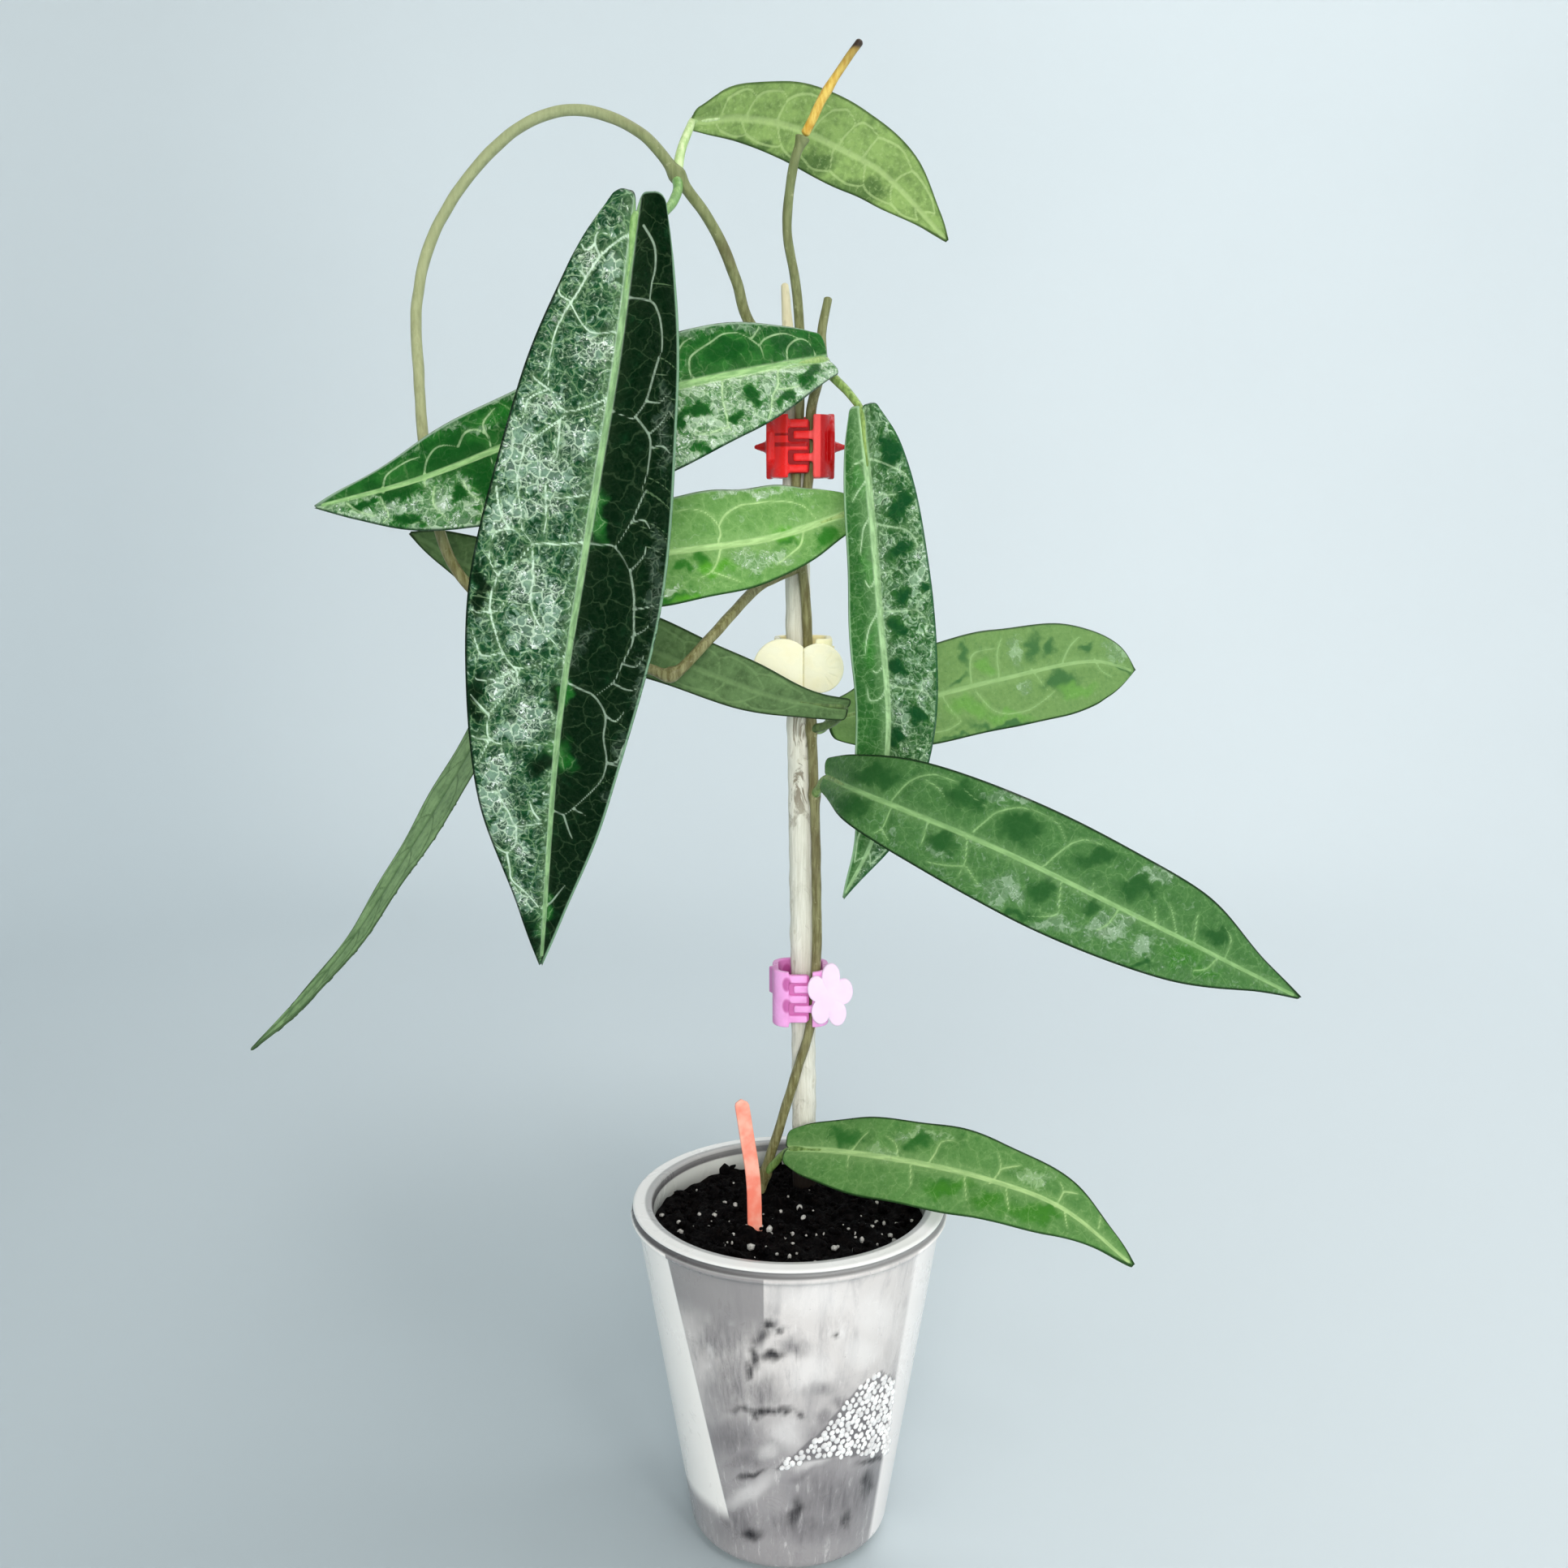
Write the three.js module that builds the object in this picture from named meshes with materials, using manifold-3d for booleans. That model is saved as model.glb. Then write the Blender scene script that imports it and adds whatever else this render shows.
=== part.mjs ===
// A climbing hoya with long leaves in a small clear nursery pot, clipped to a stake.
// Millimetres, +Z up. The origin is the centre of the pot's flat base, and a viewer stands on the -Y side.
import * as THREE from "three";
import { mergeVertices } from "three/addons/utils/BufferGeometryUtils.js";
import Module from "manifold-3d";

const wasm = await Module();
wasm.setup();

// Driving sizes.
const GAP = 0.3; // between pieces that touch

const POT_HEIGHT = 100;
const POT_RIM_RADIUS = 45;
const POT_RIM_WIDTH = 4.6;
const POT_RIM_HEIGHT = 4;
const POT_RIM_OVERHANG = 1.7; // rim beyond the wall below it
const POT_WALL = 2.4;
const POT_HEEL_RADIUS = 28.6;
const POT_HEEL_HEIGHT = 4;
const POT_FOOT_RADIUS = 24.5;
const POT_FLOOR = 2.6;
const POT_SHOULDER = 88; // where the inner wall starts to swell into the rim
const POT_SIDES = 40;
const DRAIN_HOLES = 5;
const DRAIN_RADIUS = 1.7;
const DRAIN_CIRCLE = 15;

const SOIL_TOP = 92.5;
const SOIL_EDGE = 86; // height of the soil where it leaves the wall
const SOIL_ROUGHNESS = 1.3;
const SOIL_RINGS = [1, 0.85, 0.68, 0.5, 0.32, 0.15, 0]; // shares of its top's radius
const SOIL_SIDES = 32;
const GRAINS = 20;
const GRAIN_RADIUS = 1.3;

const STEM_RADIUS = 1.45;
const STEM_SIDES = 7;
const STAKE_RADIUS = 3.6;
const STAKE_SIDES = 10;
const STAKE_TAPER_START = 0.84; // share of the stake's length
const STAKE_TAPER = 0.72; // share of the radius lost at the top
const SHOOT_RADIUS = 1.3;
const SHOOT_TAPER = 0.45;
const LABEL_WIDTH = 4.2;
const LABEL_THICKNESS = 0.9;
const LABEL_ACROSS = [0.96, 0.28, 0];

const BLADE_THICKNESS = 1;
const BLADE_ROWS = 14;
const BLADE_COLUMNS = 6;
const BLADE_STATIONS = [0, 0.08, 0.25, 0.5, 0.75, 0.92, 1];
const BLADE_TIP = 0.6; // half-width where the tip ends
const MIDRIB_RELIEF = 0.7;
const LOBE_REACH = 0.12; // share of the blade that the two base lobes take up
const EDGE_WAVE = 0.8;
const EDGE_WAVES = 4;
const PETIOLE_RADIUS = 1.3;
const PETIOLE_TAPER = 0.5;
const PETIOLE_RUN = [0, 0.05, 0.11]; // where it runs on under the midrib
const PETIOLE_DEPTH = 0.6;

// Routes, from root to tip.
const STAKE_ROUTE = [
  [5, 22, 32], [4.8, 24, 93], [4.4, 25, 138], [3, 25, 236], [2.4, 25, 275], [0.9, 25, 322], [-1.2, 25, 354.5],
];
const MAIN_STEM = [
  [-9, 23, 72], [-7.8, 23, 93.5], [-2.8, 21, 112], [3.1, 19, 133], [6.2, 19, 144], [8.1, 21, 165],
  [8, 21, 184], [7.5, 21, 208], [6.4, 20.5, 232], [5.5, 20, 252], [4.7, 19.5, 268], [3.6, 19.2, 278],
  [1.9, 19, 302], [2.8, 19, 310], [2.8, 18.8, 320], [2.8, 16.5, 328], [2.7, 12.5, 342.5], [1.4, 9, 354],
  [-0.6, 7, 365], [1.1, 4.5, 381], [3.6, 4, 388],
];
const STUB_STEM = [
  [3.2, 19.2, 284], [5, 19, 298], [5.8, 19, 308], [6, 18.6, 320],
  [8.6, 13, 331.5], [8.7, 11, 340], [10.4, 10.5, 349],
];
const LOOP_STEM = [
  [2.8, 16.5, 328], [-3.8, 11, 335.5], [-10.6, 5, 342], [-14.2, 1, 353], [-19.2, -3, 364], [-26.2, -5, 373.5],
  [-37.3, -5, 386.5], [-53, -3, 392.5], [-66.3, -1, 390], [-81.5, 1, 378], [-92.6, 1, 361], [-96, -2, 345],
  [-95, -7, 328], [-93.5, -11, 310], [-91.5, -12, 296], [-88.5, -12, 283], [-83, -12.5, 274],
  [-66, -13, 259.5], [-48, -13, 254.5], [-36.5, -13, 252.5], [-31, -13, 251], [-21.5, -10, 259.5],
  [-14.5, -3, 267], [-8, 8, 273], [0, 17.5, 276.5], [3.6, 19.2, 278],
];
const SHOOT_ROUTE = [[3.8, 4, 388], [5.4, 4, 391], [8.5, 4, 397], [13, 4, 404], [18.2, 4, 411]];
const LABEL_ROUTE = [[-9, -7, 66], [-9.7, -4, 93], [-10.2, -1, 106], [-12, 1, 118], [-13.6, 2, 128.5]];

// Swollen joints of the stem: place and radius.
const STEM_KNOBS = [
  [[-28.4, -5, 376.5], 2.4],
  [[-31, -13, 251], 2.3],
  [[8.6, 13, 331.5], 2.3],
  [[3.6, 4, 387.6], 2.2],
  [[6.4, 20.5, 232], 1.9],
  [[7.4, 21, 213], 1.9],
  [[3.2, 19.2, 285], 1.8],
  [[-7.4, 22.8, 97], 2.2],
  [[-66, -13, 259.5], 2],
];

// Leaves. A midrib runs from the base of the blade to its tip. Left and right are half-widths at
// BLADE_STATIONS, seen on the upper face with the tip pointing away, without the tip's own. The upper
// face looks along facing, first at the base and then at the tip. A petiole starts inside its stem.
const LEAVES = {
  leaf_front: {
    color: 0x1b4a2c,
    midrib: [[-36.5, -32, 362.5], [-40, -47, 328], [-47.5, -53, 284], [-55, -50, 243.5], [-63.5, -34, 179]],
    left: [7.5, 11, 16, 20, 14, 5],
    right: [6.5, 14, 21, 25, 18, 6.5],
    facing: [[0, -1, 0.1], [0, -1, -0.15]],
    fold: 8,
    lobe: 6,
    petiole: [[-28.4, -5, 376.5], [-28, -9, 372], [-30, -18, 366], [-33.5, -26, 362]],
  },
  leaf_upper_left: {
    color: 0x2b6a34,
    midrib: [
      [9, 6, 332.5], [-2.5, -8, 329.5], [-28.5, -24, 323], [-54, -31, 314.5], [-90, -30, 301],
      [-118.5, -23, 294],
    ],
    left: [5.5, 8.5, 16.5, 22, 16, 6],
    right: [7, 10.5, 13, 12.5, 9.5, 3.5],
    facing: [[0.15, -1, 0.25], [0, -1, 0.25]],
    fold: 8,
    lobe: 2.5,
    petiole: [[8.6, 13, 331.5], [9.6, 10, 332.2]],
  },
  leaf_middle: {
    color: 0x48853f,
    midrib: [[16, 9, 292.5], [-5, -5, 286], [-31.5, -19, 282.5], [-47.5, -23, 279.5], [-66, -25, 272]],
    left: [5, 6.5, 10.5, 13.5, 13, 7],
    right: [6, 10, 14, 14.5, 11.5, 4.5],
    facing: [[0.1, -1, 0.35], [0, -1, 0.3]],
    fold: 6,
    lobe: 2,
    petiole: [[3.2, 19.2, 285], [9.5, 18.5, 287], [15.5, 15, 291.5]],
  },
  leaf_upright_right: {
    color: 0x2f6f38,
    midrib: [
      [19, 1, 318.5], [21, -4, 299], [24, -5, 267.5], [27, 1, 234.5], [24, 8, 204.5],
      [15.5, 13, 184.5],
    ],
    left: [5, 10, 14, 14.5, 10, 3],
    right: [3.5, 6, 7.5, 9, 8, 3],
    facing: [[-0.25, -1, 0.1], [-0.2, -1, 0]],
    fold: 10,
    lobe: 2,
    petiole: [[8.6, 13, 331.5], [12.5, 9.5, 327.5], [16, 5.5, 323.5]],
  },
  leaf_right_rear: {
    color: 0x4a8440,
    midrib: [[12.5, 27, 234], [45.5, 42, 239.5], [63.5, 49, 243], [94, 59, 247.5], [107, 63, 244]],
    left: [5, 7, 14, 15.5, 13, 7],
    right: [6.5, 10.5, 14, 15, 15.5, 10.5],
    facing: [[0, -1, 0.35], [0.1, -1, 0.3]],
    fold: 5,
    lobe: 2,
    petiole: [[6.4, 20.5, 232], [9.2, 23, 231.6]],
  },
  leaf_lower_right: {
    color: 0x2c6436,
    midrib: [
      [11, 9, 220], [19, -8, 219], [31.5, -18, 215.5], [55.5, -29, 207], [88.5, -34, 191.5],
      [133, -28, 168],
    ],
    left: [5.5, 9, 14, 15, 13, 4.5],
    right: [5, 7.5, 12, 15, 11.5, 3.5],
    facing: [[-0.1, -1, 0.12], [0.1, -1, 0.3]],
    fold: 5,
    lobe: 3,
    petiole: [[7.4, 21, 213], [8.6, 17, 215.5], [9.8, 13, 218.5]],
  },
  leaf_bottom_right: {
    color: 0x3a7a3a,
    midrib: [
      [0.5, 14, 108.5], [14, 5, 111.5], [34.5, -6, 113], [54.5, -14, 111.5], [74, -20, 106],
      [93, -26, 92],
    ],
    left: [5.5, 8.5, 11, 12, 8.5, 4],
    right: [5, 9, 12.5, 12.5, 9.5, 3],
    facing: [[-0.2, -0.8, 0.75], [0.4, -0.8, 0.5]],
    fold: 6,
    lobe: 2,
    petiole: [[-7.4, 22.8, 97], [-4.6, 20.8, 100.5], [-1.8, 17.6, 105]],
  },
  leaf_top_right: {
    color: 0x6f9a55,
    midrib: [
      [-24, 2, 391], [-12, 14, 394.5], [1, 22, 394], [14.5, 28, 389.5], [25.5, 32, 384.5],
      [44, 35, 367],
    ],
    left: [4, 6.5, 10, 12, 9, 4],
    right: [2.5, 4, 7, 9.5, 8, 2.5],
    facing: [[0.1, -1, -0.55], [0.3, -1, -0.2]],
    fold: 5,
    lobe: 1.5,
    petiole: [[-28.4, -5, 376.5], [-27.5, -4, 382], [-25.4, -1, 388.5]],
  },
  leaf_dark_middle: {
    color: 0x24462a,
    midrib: [
      [15, 6, 240], [-2.5, -1, 243.5], [-20, -4, 250], [-37, -6, 257], [-62.5, -6, 267.5], [-84, -4, 278.5],
      [-100, -2, 287.5],
    ],
    left: [3.5, 4.5, 6.5, 8, 7, 3.5],
    right: [3, 4, 8, 9.5, 11.5, 6],
    facing: [[0.1, -1, -0.3], [0.1, -1, -0.2]],
    fold: 4,
    lobe: 1.5,
    petiole: [[6.4, 20.5, 232], [10.5, 17, 233.5], [14.5, 12, 237]],
  },
  leaf_lower_left: {
    color: 0x557f50,
    midrib: [
      [-74, -15.5, 248], [-84, -22, 229], [-94.5, -28, 211.5], [-111, -34, 186], [-121, -36, 174],
      [-138, -37, 157],
    ],
    left: [6, 10, 13, 9, 5.5, 2.5],
    right: [5, 8.5, 9, 6, 3, 1.5],
    facing: [[-0.74, -0.4, 0.5], [-0.7, -0.45, 0.5]],
    fold: 4,
    lobe: 1.5,
    petiole: [[-66, -13, 259.5], [-69.5, -13.5, 256], [-72.5, -14.5, 251.5]],
  },
};

// Claw clips. The two jaws close round the stake and the stem, and turn on a pin behind them.
const JAW_HALF_WIDTH = 8.2;
const JAW_FRONT = 8.6;
const JAW_BACK = 7.8;
const JAW_WALL = 1.8;
const JAW_CORNER = 5;
const MOUTH = 3.4; // half-width of the finger field at the front
const MOUTH_DEPTH = 3;
const FINGER_LENGTH = 6;
const FINGER_THICKNESS = 1.2;
const FINGER_HEIGHT = 2.2;
const FINGER_SPACE = 0.8;
const FINGER_ROOT = 0.6; // how far a finger starts inside its jaw
const PIN_BACK = 10.4;
const PIN_RADIUS = 0.8;
const KNUCKLE_RADIUS = 2;
const KNUCKLE_SPLIT = 0.3; // share of the height where the fixed jaw's knuckle ends
const ORNAMENT_BACK = 8.35; // where a plate is let into the front of its jaw
const STAR_POINTS = 8;
const STAR_THICKNESS = 1.6;
const SPIKE_LENGTH = 4;
const SHELL_THICKNESS = 2.2;
const SHELLS = [
  { radius: 8.2, centre: -5.8 },
  { radius: 6.9, centre: 4.3 },
];
const SHELL_GROOVES = [-2, -1, 0, 1, 2];
const GROOVE_ANGLE = 0.42;
const PETALS = 5;
const PETAL_RADIUS = 3;
const PETAL_CIRCLE = 4.1;
const FLOWER_HEART_RADIUS = 3.9;
const FLOWER_CENTRE = 8.5;
const FAR = 20; // beyond any part of a clip
const CLIPS = {
  clip_red: {
    color: 0xc8202a, at: [3.1, 23, 302], height: 17, mover: 1, fingers: 5, ornament: "star",
  },
  clip_cream: {
    color: 0xe9dfa8, at: [4, 23, 244], height: 14, mover: -1, fingers: 0, ornament: "shell",
  },
  clip_pink: {
    color: 0xe6a6dc, at: [3.4, 22.9, 145.5], height: 16.5, mover: 1, fingers: 5, ornament: "flower",
  },
};

// Solids.
function asSolid(geometry) {
  const bare = geometry.clone();
  bare.deleteAttribute("normal");
  bare.deleteAttribute("uv");
  const merged = mergeVertices(bare, 1e-4);
  const mesh = new wasm.Mesh({
    numProp: 3,
    vertProperties: new Float32Array(merged.attributes.position.array),
    triVerts: new Uint32Array(merged.index.array),
  });
  return new wasm.Manifold(mesh);
}

function asGeometry(solid) {
  const mesh = solid.getMesh();
  const geometry = new THREE.BufferGeometry();
  geometry.setAttribute("position", new THREE.BufferAttribute(new Float32Array(mesh.vertProperties), 3));
  geometry.setIndex(new THREE.BufferAttribute(new Uint32Array(mesh.triVerts), 1));
  geometry.computeVertexNormals();
  return geometry;
}

function vectors(points) {
  return points.map((point) => new THREE.Vector3(...point));
}

function curveThrough(points) {
  return new THREE.CatmullRomCurve3(vectors(points), false, "centripetal");
}

// A closed surface from a list of vertices and triangles, turned so that its faces point out.
function closedGeometry(vertices, triangles) {
  let volume = 0;
  for (const [a, b, c] of triangles) {
    volume += vertices[a].dot(vertices[b].clone().cross(vertices[c]));
  }
  const order = volume < 0 ? triangles.map(([a, b, c]) => [a, c, b]) : triangles;
  const geometry = new THREE.BufferGeometry();
  geometry.setFromPoints(vertices);
  geometry.setIndex(order.flat());
  return geometry;
}

// A round bar along a curve, whose radius is a function of the way along it from 0 to 1.
function bar(curve, radiusAt, sides, steps) {
  const frames = curve.computeFrenetFrames(steps, false);
  const vertices = [curve.getPointAt(0), curve.getPointAt(1)];
  const triangles = [];
  const vertexAt = (ring, side) => 2 + ring * sides + (side % sides);
  for (let ring = 0; ring <= steps; ring++) {
    const centre = curve.getPointAt(ring / steps);
    const radius = radiusAt(ring / steps);
    for (let side = 0; side < sides; side++) {
      const angle = (2 * Math.PI * side) / sides;
      const spoke = frames.normals[ring].clone().multiplyScalar(Math.cos(angle) * radius);
      spoke.addScaledVector(frames.binormals[ring], Math.sin(angle) * radius);
      vertices.push(centre.clone().add(spoke));
    }
  }
  for (let side = 0; side < sides; side++) {
    triangles.push([0, vertexAt(0, side + 1), vertexAt(0, side)]);
    triangles.push([1, vertexAt(steps, side), vertexAt(steps, side + 1)]);
    for (let ring = 0; ring < steps; ring++) {
      const [a, b] = [vertexAt(ring, side), vertexAt(ring, side + 1)];
      const [c, d] = [vertexAt(ring + 1, side + 1), vertexAt(ring + 1, side)];
      triangles.push([a, b, c], [a, c, d]);
    }
  }
  return asSolid(closedGeometry(vertices, triangles));
}

// A thin solid between two grids of points that have the same rows and columns.
function slab(upper, lower) {
  const rows = upper.length - 1;
  const columns = upper[0].length - 1;
  const vertices = [...upper.flat(), ...lower.flat()];
  const offset = upper.flat().length;
  const up = (row, column) => row * (columns + 1) + column;
  const down = (row, column) => offset + up(row, column);
  const triangles = [];
  const quad = (a, b, c, d) => triangles.push([a, b, c], [a, c, d]);
  for (let row = 0; row < rows; row++) {
    for (let column = 0; column < columns; column++) {
      quad(up(row, column), up(row + 1, column), up(row + 1, column + 1), up(row, column + 1));
      const [a, b] = [down(row, column), down(row + 1, column)];
      const [c, d] = [down(row + 1, column + 1), down(row, column + 1)];
      triangles.push([a, c, b], [a, d, c]);
    }
    quad(up(row, 0), down(row, 0), down(row + 1, 0), up(row + 1, 0));
    quad(up(row, columns), up(row + 1, columns), down(row + 1, columns), down(row, columns));
  }
  for (let column = 0; column < columns; column++) {
    quad(up(0, column), up(0, column + 1), down(0, column + 1), down(0, column));
    quad(up(rows, column), down(rows, column), down(rows, column + 1), up(rows, column + 1));
  }
  return asSolid(closedGeometry(vertices, triangles));
}

// A box between two opposite corners, given in any order.
function box(one, other) {
  const size = one.map((value, axis) => Math.abs(other[axis] - value));
  const centre = one.map((value, axis) => (value + other[axis]) / 2);
  return asSolid(new THREE.BoxGeometry(...size).translate(...centre));
}

function prism(shape, height, z) {
  const options = { depth: height, bevelEnabled: false, curveSegments: 4 };
  return asSolid(new THREE.ExtrudeGeometry(shape, options).translate(0, 0, z));
}

// An upright cylinder between two heights.
function post(radius, low, high, x, y, sides) {
  const cylinder = new THREE.CylinderGeometry(radius, radius, high - low, sides).rotateX(Math.PI / 2);
  return asSolid(cylinder.translate(x, y, (low + high) / 2));
}

function turned(profile, sides) {
  const points = profile.map(([x, y]) => new THREE.Vector2(x, y));
  return new THREE.LatheGeometry(points, sides).rotateX(Math.PI / 2);
}

// A grain cut loose by a hole is dropped.
function largestBody(solid) {
  return solid.decompose().reduce((best, body) => (body.volume() > best.volume() ? body : best));
}

// A small generator of repeatable random numbers from 0 to 1.
function randomFrom(seed) {
  let state = seed;
  return () => {
    state = (state * 1664525 + 1013904223) % 4294967296;
    return state / 4294967296;
  };
}

// Pot and soil.
function potInnerRadius(z) {
  const rise = POT_HEIGHT - POT_RIM_HEIGHT - POT_HEEL_HEIGHT;
  const slope = (POT_RIM_RADIUS - POT_RIM_OVERHANG - POT_HEEL_RADIUS) / rise;
  return POT_HEEL_RADIUS + slope * (z - POT_HEEL_HEIGHT) - POT_WALL;
}

function potSolid() {
  const rimFoot = POT_HEIGHT - POT_RIM_HEIGHT;
  const rimInner = POT_RIM_RADIUS - POT_RIM_WIDTH;
  const innerHeel = potInnerRadius(POT_HEEL_HEIGHT);
  const profile = [
    [0, 0],
    [POT_FOOT_RADIUS, 0],
    [POT_FOOT_RADIUS + 0.8, 1.2],
    [POT_HEEL_RADIUS - 1.2, 2],
    [POT_HEEL_RADIUS, POT_HEEL_HEIGHT],
    [potInnerRadius(rimFoot) + POT_WALL, rimFoot],
    [POT_RIM_RADIUS - 0.6, rimFoot + 0.4],
    [POT_RIM_RADIUS, rimFoot + 1.5],
    [POT_RIM_RADIUS - 0.3, POT_HEIGHT - 0.8],
    [POT_RIM_RADIUS - 1.4, POT_HEIGHT],
    [rimInner + 1.4, POT_HEIGHT],
    [rimInner + 0.3, POT_HEIGHT - 0.9],
    [rimInner, POT_HEIGHT - 2.4],
    [potInnerRadius(POT_SHOULDER), POT_SHOULDER],
    [innerHeel, POT_HEEL_HEIGHT + 1],
    [innerHeel - 1.5, POT_FLOOR],
    [0, POT_FLOOR],
  ];
  let pot = asSolid(turned(profile, POT_SIDES));
  for (let hole = 0; hole < DRAIN_HOLES; hole++) {
    const angle = (2 * Math.PI * hole) / DRAIN_HOLES;
    const [x, y] = [DRAIN_CIRCLE * Math.cos(angle), DRAIN_CIRCLE * Math.sin(angle)];
    pot = pot.subtract(post(DRAIN_RADIUS, -POT_FLOOR, 2 * POT_FLOOR, x, y, 10));
  }
  return pot;
}

function soilHeight(x, y) {
  const waves = Math.sin(0.31 * x + 1.3) + Math.cos(0.43 * y - 0.17 * x) + Math.sin(0.71 * y + 0.57 * x);
  return SOIL_TOP + (SOIL_ROUGHNESS * waves) / 3;
}

function soilSolid(holes) {
  const bottom = POT_FLOOR + GAP;
  const edge = potInnerRadius(POT_SHOULDER) - GAP;
  const heel = potInnerRadius(POT_HEEL_HEIGHT);
  const profile = [
    [0, bottom],
    [heel - 1.9, bottom],
    [heel - GAP, POT_HEEL_HEIGHT + 1.4],
    [potInnerRadius(SOIL_EDGE) - GAP, SOIL_EDGE],
    ...SOIL_RINGS.map((share) => [edge * share, SOIL_TOP]),
  ];
  const lathe = turned(profile, SOIL_SIDES);
  const position = lathe.attributes.position;
  for (let i = 0; i < position.count; i++) {
    if (position.getZ(i) < SOIL_TOP - 1) continue;
    position.setZ(i, soilHeight(position.getX(i), position.getY(i)));
  }
  let soil = asSolid(lathe);
  const random = randomFrom(7);
  for (let grain = 0; grain < GRAINS; grain++) {
    const radius = (edge - 3) * Math.sqrt(random());
    const angle = 2 * Math.PI * random();
    const [x, y] = [radius * Math.cos(angle), radius * Math.sin(angle)];
    const pebble = new THREE.IcosahedronGeometry(GRAIN_RADIUS * (0.7 + 0.6 * random()), 0);
    pebble.rotateX(3 * random()).rotateZ(3 * random());
    soil = soil.add(asSolid(pebble.translate(x, y, soilHeight(x, y) + 0.2)));
  }
  for (const hole of holes) soil = soil.subtract(hole);
  return largestBody(soil);
}

// Stake and label stick.
function stakeSolid(grow) {
  const radiusAt = (u) => {
    const tapered = Math.max(0, (u - STAKE_TAPER_START) / (1 - STAKE_TAPER_START));
    return grow + STAKE_RADIUS * (1 - STAKE_TAPER * tapered);
  };
  return bar(curveThrough(STAKE_ROUTE), radiusAt, STAKE_SIDES, 18);
}

function labelSolid(grow) {
  const curve = curveThrough(LABEL_ROUTE);
  const across = new THREE.Vector3(...LABEL_ACROSS);
  const depth = LABEL_THICKNESS / 2 + grow;
  const rows = 10;
  const upper = [];
  const lower = [];
  for (let row = 0; row <= rows; row++) {
    const u = row / rows;
    const centre = curve.getPointAt(u);
    const tangent = curve.getTangentAt(u);
    if (row === rows) centre.addScaledVector(tangent, grow);
    const normal = across.clone().cross(tangent).normalize();
    const roundTop = Math.sqrt(Math.max(0.12, 1 - Math.max(0, (u - 0.93) / 0.07) ** 2));
    const half = (LABEL_WIDTH / 2) * roundTop + grow;
    const line = [-1, 0, 1].map((side) => centre.clone().addScaledVector(across, side * half));
    upper.push(line.map((point) => point.clone().addScaledVector(normal, depth)));
    lower.push(line.map((point) => point.clone().addScaledVector(normal, -depth)));
  }
  return slab(upper, lower);
}

// The vine's stem: main stem, loop, cut stub and swollen joints, grown together.
function stemBar(route, steps, tipRadius, grow) {
  const radiusAt = (u) => grow + STEM_RADIUS + (tipRadius - STEM_RADIUS) * Math.max(0, (u - 0.7) / 0.3);
  return bar(curveThrough(route), radiusAt, STEM_SIDES, steps);
}

function vineSolid(grow) {
  let vine = stemBar(MAIN_STEM, 36, 1.2, grow);
  vine = vine.add(stemBar(LOOP_STEM, 46, STEM_RADIUS, grow));
  vine = vine.add(stemBar(STUB_STEM, 10, 1.1, grow));
  for (const [place, radius] of STEM_KNOBS) {
    const knob = new THREE.SphereGeometry(radius + grow, 6, 5).translate(...place);
    vine = vine.add(asSolid(knob));
  }
  return vine;
}

function shootSolid(stemClearance) {
  const radiusAt = (u) => SHOOT_RADIUS - SHOOT_TAPER * u;
  return bar(curveThrough(SHOOT_ROUTE), radiusAt, STEM_SIDES, 7).subtract(stemClearance);
}

// Leaf blades.
function bladeAxes(leaf, curve, t) {
  const tangent = curve.getTangentAt(t);
  const [atBase, atTip] = vectors(leaf.facing);
  const normal = atBase.lerp(atTip, t);
  normal.addScaledVector(tangent, -normal.dot(tangent)).normalize();
  const across = tangent.clone().cross(normal);
  return { tangent, normal, across };
}

function bladeProfile(halfWidths) {
  const widths = [...halfWidths, BLADE_TIP];
  return new THREE.SplineCurve(BLADE_STATIONS.map((t, i) => new THREE.Vector2(t, widths[i])));
}

function bladeSolid(leaf, seed) {
  const curve = curveThrough(leaf.midrib);
  const [leftProfile, rightProfile] = [bladeProfile(leaf.left), bladeProfile(leaf.right)];
  const random = randomFrom(seed);
  const phases = [2 * Math.PI * random(), 2 * Math.PI * random()];
  const fold = THREE.MathUtils.degToRad(leaf.fold);
  const upper = [];
  const lower = [];
  for (let row = 0; row <= BLADE_ROWS; row++) {
    const u = row / BLADE_ROWS;
    const t = THREE.MathUtils.clamp(leftProfile.getPoint(u).x, 0, 1);
    const { tangent, normal, across } = bladeAxes(leaf, curve, t);
    const centre = curve.getPointAt(t);
    const upperRow = [];
    const lowerRow = [];
    for (let column = 0; column <= BLADE_COLUMNS; column++) {
      const v = (2 * column) / BLADE_COLUMNS - 1;
      const half = Math.max(BLADE_TIP, (v < 0 ? leftProfile : rightProfile).getPoint(u).y);
      const wave = EDGE_WAVE * v * v * Math.sin(2 * Math.PI * EDGE_WAVES * t + phases[v < 0 ? 0 : 1]);
      const lobe = leaf.lobe * Math.sin(Math.PI * Math.abs(v)) * Math.max(0, 1 - t / LOBE_REACH);
      const point = centre.clone().addScaledVector(across, v * half * Math.cos(fold));
      point.addScaledVector(normal, Math.abs(v) * half * Math.sin(fold) + wave);
      point.addScaledVector(tangent, -lobe);
      const relief = v === 0 ? MIDRIB_RELIEF * (1 - t) : 0;
      upperRow.push(point.clone().addScaledVector(normal, BLADE_THICKNESS / 2));
      lowerRow.push(point.clone().addScaledVector(normal, -BLADE_THICKNESS / 2 - relief));
    }
    upper.push(upperRow);
    lower.push(lowerRow);
  }
  return slab(upper, lower);
}

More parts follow.
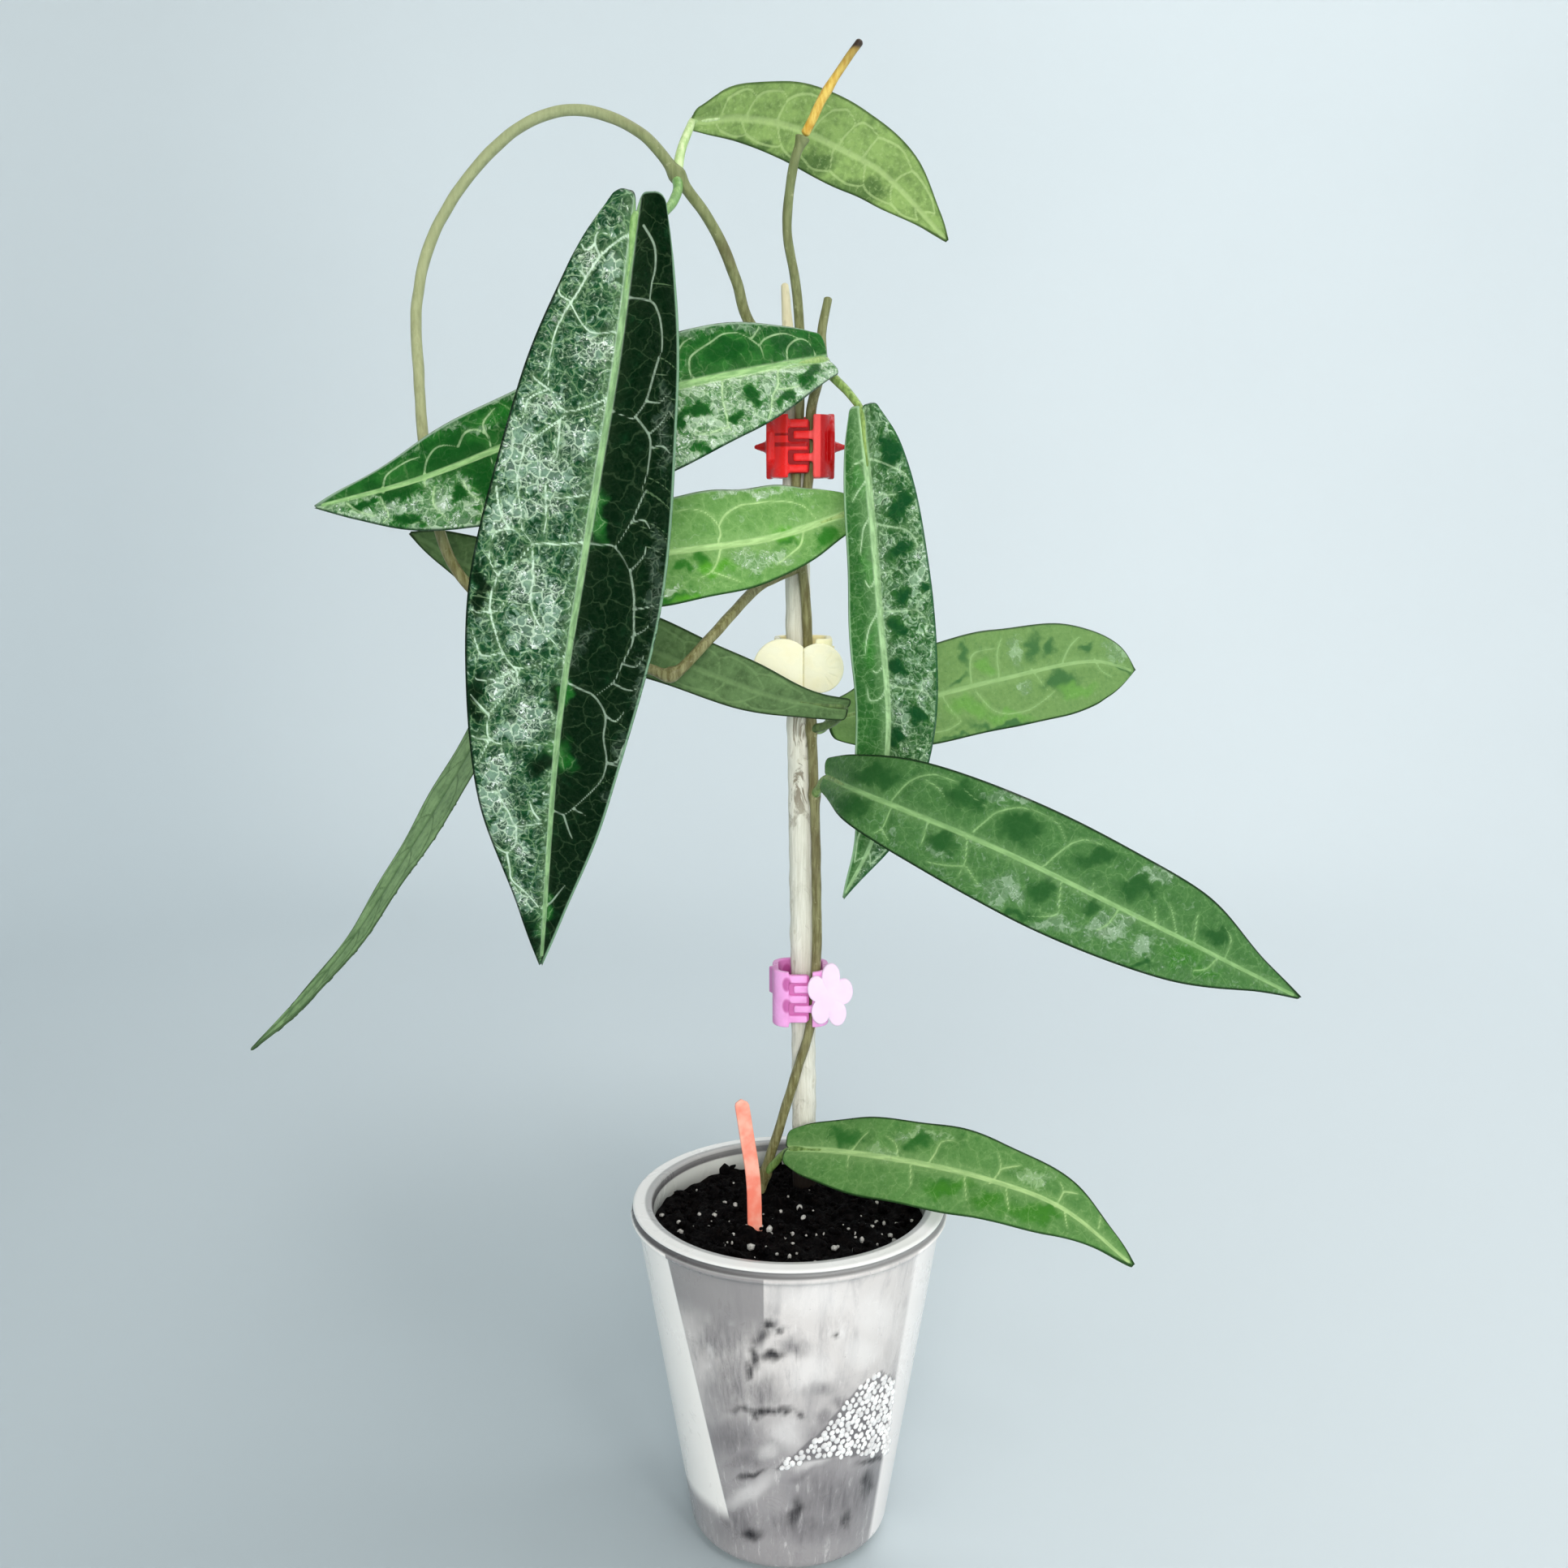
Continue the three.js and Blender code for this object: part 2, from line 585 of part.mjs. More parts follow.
// The petiole runs on under the midrib for a short way, so that blade and stalk are one piece.
function petioleSolid(leaf) {
  const curve = curveThrough(leaf.midrib);
  const route = vectors(leaf.petiole);
  for (const t of PETIOLE_RUN) {
    const { normal } = bladeAxes(leaf, curve, t);
    route.push(curve.getPointAt(t).addScaledVector(normal, -PETIOLE_DEPTH));
  }
  const path = new THREE.CatmullRomCurve3(route, false, "centripetal");
  return bar(path, (u) => PETIOLE_RADIUS - PETIOLE_TAPER * u, 6, 2 * (route.length - 1));
}

function leafSolid(leaf, seed, stemClearance) {
  return bladeSolid(leaf, seed).add(petioleSolid(leaf)).subtract(stemClearance);
}

// Claw clips, made round the clip's own centre line and then moved to their place.
function roundedOutline(inset) {
  const [side, front, back] = [JAW_HALF_WIDTH - inset, JAW_FRONT - inset, JAW_BACK - inset];
  const radius = JAW_CORNER - inset;
  const [x, low, high] = [side - radius, radius - front, back - radius];
  const shape = new THREE.Shape();
  shape.absarc(x, high, radius, 0, Math.PI / 2);
  shape.absarc(-x, high, radius, Math.PI / 2, Math.PI);
  shape.absarc(-x, low, radius, Math.PI, 1.5 * Math.PI);
  shape.absarc(x, low, radius, 1.5 * Math.PI, 2 * Math.PI);
  return shape;
}

function jawShell(side, height) {
  const walls = prism(roundedOutline(0), height, 0).subtract(prism(roundedOutline(JAW_WALL), height + 2, -1));
  const half = box([side * (GAP / 2 + 0.1), -FAR, -1], [side * FAR, FAR, height + 1]);
  const mouth = box([-MOUTH, -FAR, -1], [MOUTH, MOUTH_DEPTH - JAW_FRONT, height + 1]);
  return walls.intersect(half).subtract(mouth);
}

// The two jaws' fingers take turns up the height.
function jawFingers(side, height, count) {
  const pitch = FINGER_HEIGHT + FINGER_SPACE;
  const start = (height - count * pitch + FINGER_SPACE) / 2;
  const front = JAW_WALL - JAW_FRONT;
  const root = side * (MOUTH + FINGER_ROOT);
  const tip = root - side * FINGER_LENGTH;
  const fingers = [];
  for (let band = side < 0 ? 0 : 1; band < count; band += 2) {
    const low = start + band * pitch;
    fingers.push(box([root, front, low], [tip, front - FINGER_THICKNESS, low + FINGER_HEIGHT]));
  }
  return fingers;
}

// The moving jaw has the middle knuckle, and the fixed jaw has the two outer ones.
function jawKnuckles(side, height, moving) {
  const bands = moving ? [[KNUCKLE_SPLIT, 1 - KNUCKLE_SPLIT]] : [[0, KNUCKLE_SPLIT], [1 - KNUCKLE_SPLIT, 1]];
  const trim = moving ? GAP + 0.1 : 0;
  return bands.map(([from, to]) => {
    const [low, high] = [from * height + trim, to * height - trim];
    const web = box([side * 0.4, JAW_BACK - 1.2, low], [side * 2.6, PIN_BACK, high]);
    return post(KNUCKLE_RADIUS, low, high, 0, PIN_BACK, 10).add(web);
  });
}

function jawLever(side, height) {
  const corners = [[4, 6.6], [5.6, 6.2], [9.4, 12.2], [8.2, 13]];
  const lever = new THREE.Shape(corners.map(([x, y]) => new THREE.Vector2(side * x, y)));
  return prism(lever, height * 0.5, height * 0.25);
}

// Star-shaped side plates with a short spike.
function starPlates(side, height) {
  const corners = [];
  for (let i = 0; i < STAR_POINTS; i++) {
    const angle = (2 * Math.PI * (i + 0.5)) / STAR_POINTS;
    corners.push(new THREE.Vector2(0.46 * height * Math.cos(angle), 0.56 * height * Math.sin(angle)));
  }
  const options = { depth: STAR_THICKNESS, bevelEnabled: false };
  const disc = new THREE.ExtrudeGeometry(new THREE.Shape(corners), options);
  disc.rotateX(Math.PI / 2).rotateZ(Math.PI / 2);
  disc.translate(side > 0 ? JAW_HALF_WIDTH - 0.4 : 0.4 - JAW_HALF_WIDTH - STAR_THICKNESS, 0, height / 2);
  const spike = new THREE.CylinderGeometry(0.5, 1.9, SPIKE_LENGTH, 8).rotateZ((-side * Math.PI) / 2);
  spike.translate(side * (JAW_HALF_WIDTH + 0.6 + SPIKE_LENGTH / 2), 0.5, height / 2);
  return [asSolid(disc), asSolid(spike)];
}

// Rounded shell halves that meet in front of the stem.
function shellPlates(side, height) {
  const { radius, centre } = SHELLS[side < 0 ? 0 : 1];
  const plate = new THREE.CylinderGeometry(radius - 1, radius, SHELL_THICKNESS, 22);
  plate.translate(centre, -ORNAMENT_BACK - SHELL_THICKNESS / 2, height / 2);
  const half = box([(side * GAP) / 2, -FAR, -FAR], [side * FAR, FAR, height + FAR]);
  let solid = asSolid(plate).intersect(half);
  for (const groove of SHELL_GROOVES) {
    const angle = groove * GROOVE_ANGLE + (side < 0 ? Math.PI : 0);
    const cut = new THREE.BoxGeometry(3.2, 1.4, 0.6).translate(radius - 2.2, 0, 0).rotateY(-angle);
    cut.translate(centre, -ORNAMENT_BACK - SHELL_THICKNESS, height / 2);
    solid = solid.subtract(asSolid(cut));
  }
  return [solid];
}

// A flat flower with round petals, on one jaw only.
function flowerPlate(height) {
  const disc = (x, z, radius) => {
    const plate = new THREE.CylinderGeometry(radius - 0.5, radius, 2, 12);
    return asSolid(plate.translate(FLOWER_CENTRE + x, -ORNAMENT_BACK - 1, height / 2 + z));
  };
  let flower = disc(0, 0, FLOWER_HEART_RADIUS);
  for (let i = 0; i < PETALS; i++) {
    const angle = (2 * Math.PI * (i + 0.1)) / PETALS;
    flower = flower.add(disc(PETAL_CIRCLE * Math.cos(angle), PETAL_CIRCLE * Math.sin(angle), PETAL_RADIUS));
  }
  return [flower];
}

function ornamentOf(clip, side) {
  if (clip.ornament === "star") return starPlates(side, clip.height);
  if (clip.ornament === "shell") return shellPlates(side, clip.height);
  return side > 0 ? flowerPlate(clip.height) : [];
}

function jawSolid(clip, side) {
  const moving = side === clip.mover;
  const pieces = [
    ...jawFingers(side, clip.height, clip.fingers),
    ...jawKnuckles(side, clip.height, moving),
    jawLever(side, clip.height),
    ...ornamentOf(clip, side),
  ];
  const bore = post(PIN_RADIUS + GAP, -2, clip.height + 2, 0, PIN_BACK, 10);
  return pieces.reduce((jaw, piece) => jaw.add(piece), jawShell(side, clip.height)).subtract(bore);
}

// Scene graph.
const group = new THREE.Group();

function addPiece(name, solid, color, roughness, metalness = 0, place = [0, 0, 0]) {
  const material = new THREE.MeshStandardMaterial({ color, roughness, metalness });
  const mesh = new THREE.Mesh(asGeometry(solid), material);
  mesh.name = name;
  mesh.position.set(...place);
  group.add(mesh);
}

const stemClearance = vineSolid(GAP);
addPiece("pot", potSolid(), 0xd2d0d4, 0.3);
addPiece("soil", soilSolid([stakeSolid(GAP), labelSolid(GAP), stemClearance]), 0x1c1917, 0.95);
addPiece("stake", stakeSolid(0), 0xd9d2bd, 0.8);
addPiece("label_stick", labelSolid(0), 0xe8604a, 0.45);
addPiece("vine_stem", vineSolid(0), 0x6b6a3a, 0.6);
addPiece("growing_shoot", shootSolid(stemClearance), 0xc98a2a, 0.55);
Object.entries(LEAVES).forEach(([name, leaf], index) => {
  addPiece(name, leafSolid(leaf, 11 + index, stemClearance), leaf.color, 0.35);
});
for (const [name, clip] of Object.entries(CLIPS)) {
  addPiece(name + "_left_jaw", jawSolid(clip, -1), clip.color, 0.35, 0, clip.at);
  addPiece(name + "_right_jaw", jawSolid(clip, 1), clip.color, 0.35, 0, clip.at);
  addPiece(name + "_pin", post(PIN_RADIUS, 0, clip.height, 0, PIN_BACK, 10), 0xb8babd, 0.3, 0.9, clip.at);
}

export default group;
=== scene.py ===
import math

import bmesh
import bpy
import numpy as np
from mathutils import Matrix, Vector


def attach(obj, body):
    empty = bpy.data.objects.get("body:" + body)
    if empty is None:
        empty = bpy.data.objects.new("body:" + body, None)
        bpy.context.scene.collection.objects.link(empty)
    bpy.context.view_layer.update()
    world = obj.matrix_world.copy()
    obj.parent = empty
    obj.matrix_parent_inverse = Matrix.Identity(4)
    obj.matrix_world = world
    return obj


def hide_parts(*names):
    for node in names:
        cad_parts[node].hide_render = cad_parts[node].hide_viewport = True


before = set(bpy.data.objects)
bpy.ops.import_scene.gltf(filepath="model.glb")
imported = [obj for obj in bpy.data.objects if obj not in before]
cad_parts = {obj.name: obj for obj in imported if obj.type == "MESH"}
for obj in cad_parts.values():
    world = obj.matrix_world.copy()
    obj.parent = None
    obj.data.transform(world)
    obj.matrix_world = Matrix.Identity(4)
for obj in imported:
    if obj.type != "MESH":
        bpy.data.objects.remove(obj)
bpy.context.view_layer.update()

# A potted climbing hoya on a stake. Lengths are millimetres until a mesh is made, which is in metres.
MM = 0.001
SPACING = 0.53  # between the points of a blade's mesh

# The photograph's camera: a square frame, its focal length and centre in pixels, and where it stands.
FRAME_PX = 1932
FOCAL_PX = 1932
CAMERA_MM = np.array([-1.4, -421.0, 294.0])
CAMERA_PITCH = math.radians(10)  # below the horizon
SENSOR_MM = 36

# The corners of a rounded outline: the signs of its two sides, and where the round starts in degrees.
CORNERS = ((1, 1, 0), (-1, 1, 90), (-1, -1, 180), (1, -1, 270))

# Routes, from root to tip, the same as the solids'.
STAKE_ROUTE = [
    (5, 22, 32), (4.8, 24, 93), (4.4, 25, 138), (3, 25, 236), (2.4, 25, 275), (0.9, 25, 322),
    (-1.2, 25, 354.5),
]
MAIN_STEM = [
    (-9, 23, 72), (-7.8, 23, 93.5), (-2.8, 21, 112), (3.1, 19, 133), (6.2, 19, 144), (8.1, 21, 165),
    (8, 21, 184), (7.5, 21, 208), (6.4, 20.5, 232), (5.5, 20, 252), (4.7, 19.5, 268), (3.6, 19.2, 278),
    (1.9, 19, 302), (2.8, 19, 310), (2.8, 18.8, 320), (2.8, 16.5, 328), (2.7, 12.5, 342.5), (1.4, 9, 354),
    (-0.6, 7, 365), (1.1, 4.5, 381), (3.6, 4, 388),
]
STUB_STEM = [
    (3.2, 19.2, 284), (5, 19, 298), (5.8, 19, 308), (6, 18.6, 320),
    (8.6, 13, 331.5), (8.7, 11, 340), (10.4, 10.5, 349),
]
LOOP_STEM = [
    (2.8, 16.5, 328), (-3.8, 11, 335.5), (-10.6, 5, 342), (-14.2, 1, 353), (-19.2, -3, 364),
    (-26.2, -5, 373.5), (-37.3, -5, 386.5), (-53, -3, 392.5), (-66.3, -1, 390), (-81.5, 1, 378),
    (-92.6, 1, 361), (-96, -2, 345), (-95, -7, 328), (-93.5, -11, 310), (-91.5, -12, 296),
    (-88.5, -12, 283), (-83, -12.5, 274), (-66, -13, 259.5), (-48, -13, 254.5), (-36.5, -13, 252.5),
    (-31, -13, 251), (-21.5, -10, 259.5), (-14.5, -3, 267), (-8, 8, 273), (0, 17.5, 276.5),
    (3.6, 19.2, 278),
]
SHOOT_ROUTE = [(3.8, 4, 388), (5.4, 4, 391), (8.5, 4, 397), (13, 4, 404), (18.2, 4, 411)]
LABEL_ROUTE = [(-9, -7, 66), (-9.7, -4, 93), (-10.2, -1, 106), (-12, 1, 118), (-13.6, 2, 128.5)]
STEM_RADIUS = 1.42
STAKE_RADIUS = 3.55
STAKE_KNOTS = (0.36, 0.62, 0.8)  # shares of its length
SHOOT_RADIUS = 1.2
LABEL_WIDTH = 4.2
LABEL_THICKNESS = 0.9
LABEL_CORNER = 0.28
LABEL_ROWS = 70
LABEL_ACROSS = (0.96, 0.28, 0)

# Swollen joints of the stem: place, radius and half-length along the stem.
STEM_KNOBS = [
    ((-28.4, -5, 376.5), 2.3, 2.2),
    ((-31, -13, 251), 2.2, 2.0),
    ((8.6, 13, 331.5), 2.2, 1.8),
    ((3.6, 4, 387.6), 2.1, 1.8),
    ((6.4, 20.5, 232), 1.85, 2.0),
    ((7.4, 21, 213), 1.85, 2.0),
    ((3.2, 19.2, 285), 1.75, 2.0),
    ((-7.4, 22.8, 97), 2.1, 2.4),
    ((-66, -13, 259.5), 1.9, 2.0),
]

# Blade stations are shares of a midrib's length, and left and right are half-widths there.
BLADE_STATIONS = [0, 0.08, 0.25, 0.5, 0.75, 0.92, 1]
BLADE_TIP = 0.35
BLADE_THICKNESS = 0.95
LOBE_REACH = 0.12
LOBE_FULLNESS = 7
EDGE_WAVE = 0.8
EDGE_WAVES = 4
BUBBLE_SIZE = 2.6
CELL_SIZE = 5.5
ZONE_WOBBLES = [(9.0, 4.0), (4.3, 2.5), (2.1, 1.4)]  # pace and reach, in pixels of the photograph
MIDRIB_RELIEF = 0.7
MIDRIB_STATIONS = (0, 0.3, 0.6, 0.985)
MIDRIB_TIP_WIDTH = 0.35
VEIN_TIP_WIDTH = 0.12
MINOR_VEIN_WIDTHS = (0.14, 0.08)
VEIN_GROOVE = 0.16  # the veins' depth in the upper face
VEIN_RIDGE = 0.2  # and their height on the lower one
VEIN_REACH = 7.0  # how far from a vein its distance is measured
VEIN_FADE = 20  # the most half-widths that an attribute tells
BUBBLE_GRID = 64
SHOWN_ROWS = 370
SHOWN_COLUMNS = 93
PETIOLE_RADIUS = 1.28
PETIOLE_TIP_RADIUS = 0.8
PETIOLE_RUN = [0, 0.05, 0.11]
PETIOLE_DEPTH = 0.6


def srgb(red, green, blue):
    """A colour given as screen values from 0 to 255, in the linear values that a shader takes."""
    linear = []
    for value in (red, green, blue):
        share = value / 255
        linear.append(share / 12.92 if share <= 0.04045 else ((share + 0.055) / 1.055) ** 2.4)
    return (*linear, 1.0)


def unit(vectors):
    return vectors / np.maximum(np.linalg.norm(vectors, axis=-1, keepdims=True), 1e-12)


def smooth_step(low, high, value):
    share = np.clip((value - low) / (high - low), 0, 1)
    return share * share * (3 - 2 * share)


def smooth_line(points, steps):
    """The uniform Catmull-Rom curve through points, as a list of places."""
    points = np.asarray(points, float)
    padded = [points[0], *points, points[-1]]
    line = []
    for p0, p1, p2, p3 in zip(padded, padded[1:], padded[2:], padded[3:]):
        start, end = (p2 - p0) / 2, (p3 - p1) / 2
        for s in np.arange(steps) / steps:
            cubic = 2 * p1 - 2 * p2 + start + end
            square = 3 * p2 - 3 * p1 - 2 * start - end
            line.append(p1 + s * (start + s * (square + s * cubic)))
    return np.array([*line, points[-1]])


class Route:
    """A centripetal Catmull-Rom curve through points, asked for by share of its length."""

    def __init__(self, points, steps=40):
        points = np.asarray(points, float)
        ends = [2 * points[0] - points[1], *points, 2 * points[-1] - points[-2]]
        shares = np.arange(steps) / steps
        pieces = []
        for p0, p1, p2, p3 in zip(ends, ends[1:], ends[2:], ends[3:]):
            gaps = [max(math.sqrt(np.linalg.norm(b - a)), 1e-4) for a, b in ((p0, p1), (p1, p2), (p2, p3))]
            d0, d1, d2 = gaps
            start = ((p1 - p0) / d0 - (p2 - p0) / (d0 + d1) + (p2 - p1) / d1) * d1
            end = ((p2 - p1) / d1 - (p3 - p1) / (d1 + d2) + (p3 - p2) / d2) * d1
            cubic = 2 * p1 - 2 * p2 + start + end
            square = 3 * p2 - 3 * p1 - 2 * start - end
            for s in shares:
                pieces.append(p1 + s * (start + s * (square + s * cubic)))
        self.line = np.array([*pieces, points[-1]])
        strides = np.linalg.norm(np.diff(self.line, axis=0), axis=1)
        self.arc = np.concatenate([[0], np.cumsum(strides)])
        self.length = self.arc[-1]

    def at(self, shares):
        wanted = np.asarray(shares, float) * self.length
        return np.stack([np.interp(wanted, self.arc, self.line[:, axis]) for axis in range(3)], axis=-1)

    def tangent(self, shares):
        shares = np.asarray(shares, float)
        step = 0.004
        return unit(self.at(np.minimum(shares + step, 1)) - self.at(np.maximum(shares - step, 0)))

    def nearest(self, place):
        """The distance along the route of its point nearest to a place."""
        return self.arc[np.argmin(np.linalg.norm(self.line - np.asarray(place, float), axis=1))]


def repeatable(seed):
    """The same small generator of random numbers as the solids', for the waves of the blades' edges."""
    state = seed
    while True:
        state = (state * 1664525 + 1013904223) % 4294967296
        yield state / 4294967296


def pixels_of(points):
    """Where points in millimetres show in the photograph's frame."""
    offset = np.asarray(points, float) - CAMERA_MM
    forward = np.array([0, math.cos(CAMERA_PITCH), -math.sin(CAMERA_PITCH)])
    up = np.array([0, math.sin(CAMERA_PITCH), math.cos(CAMERA_PITCH)])
    depth = offset @ forward
    x = FRAME_PX / 2 + FOCAL_PX * offset[..., 0] / depth
    y = FRAME_PX / 2 - FOCAL_PX * (offset @ up) / depth
    return np.stack([x, y], axis=-1)


def pixel_on_level(pixel, level):
    """The point at a height that shows at a pixel of the photograph."""
    across = (pixel[0] - FRAME_PX / 2) / FOCAL_PX
    rise = (FRAME_PX / 2 - pixel[1]) / FOCAL_PX
    cosine, sine = math.cos(CAMERA_PITCH), math.sin(CAMERA_PITCH)
    ray = np.array([across, cosine + rise * sine, rise * cosine - sine])
    return CAMERA_MM + ray * (level - CAMERA_MM[2]) / ray[2]


def inside_outline(point, outline):
    """Whether a point lies inside a closed outline of straight lines."""
    x, y = point
    inside = False
    for (x0, y0), (x1, y1) in zip(outline, [*outline[1:], outline[0]]):
        if (y0 > y) != (y1 > y) and x < x0 + (y - y0) * (x1 - x0) / (y1 - y0):
            inside = not inside
    return inside


# Meshes.
def set_attributes(mesh, attributes):
    for attribute, values in attributes.items():
        kind = "FLOAT" if np.ndim(values) == 1 else "FLOAT_VECTOR"
        layer = mesh.attributes.new(attribute, kind, "POINT")
        field = "value" if kind == "FLOAT" else "vector"
        layer.data.foreach_set(field, np.ascontiguousarray(values, dtype=np.float32).ravel())


def add_mesh(name, vertices, faces, materials, attributes=None):
    """A mesh object in metres from vertices in millimetres."""
    mesh = bpy.data.meshes.new(name)
    mesh.from_pydata((np.asarray(vertices, float) * MM).tolist(), [], [tuple(face) for face in faces])
    set_attributes(mesh, attributes or {})
    for material in materials:
        mesh.materials.append(material)
    mesh.polygons.foreach_set("use_smooth", [True] * len(mesh.polygons))
    mesh.update()
    piece = bpy.data.objects.new(name, mesh)
    bpy.context.scene.collection.objects.link(piece)
    return piece


def dress(piece, body, slot, *nodes):
    """Makes a piece ride on its body and stand for CAD nodes. The slot is not used."""
    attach(piece, body)
    if nodes:
        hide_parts(*nodes)
    return piece


def outward(vertices, faces):
    """Faces turned to look out of a closed surface."""
    vertices = np.asarray(vertices, float)
    volume = 0.0
    for face in faces:
        a = vertices[face[0]]
        for i in range(1, len(face) - 1):
            volume += np.dot(a, np.cross(vertices[face[i]], vertices[face[i + 1]]))
    return [tuple(reversed(face)) for face in faces] if volume < 0 else faces


def outward_grid(vertices, faces):
    """The same as outward, for faces in an array of quads."""
    corners = np.asarray(vertices)[faces]
    first = np.einsum("ij,ij->i", corners[:, 0], np.cross(corners[:, 1], corners[:, 2]))
    second = np.einsum("ij,ij->i", corners[:, 0], np.cross(corners[:, 2], corners[:, 3]))
    return faces[:, ::-1] if first.sum() + second.sum() < 0 else faces


def ring_faces(rings, count):
    """Quads between neighbouring rings of count vertices each."""
    faces = []
    for low in range(0, (rings - 1) * count, count):
        for i in range(count):
            j = (i + 1) % count
            faces.append((low + i, low + j, low + count + j, low + count + i))
    return faces


def capped_rings(rings, count):
    """Faces of rings closed by a fan at each end. The two middle points come after the rings."""
    faces = ring_faces(rings, count)
    last = (rings - 1) * count
    middle = rings * count
    for i in range(count):
        j = (i + 1) % count
        faces.append((middle, j, i))
        faces.append((middle + 1, last + i, last + j))
    return faces


def revolved(rings, count):
    """Rings of count points each round the axis, from radius and height."""
    angles = 2 * math.pi * np.arange(count) / count
    radii = rings[:, None, 0]
    heights = np.broadcast_to(rings[:, None, 1], (len(rings), count))
    return np.stack([radii * np.cos(angles), radii * np.sin(angles), heights], axis=-1).reshape(-1, 3)


def steady_frames(points):
    """Tangents along a line of points, with two side directions that never twist."""
    tangents = unit(np.gradient(points, axis=0))
    start = np.array([0.0, 1.0, 0.0]) if abs(tangents[0][1]) < 0.9 else np.array([1.0, 0.0, 0.0])
    sides = np.zeros_like(points)
    side = start
    for i, tangent in enumerate(tangents):
        side = unit(side - tangent * np.dot(side, tangent))
        sides[i] = side
    return tangents, sides, np.cross(tangents, sides)


def tube_surface(points, radii, count, swell=None):
    """Vertices and faces of a closed tube. swell gives a share to add to the radius at each vertex."""
    _, sides, others = steady_frames(points)
    angles = 2 * math.pi * np.arange(count) / count
    cosines, sines = np.cos(angles)[None, :, None], np.sin(angles)[None, :, None]
    spokes = cosines * sides[:, None, :] + sines * others[:, None, :]
    reach = radii[:, None] * (1 + (0 if swell is None else swell))
    rings = points[:, None, :] + spokes * np.broadcast_to(reach, (len(points), count))[:, :, None]
    vertices = np.concatenate([rings.reshape(-1, 3), points[:1], points[-1:]])
    return vertices, outward(vertices, capped_rings(len(points), count))


def rounded_stations(length, spacing, start_radius, end_radius):
    """Distances along a tube, closer together in its rounded ends."""
    arc = np.array([0, 0.03, 0.12, 0.28, 0.5, 0.75, 1.0])
    middle = np.linspace(start_radius, length - end_radius, max(2, round(length / spacing)))
    return np.concatenate([arc[:-1] * start_radius, middle, (length - arc[:-1] * end_radius)[::-1]])


def end_rounding(distances, length, start_radius, end_radius):
    """The share of a tube's radius at each distance, falling to nothing in round ends."""
    start = np.clip(1 - distances / start_radius, 0, 1)
    end = np.clip(1 - (length - distances) / end_radius, 0, 1)
    return np.sqrt(np.maximum(1 - start**2, 1e-4)) * np.sqrt(np.maximum(1 - end**2, 1e-4))


def swept_bar(route, radius_at, spacing, count, ends=(1, 1), wobble=0.0, seed=0):
    """A round bar along a route with rounded ends and a slightly uneven skin."""
    length = route.length
    distances = rounded_stations(length, spacing, *ends)
    shares = distances / length
    radii = radius_at(distances) * end_rounding(distances, length, *ends)
    random = np.random.default_rng(seed)
    swell = None
    if wobble:
        angles = 2 * math.pi * np.arange(count) / count
        swell = np.zeros((len(distances), count))
        for _ in range(7):
            turns = random.integers(0, 4)
            pace = random.uniform(0.05, 0.9)
            phase = random.uniform(0, 2 * math.pi)
            swell += np.sin(pace * distances[:, None] + turns * angles[None, :] + phase)
        swell *= wobble / 3
    return tube_surface(route.at(shares), radii, count, swell)


def joined(*surfaces):
    """Several surfaces as one list of vertices and one of faces."""
    vertices = []
    faces = []
    offset = 0
    for points, polygons in surfaces:
        vertices.append(np.asarray(points, float))
        faces += [tuple(int(corner) + offset for corner in polygon) for polygon in polygons]
        offset += len(points)
    return np.concatenate(vertices), faces


def combine(piece, other, operation="UNION"):
    """Joins or cuts a piece with another by an exact boolean, and removes the other."""
    modifier = piece.modifiers.new("combine", "BOOLEAN")
    modifier.operation = operation
    modifier.solver = "MANIFOLD"
    modifier.object = other
    apply_modifiers(piece)
    bpy.data.objects.remove(other)
    return piece


def apply_modifiers(piece):
    graph = bpy.context.evaluated_depsgraph_get()
    mesh = bpy.data.meshes.new_from_object(piece.evaluated_get(graph))
    piece.modifiers.clear()
    old = piece.data
    piece.data = mesh
    bpy.data.meshes.remove(old)
    piece.data.polygons.foreach_set("use_smooth", [True] * len(piece.data.polygons))
    return piece


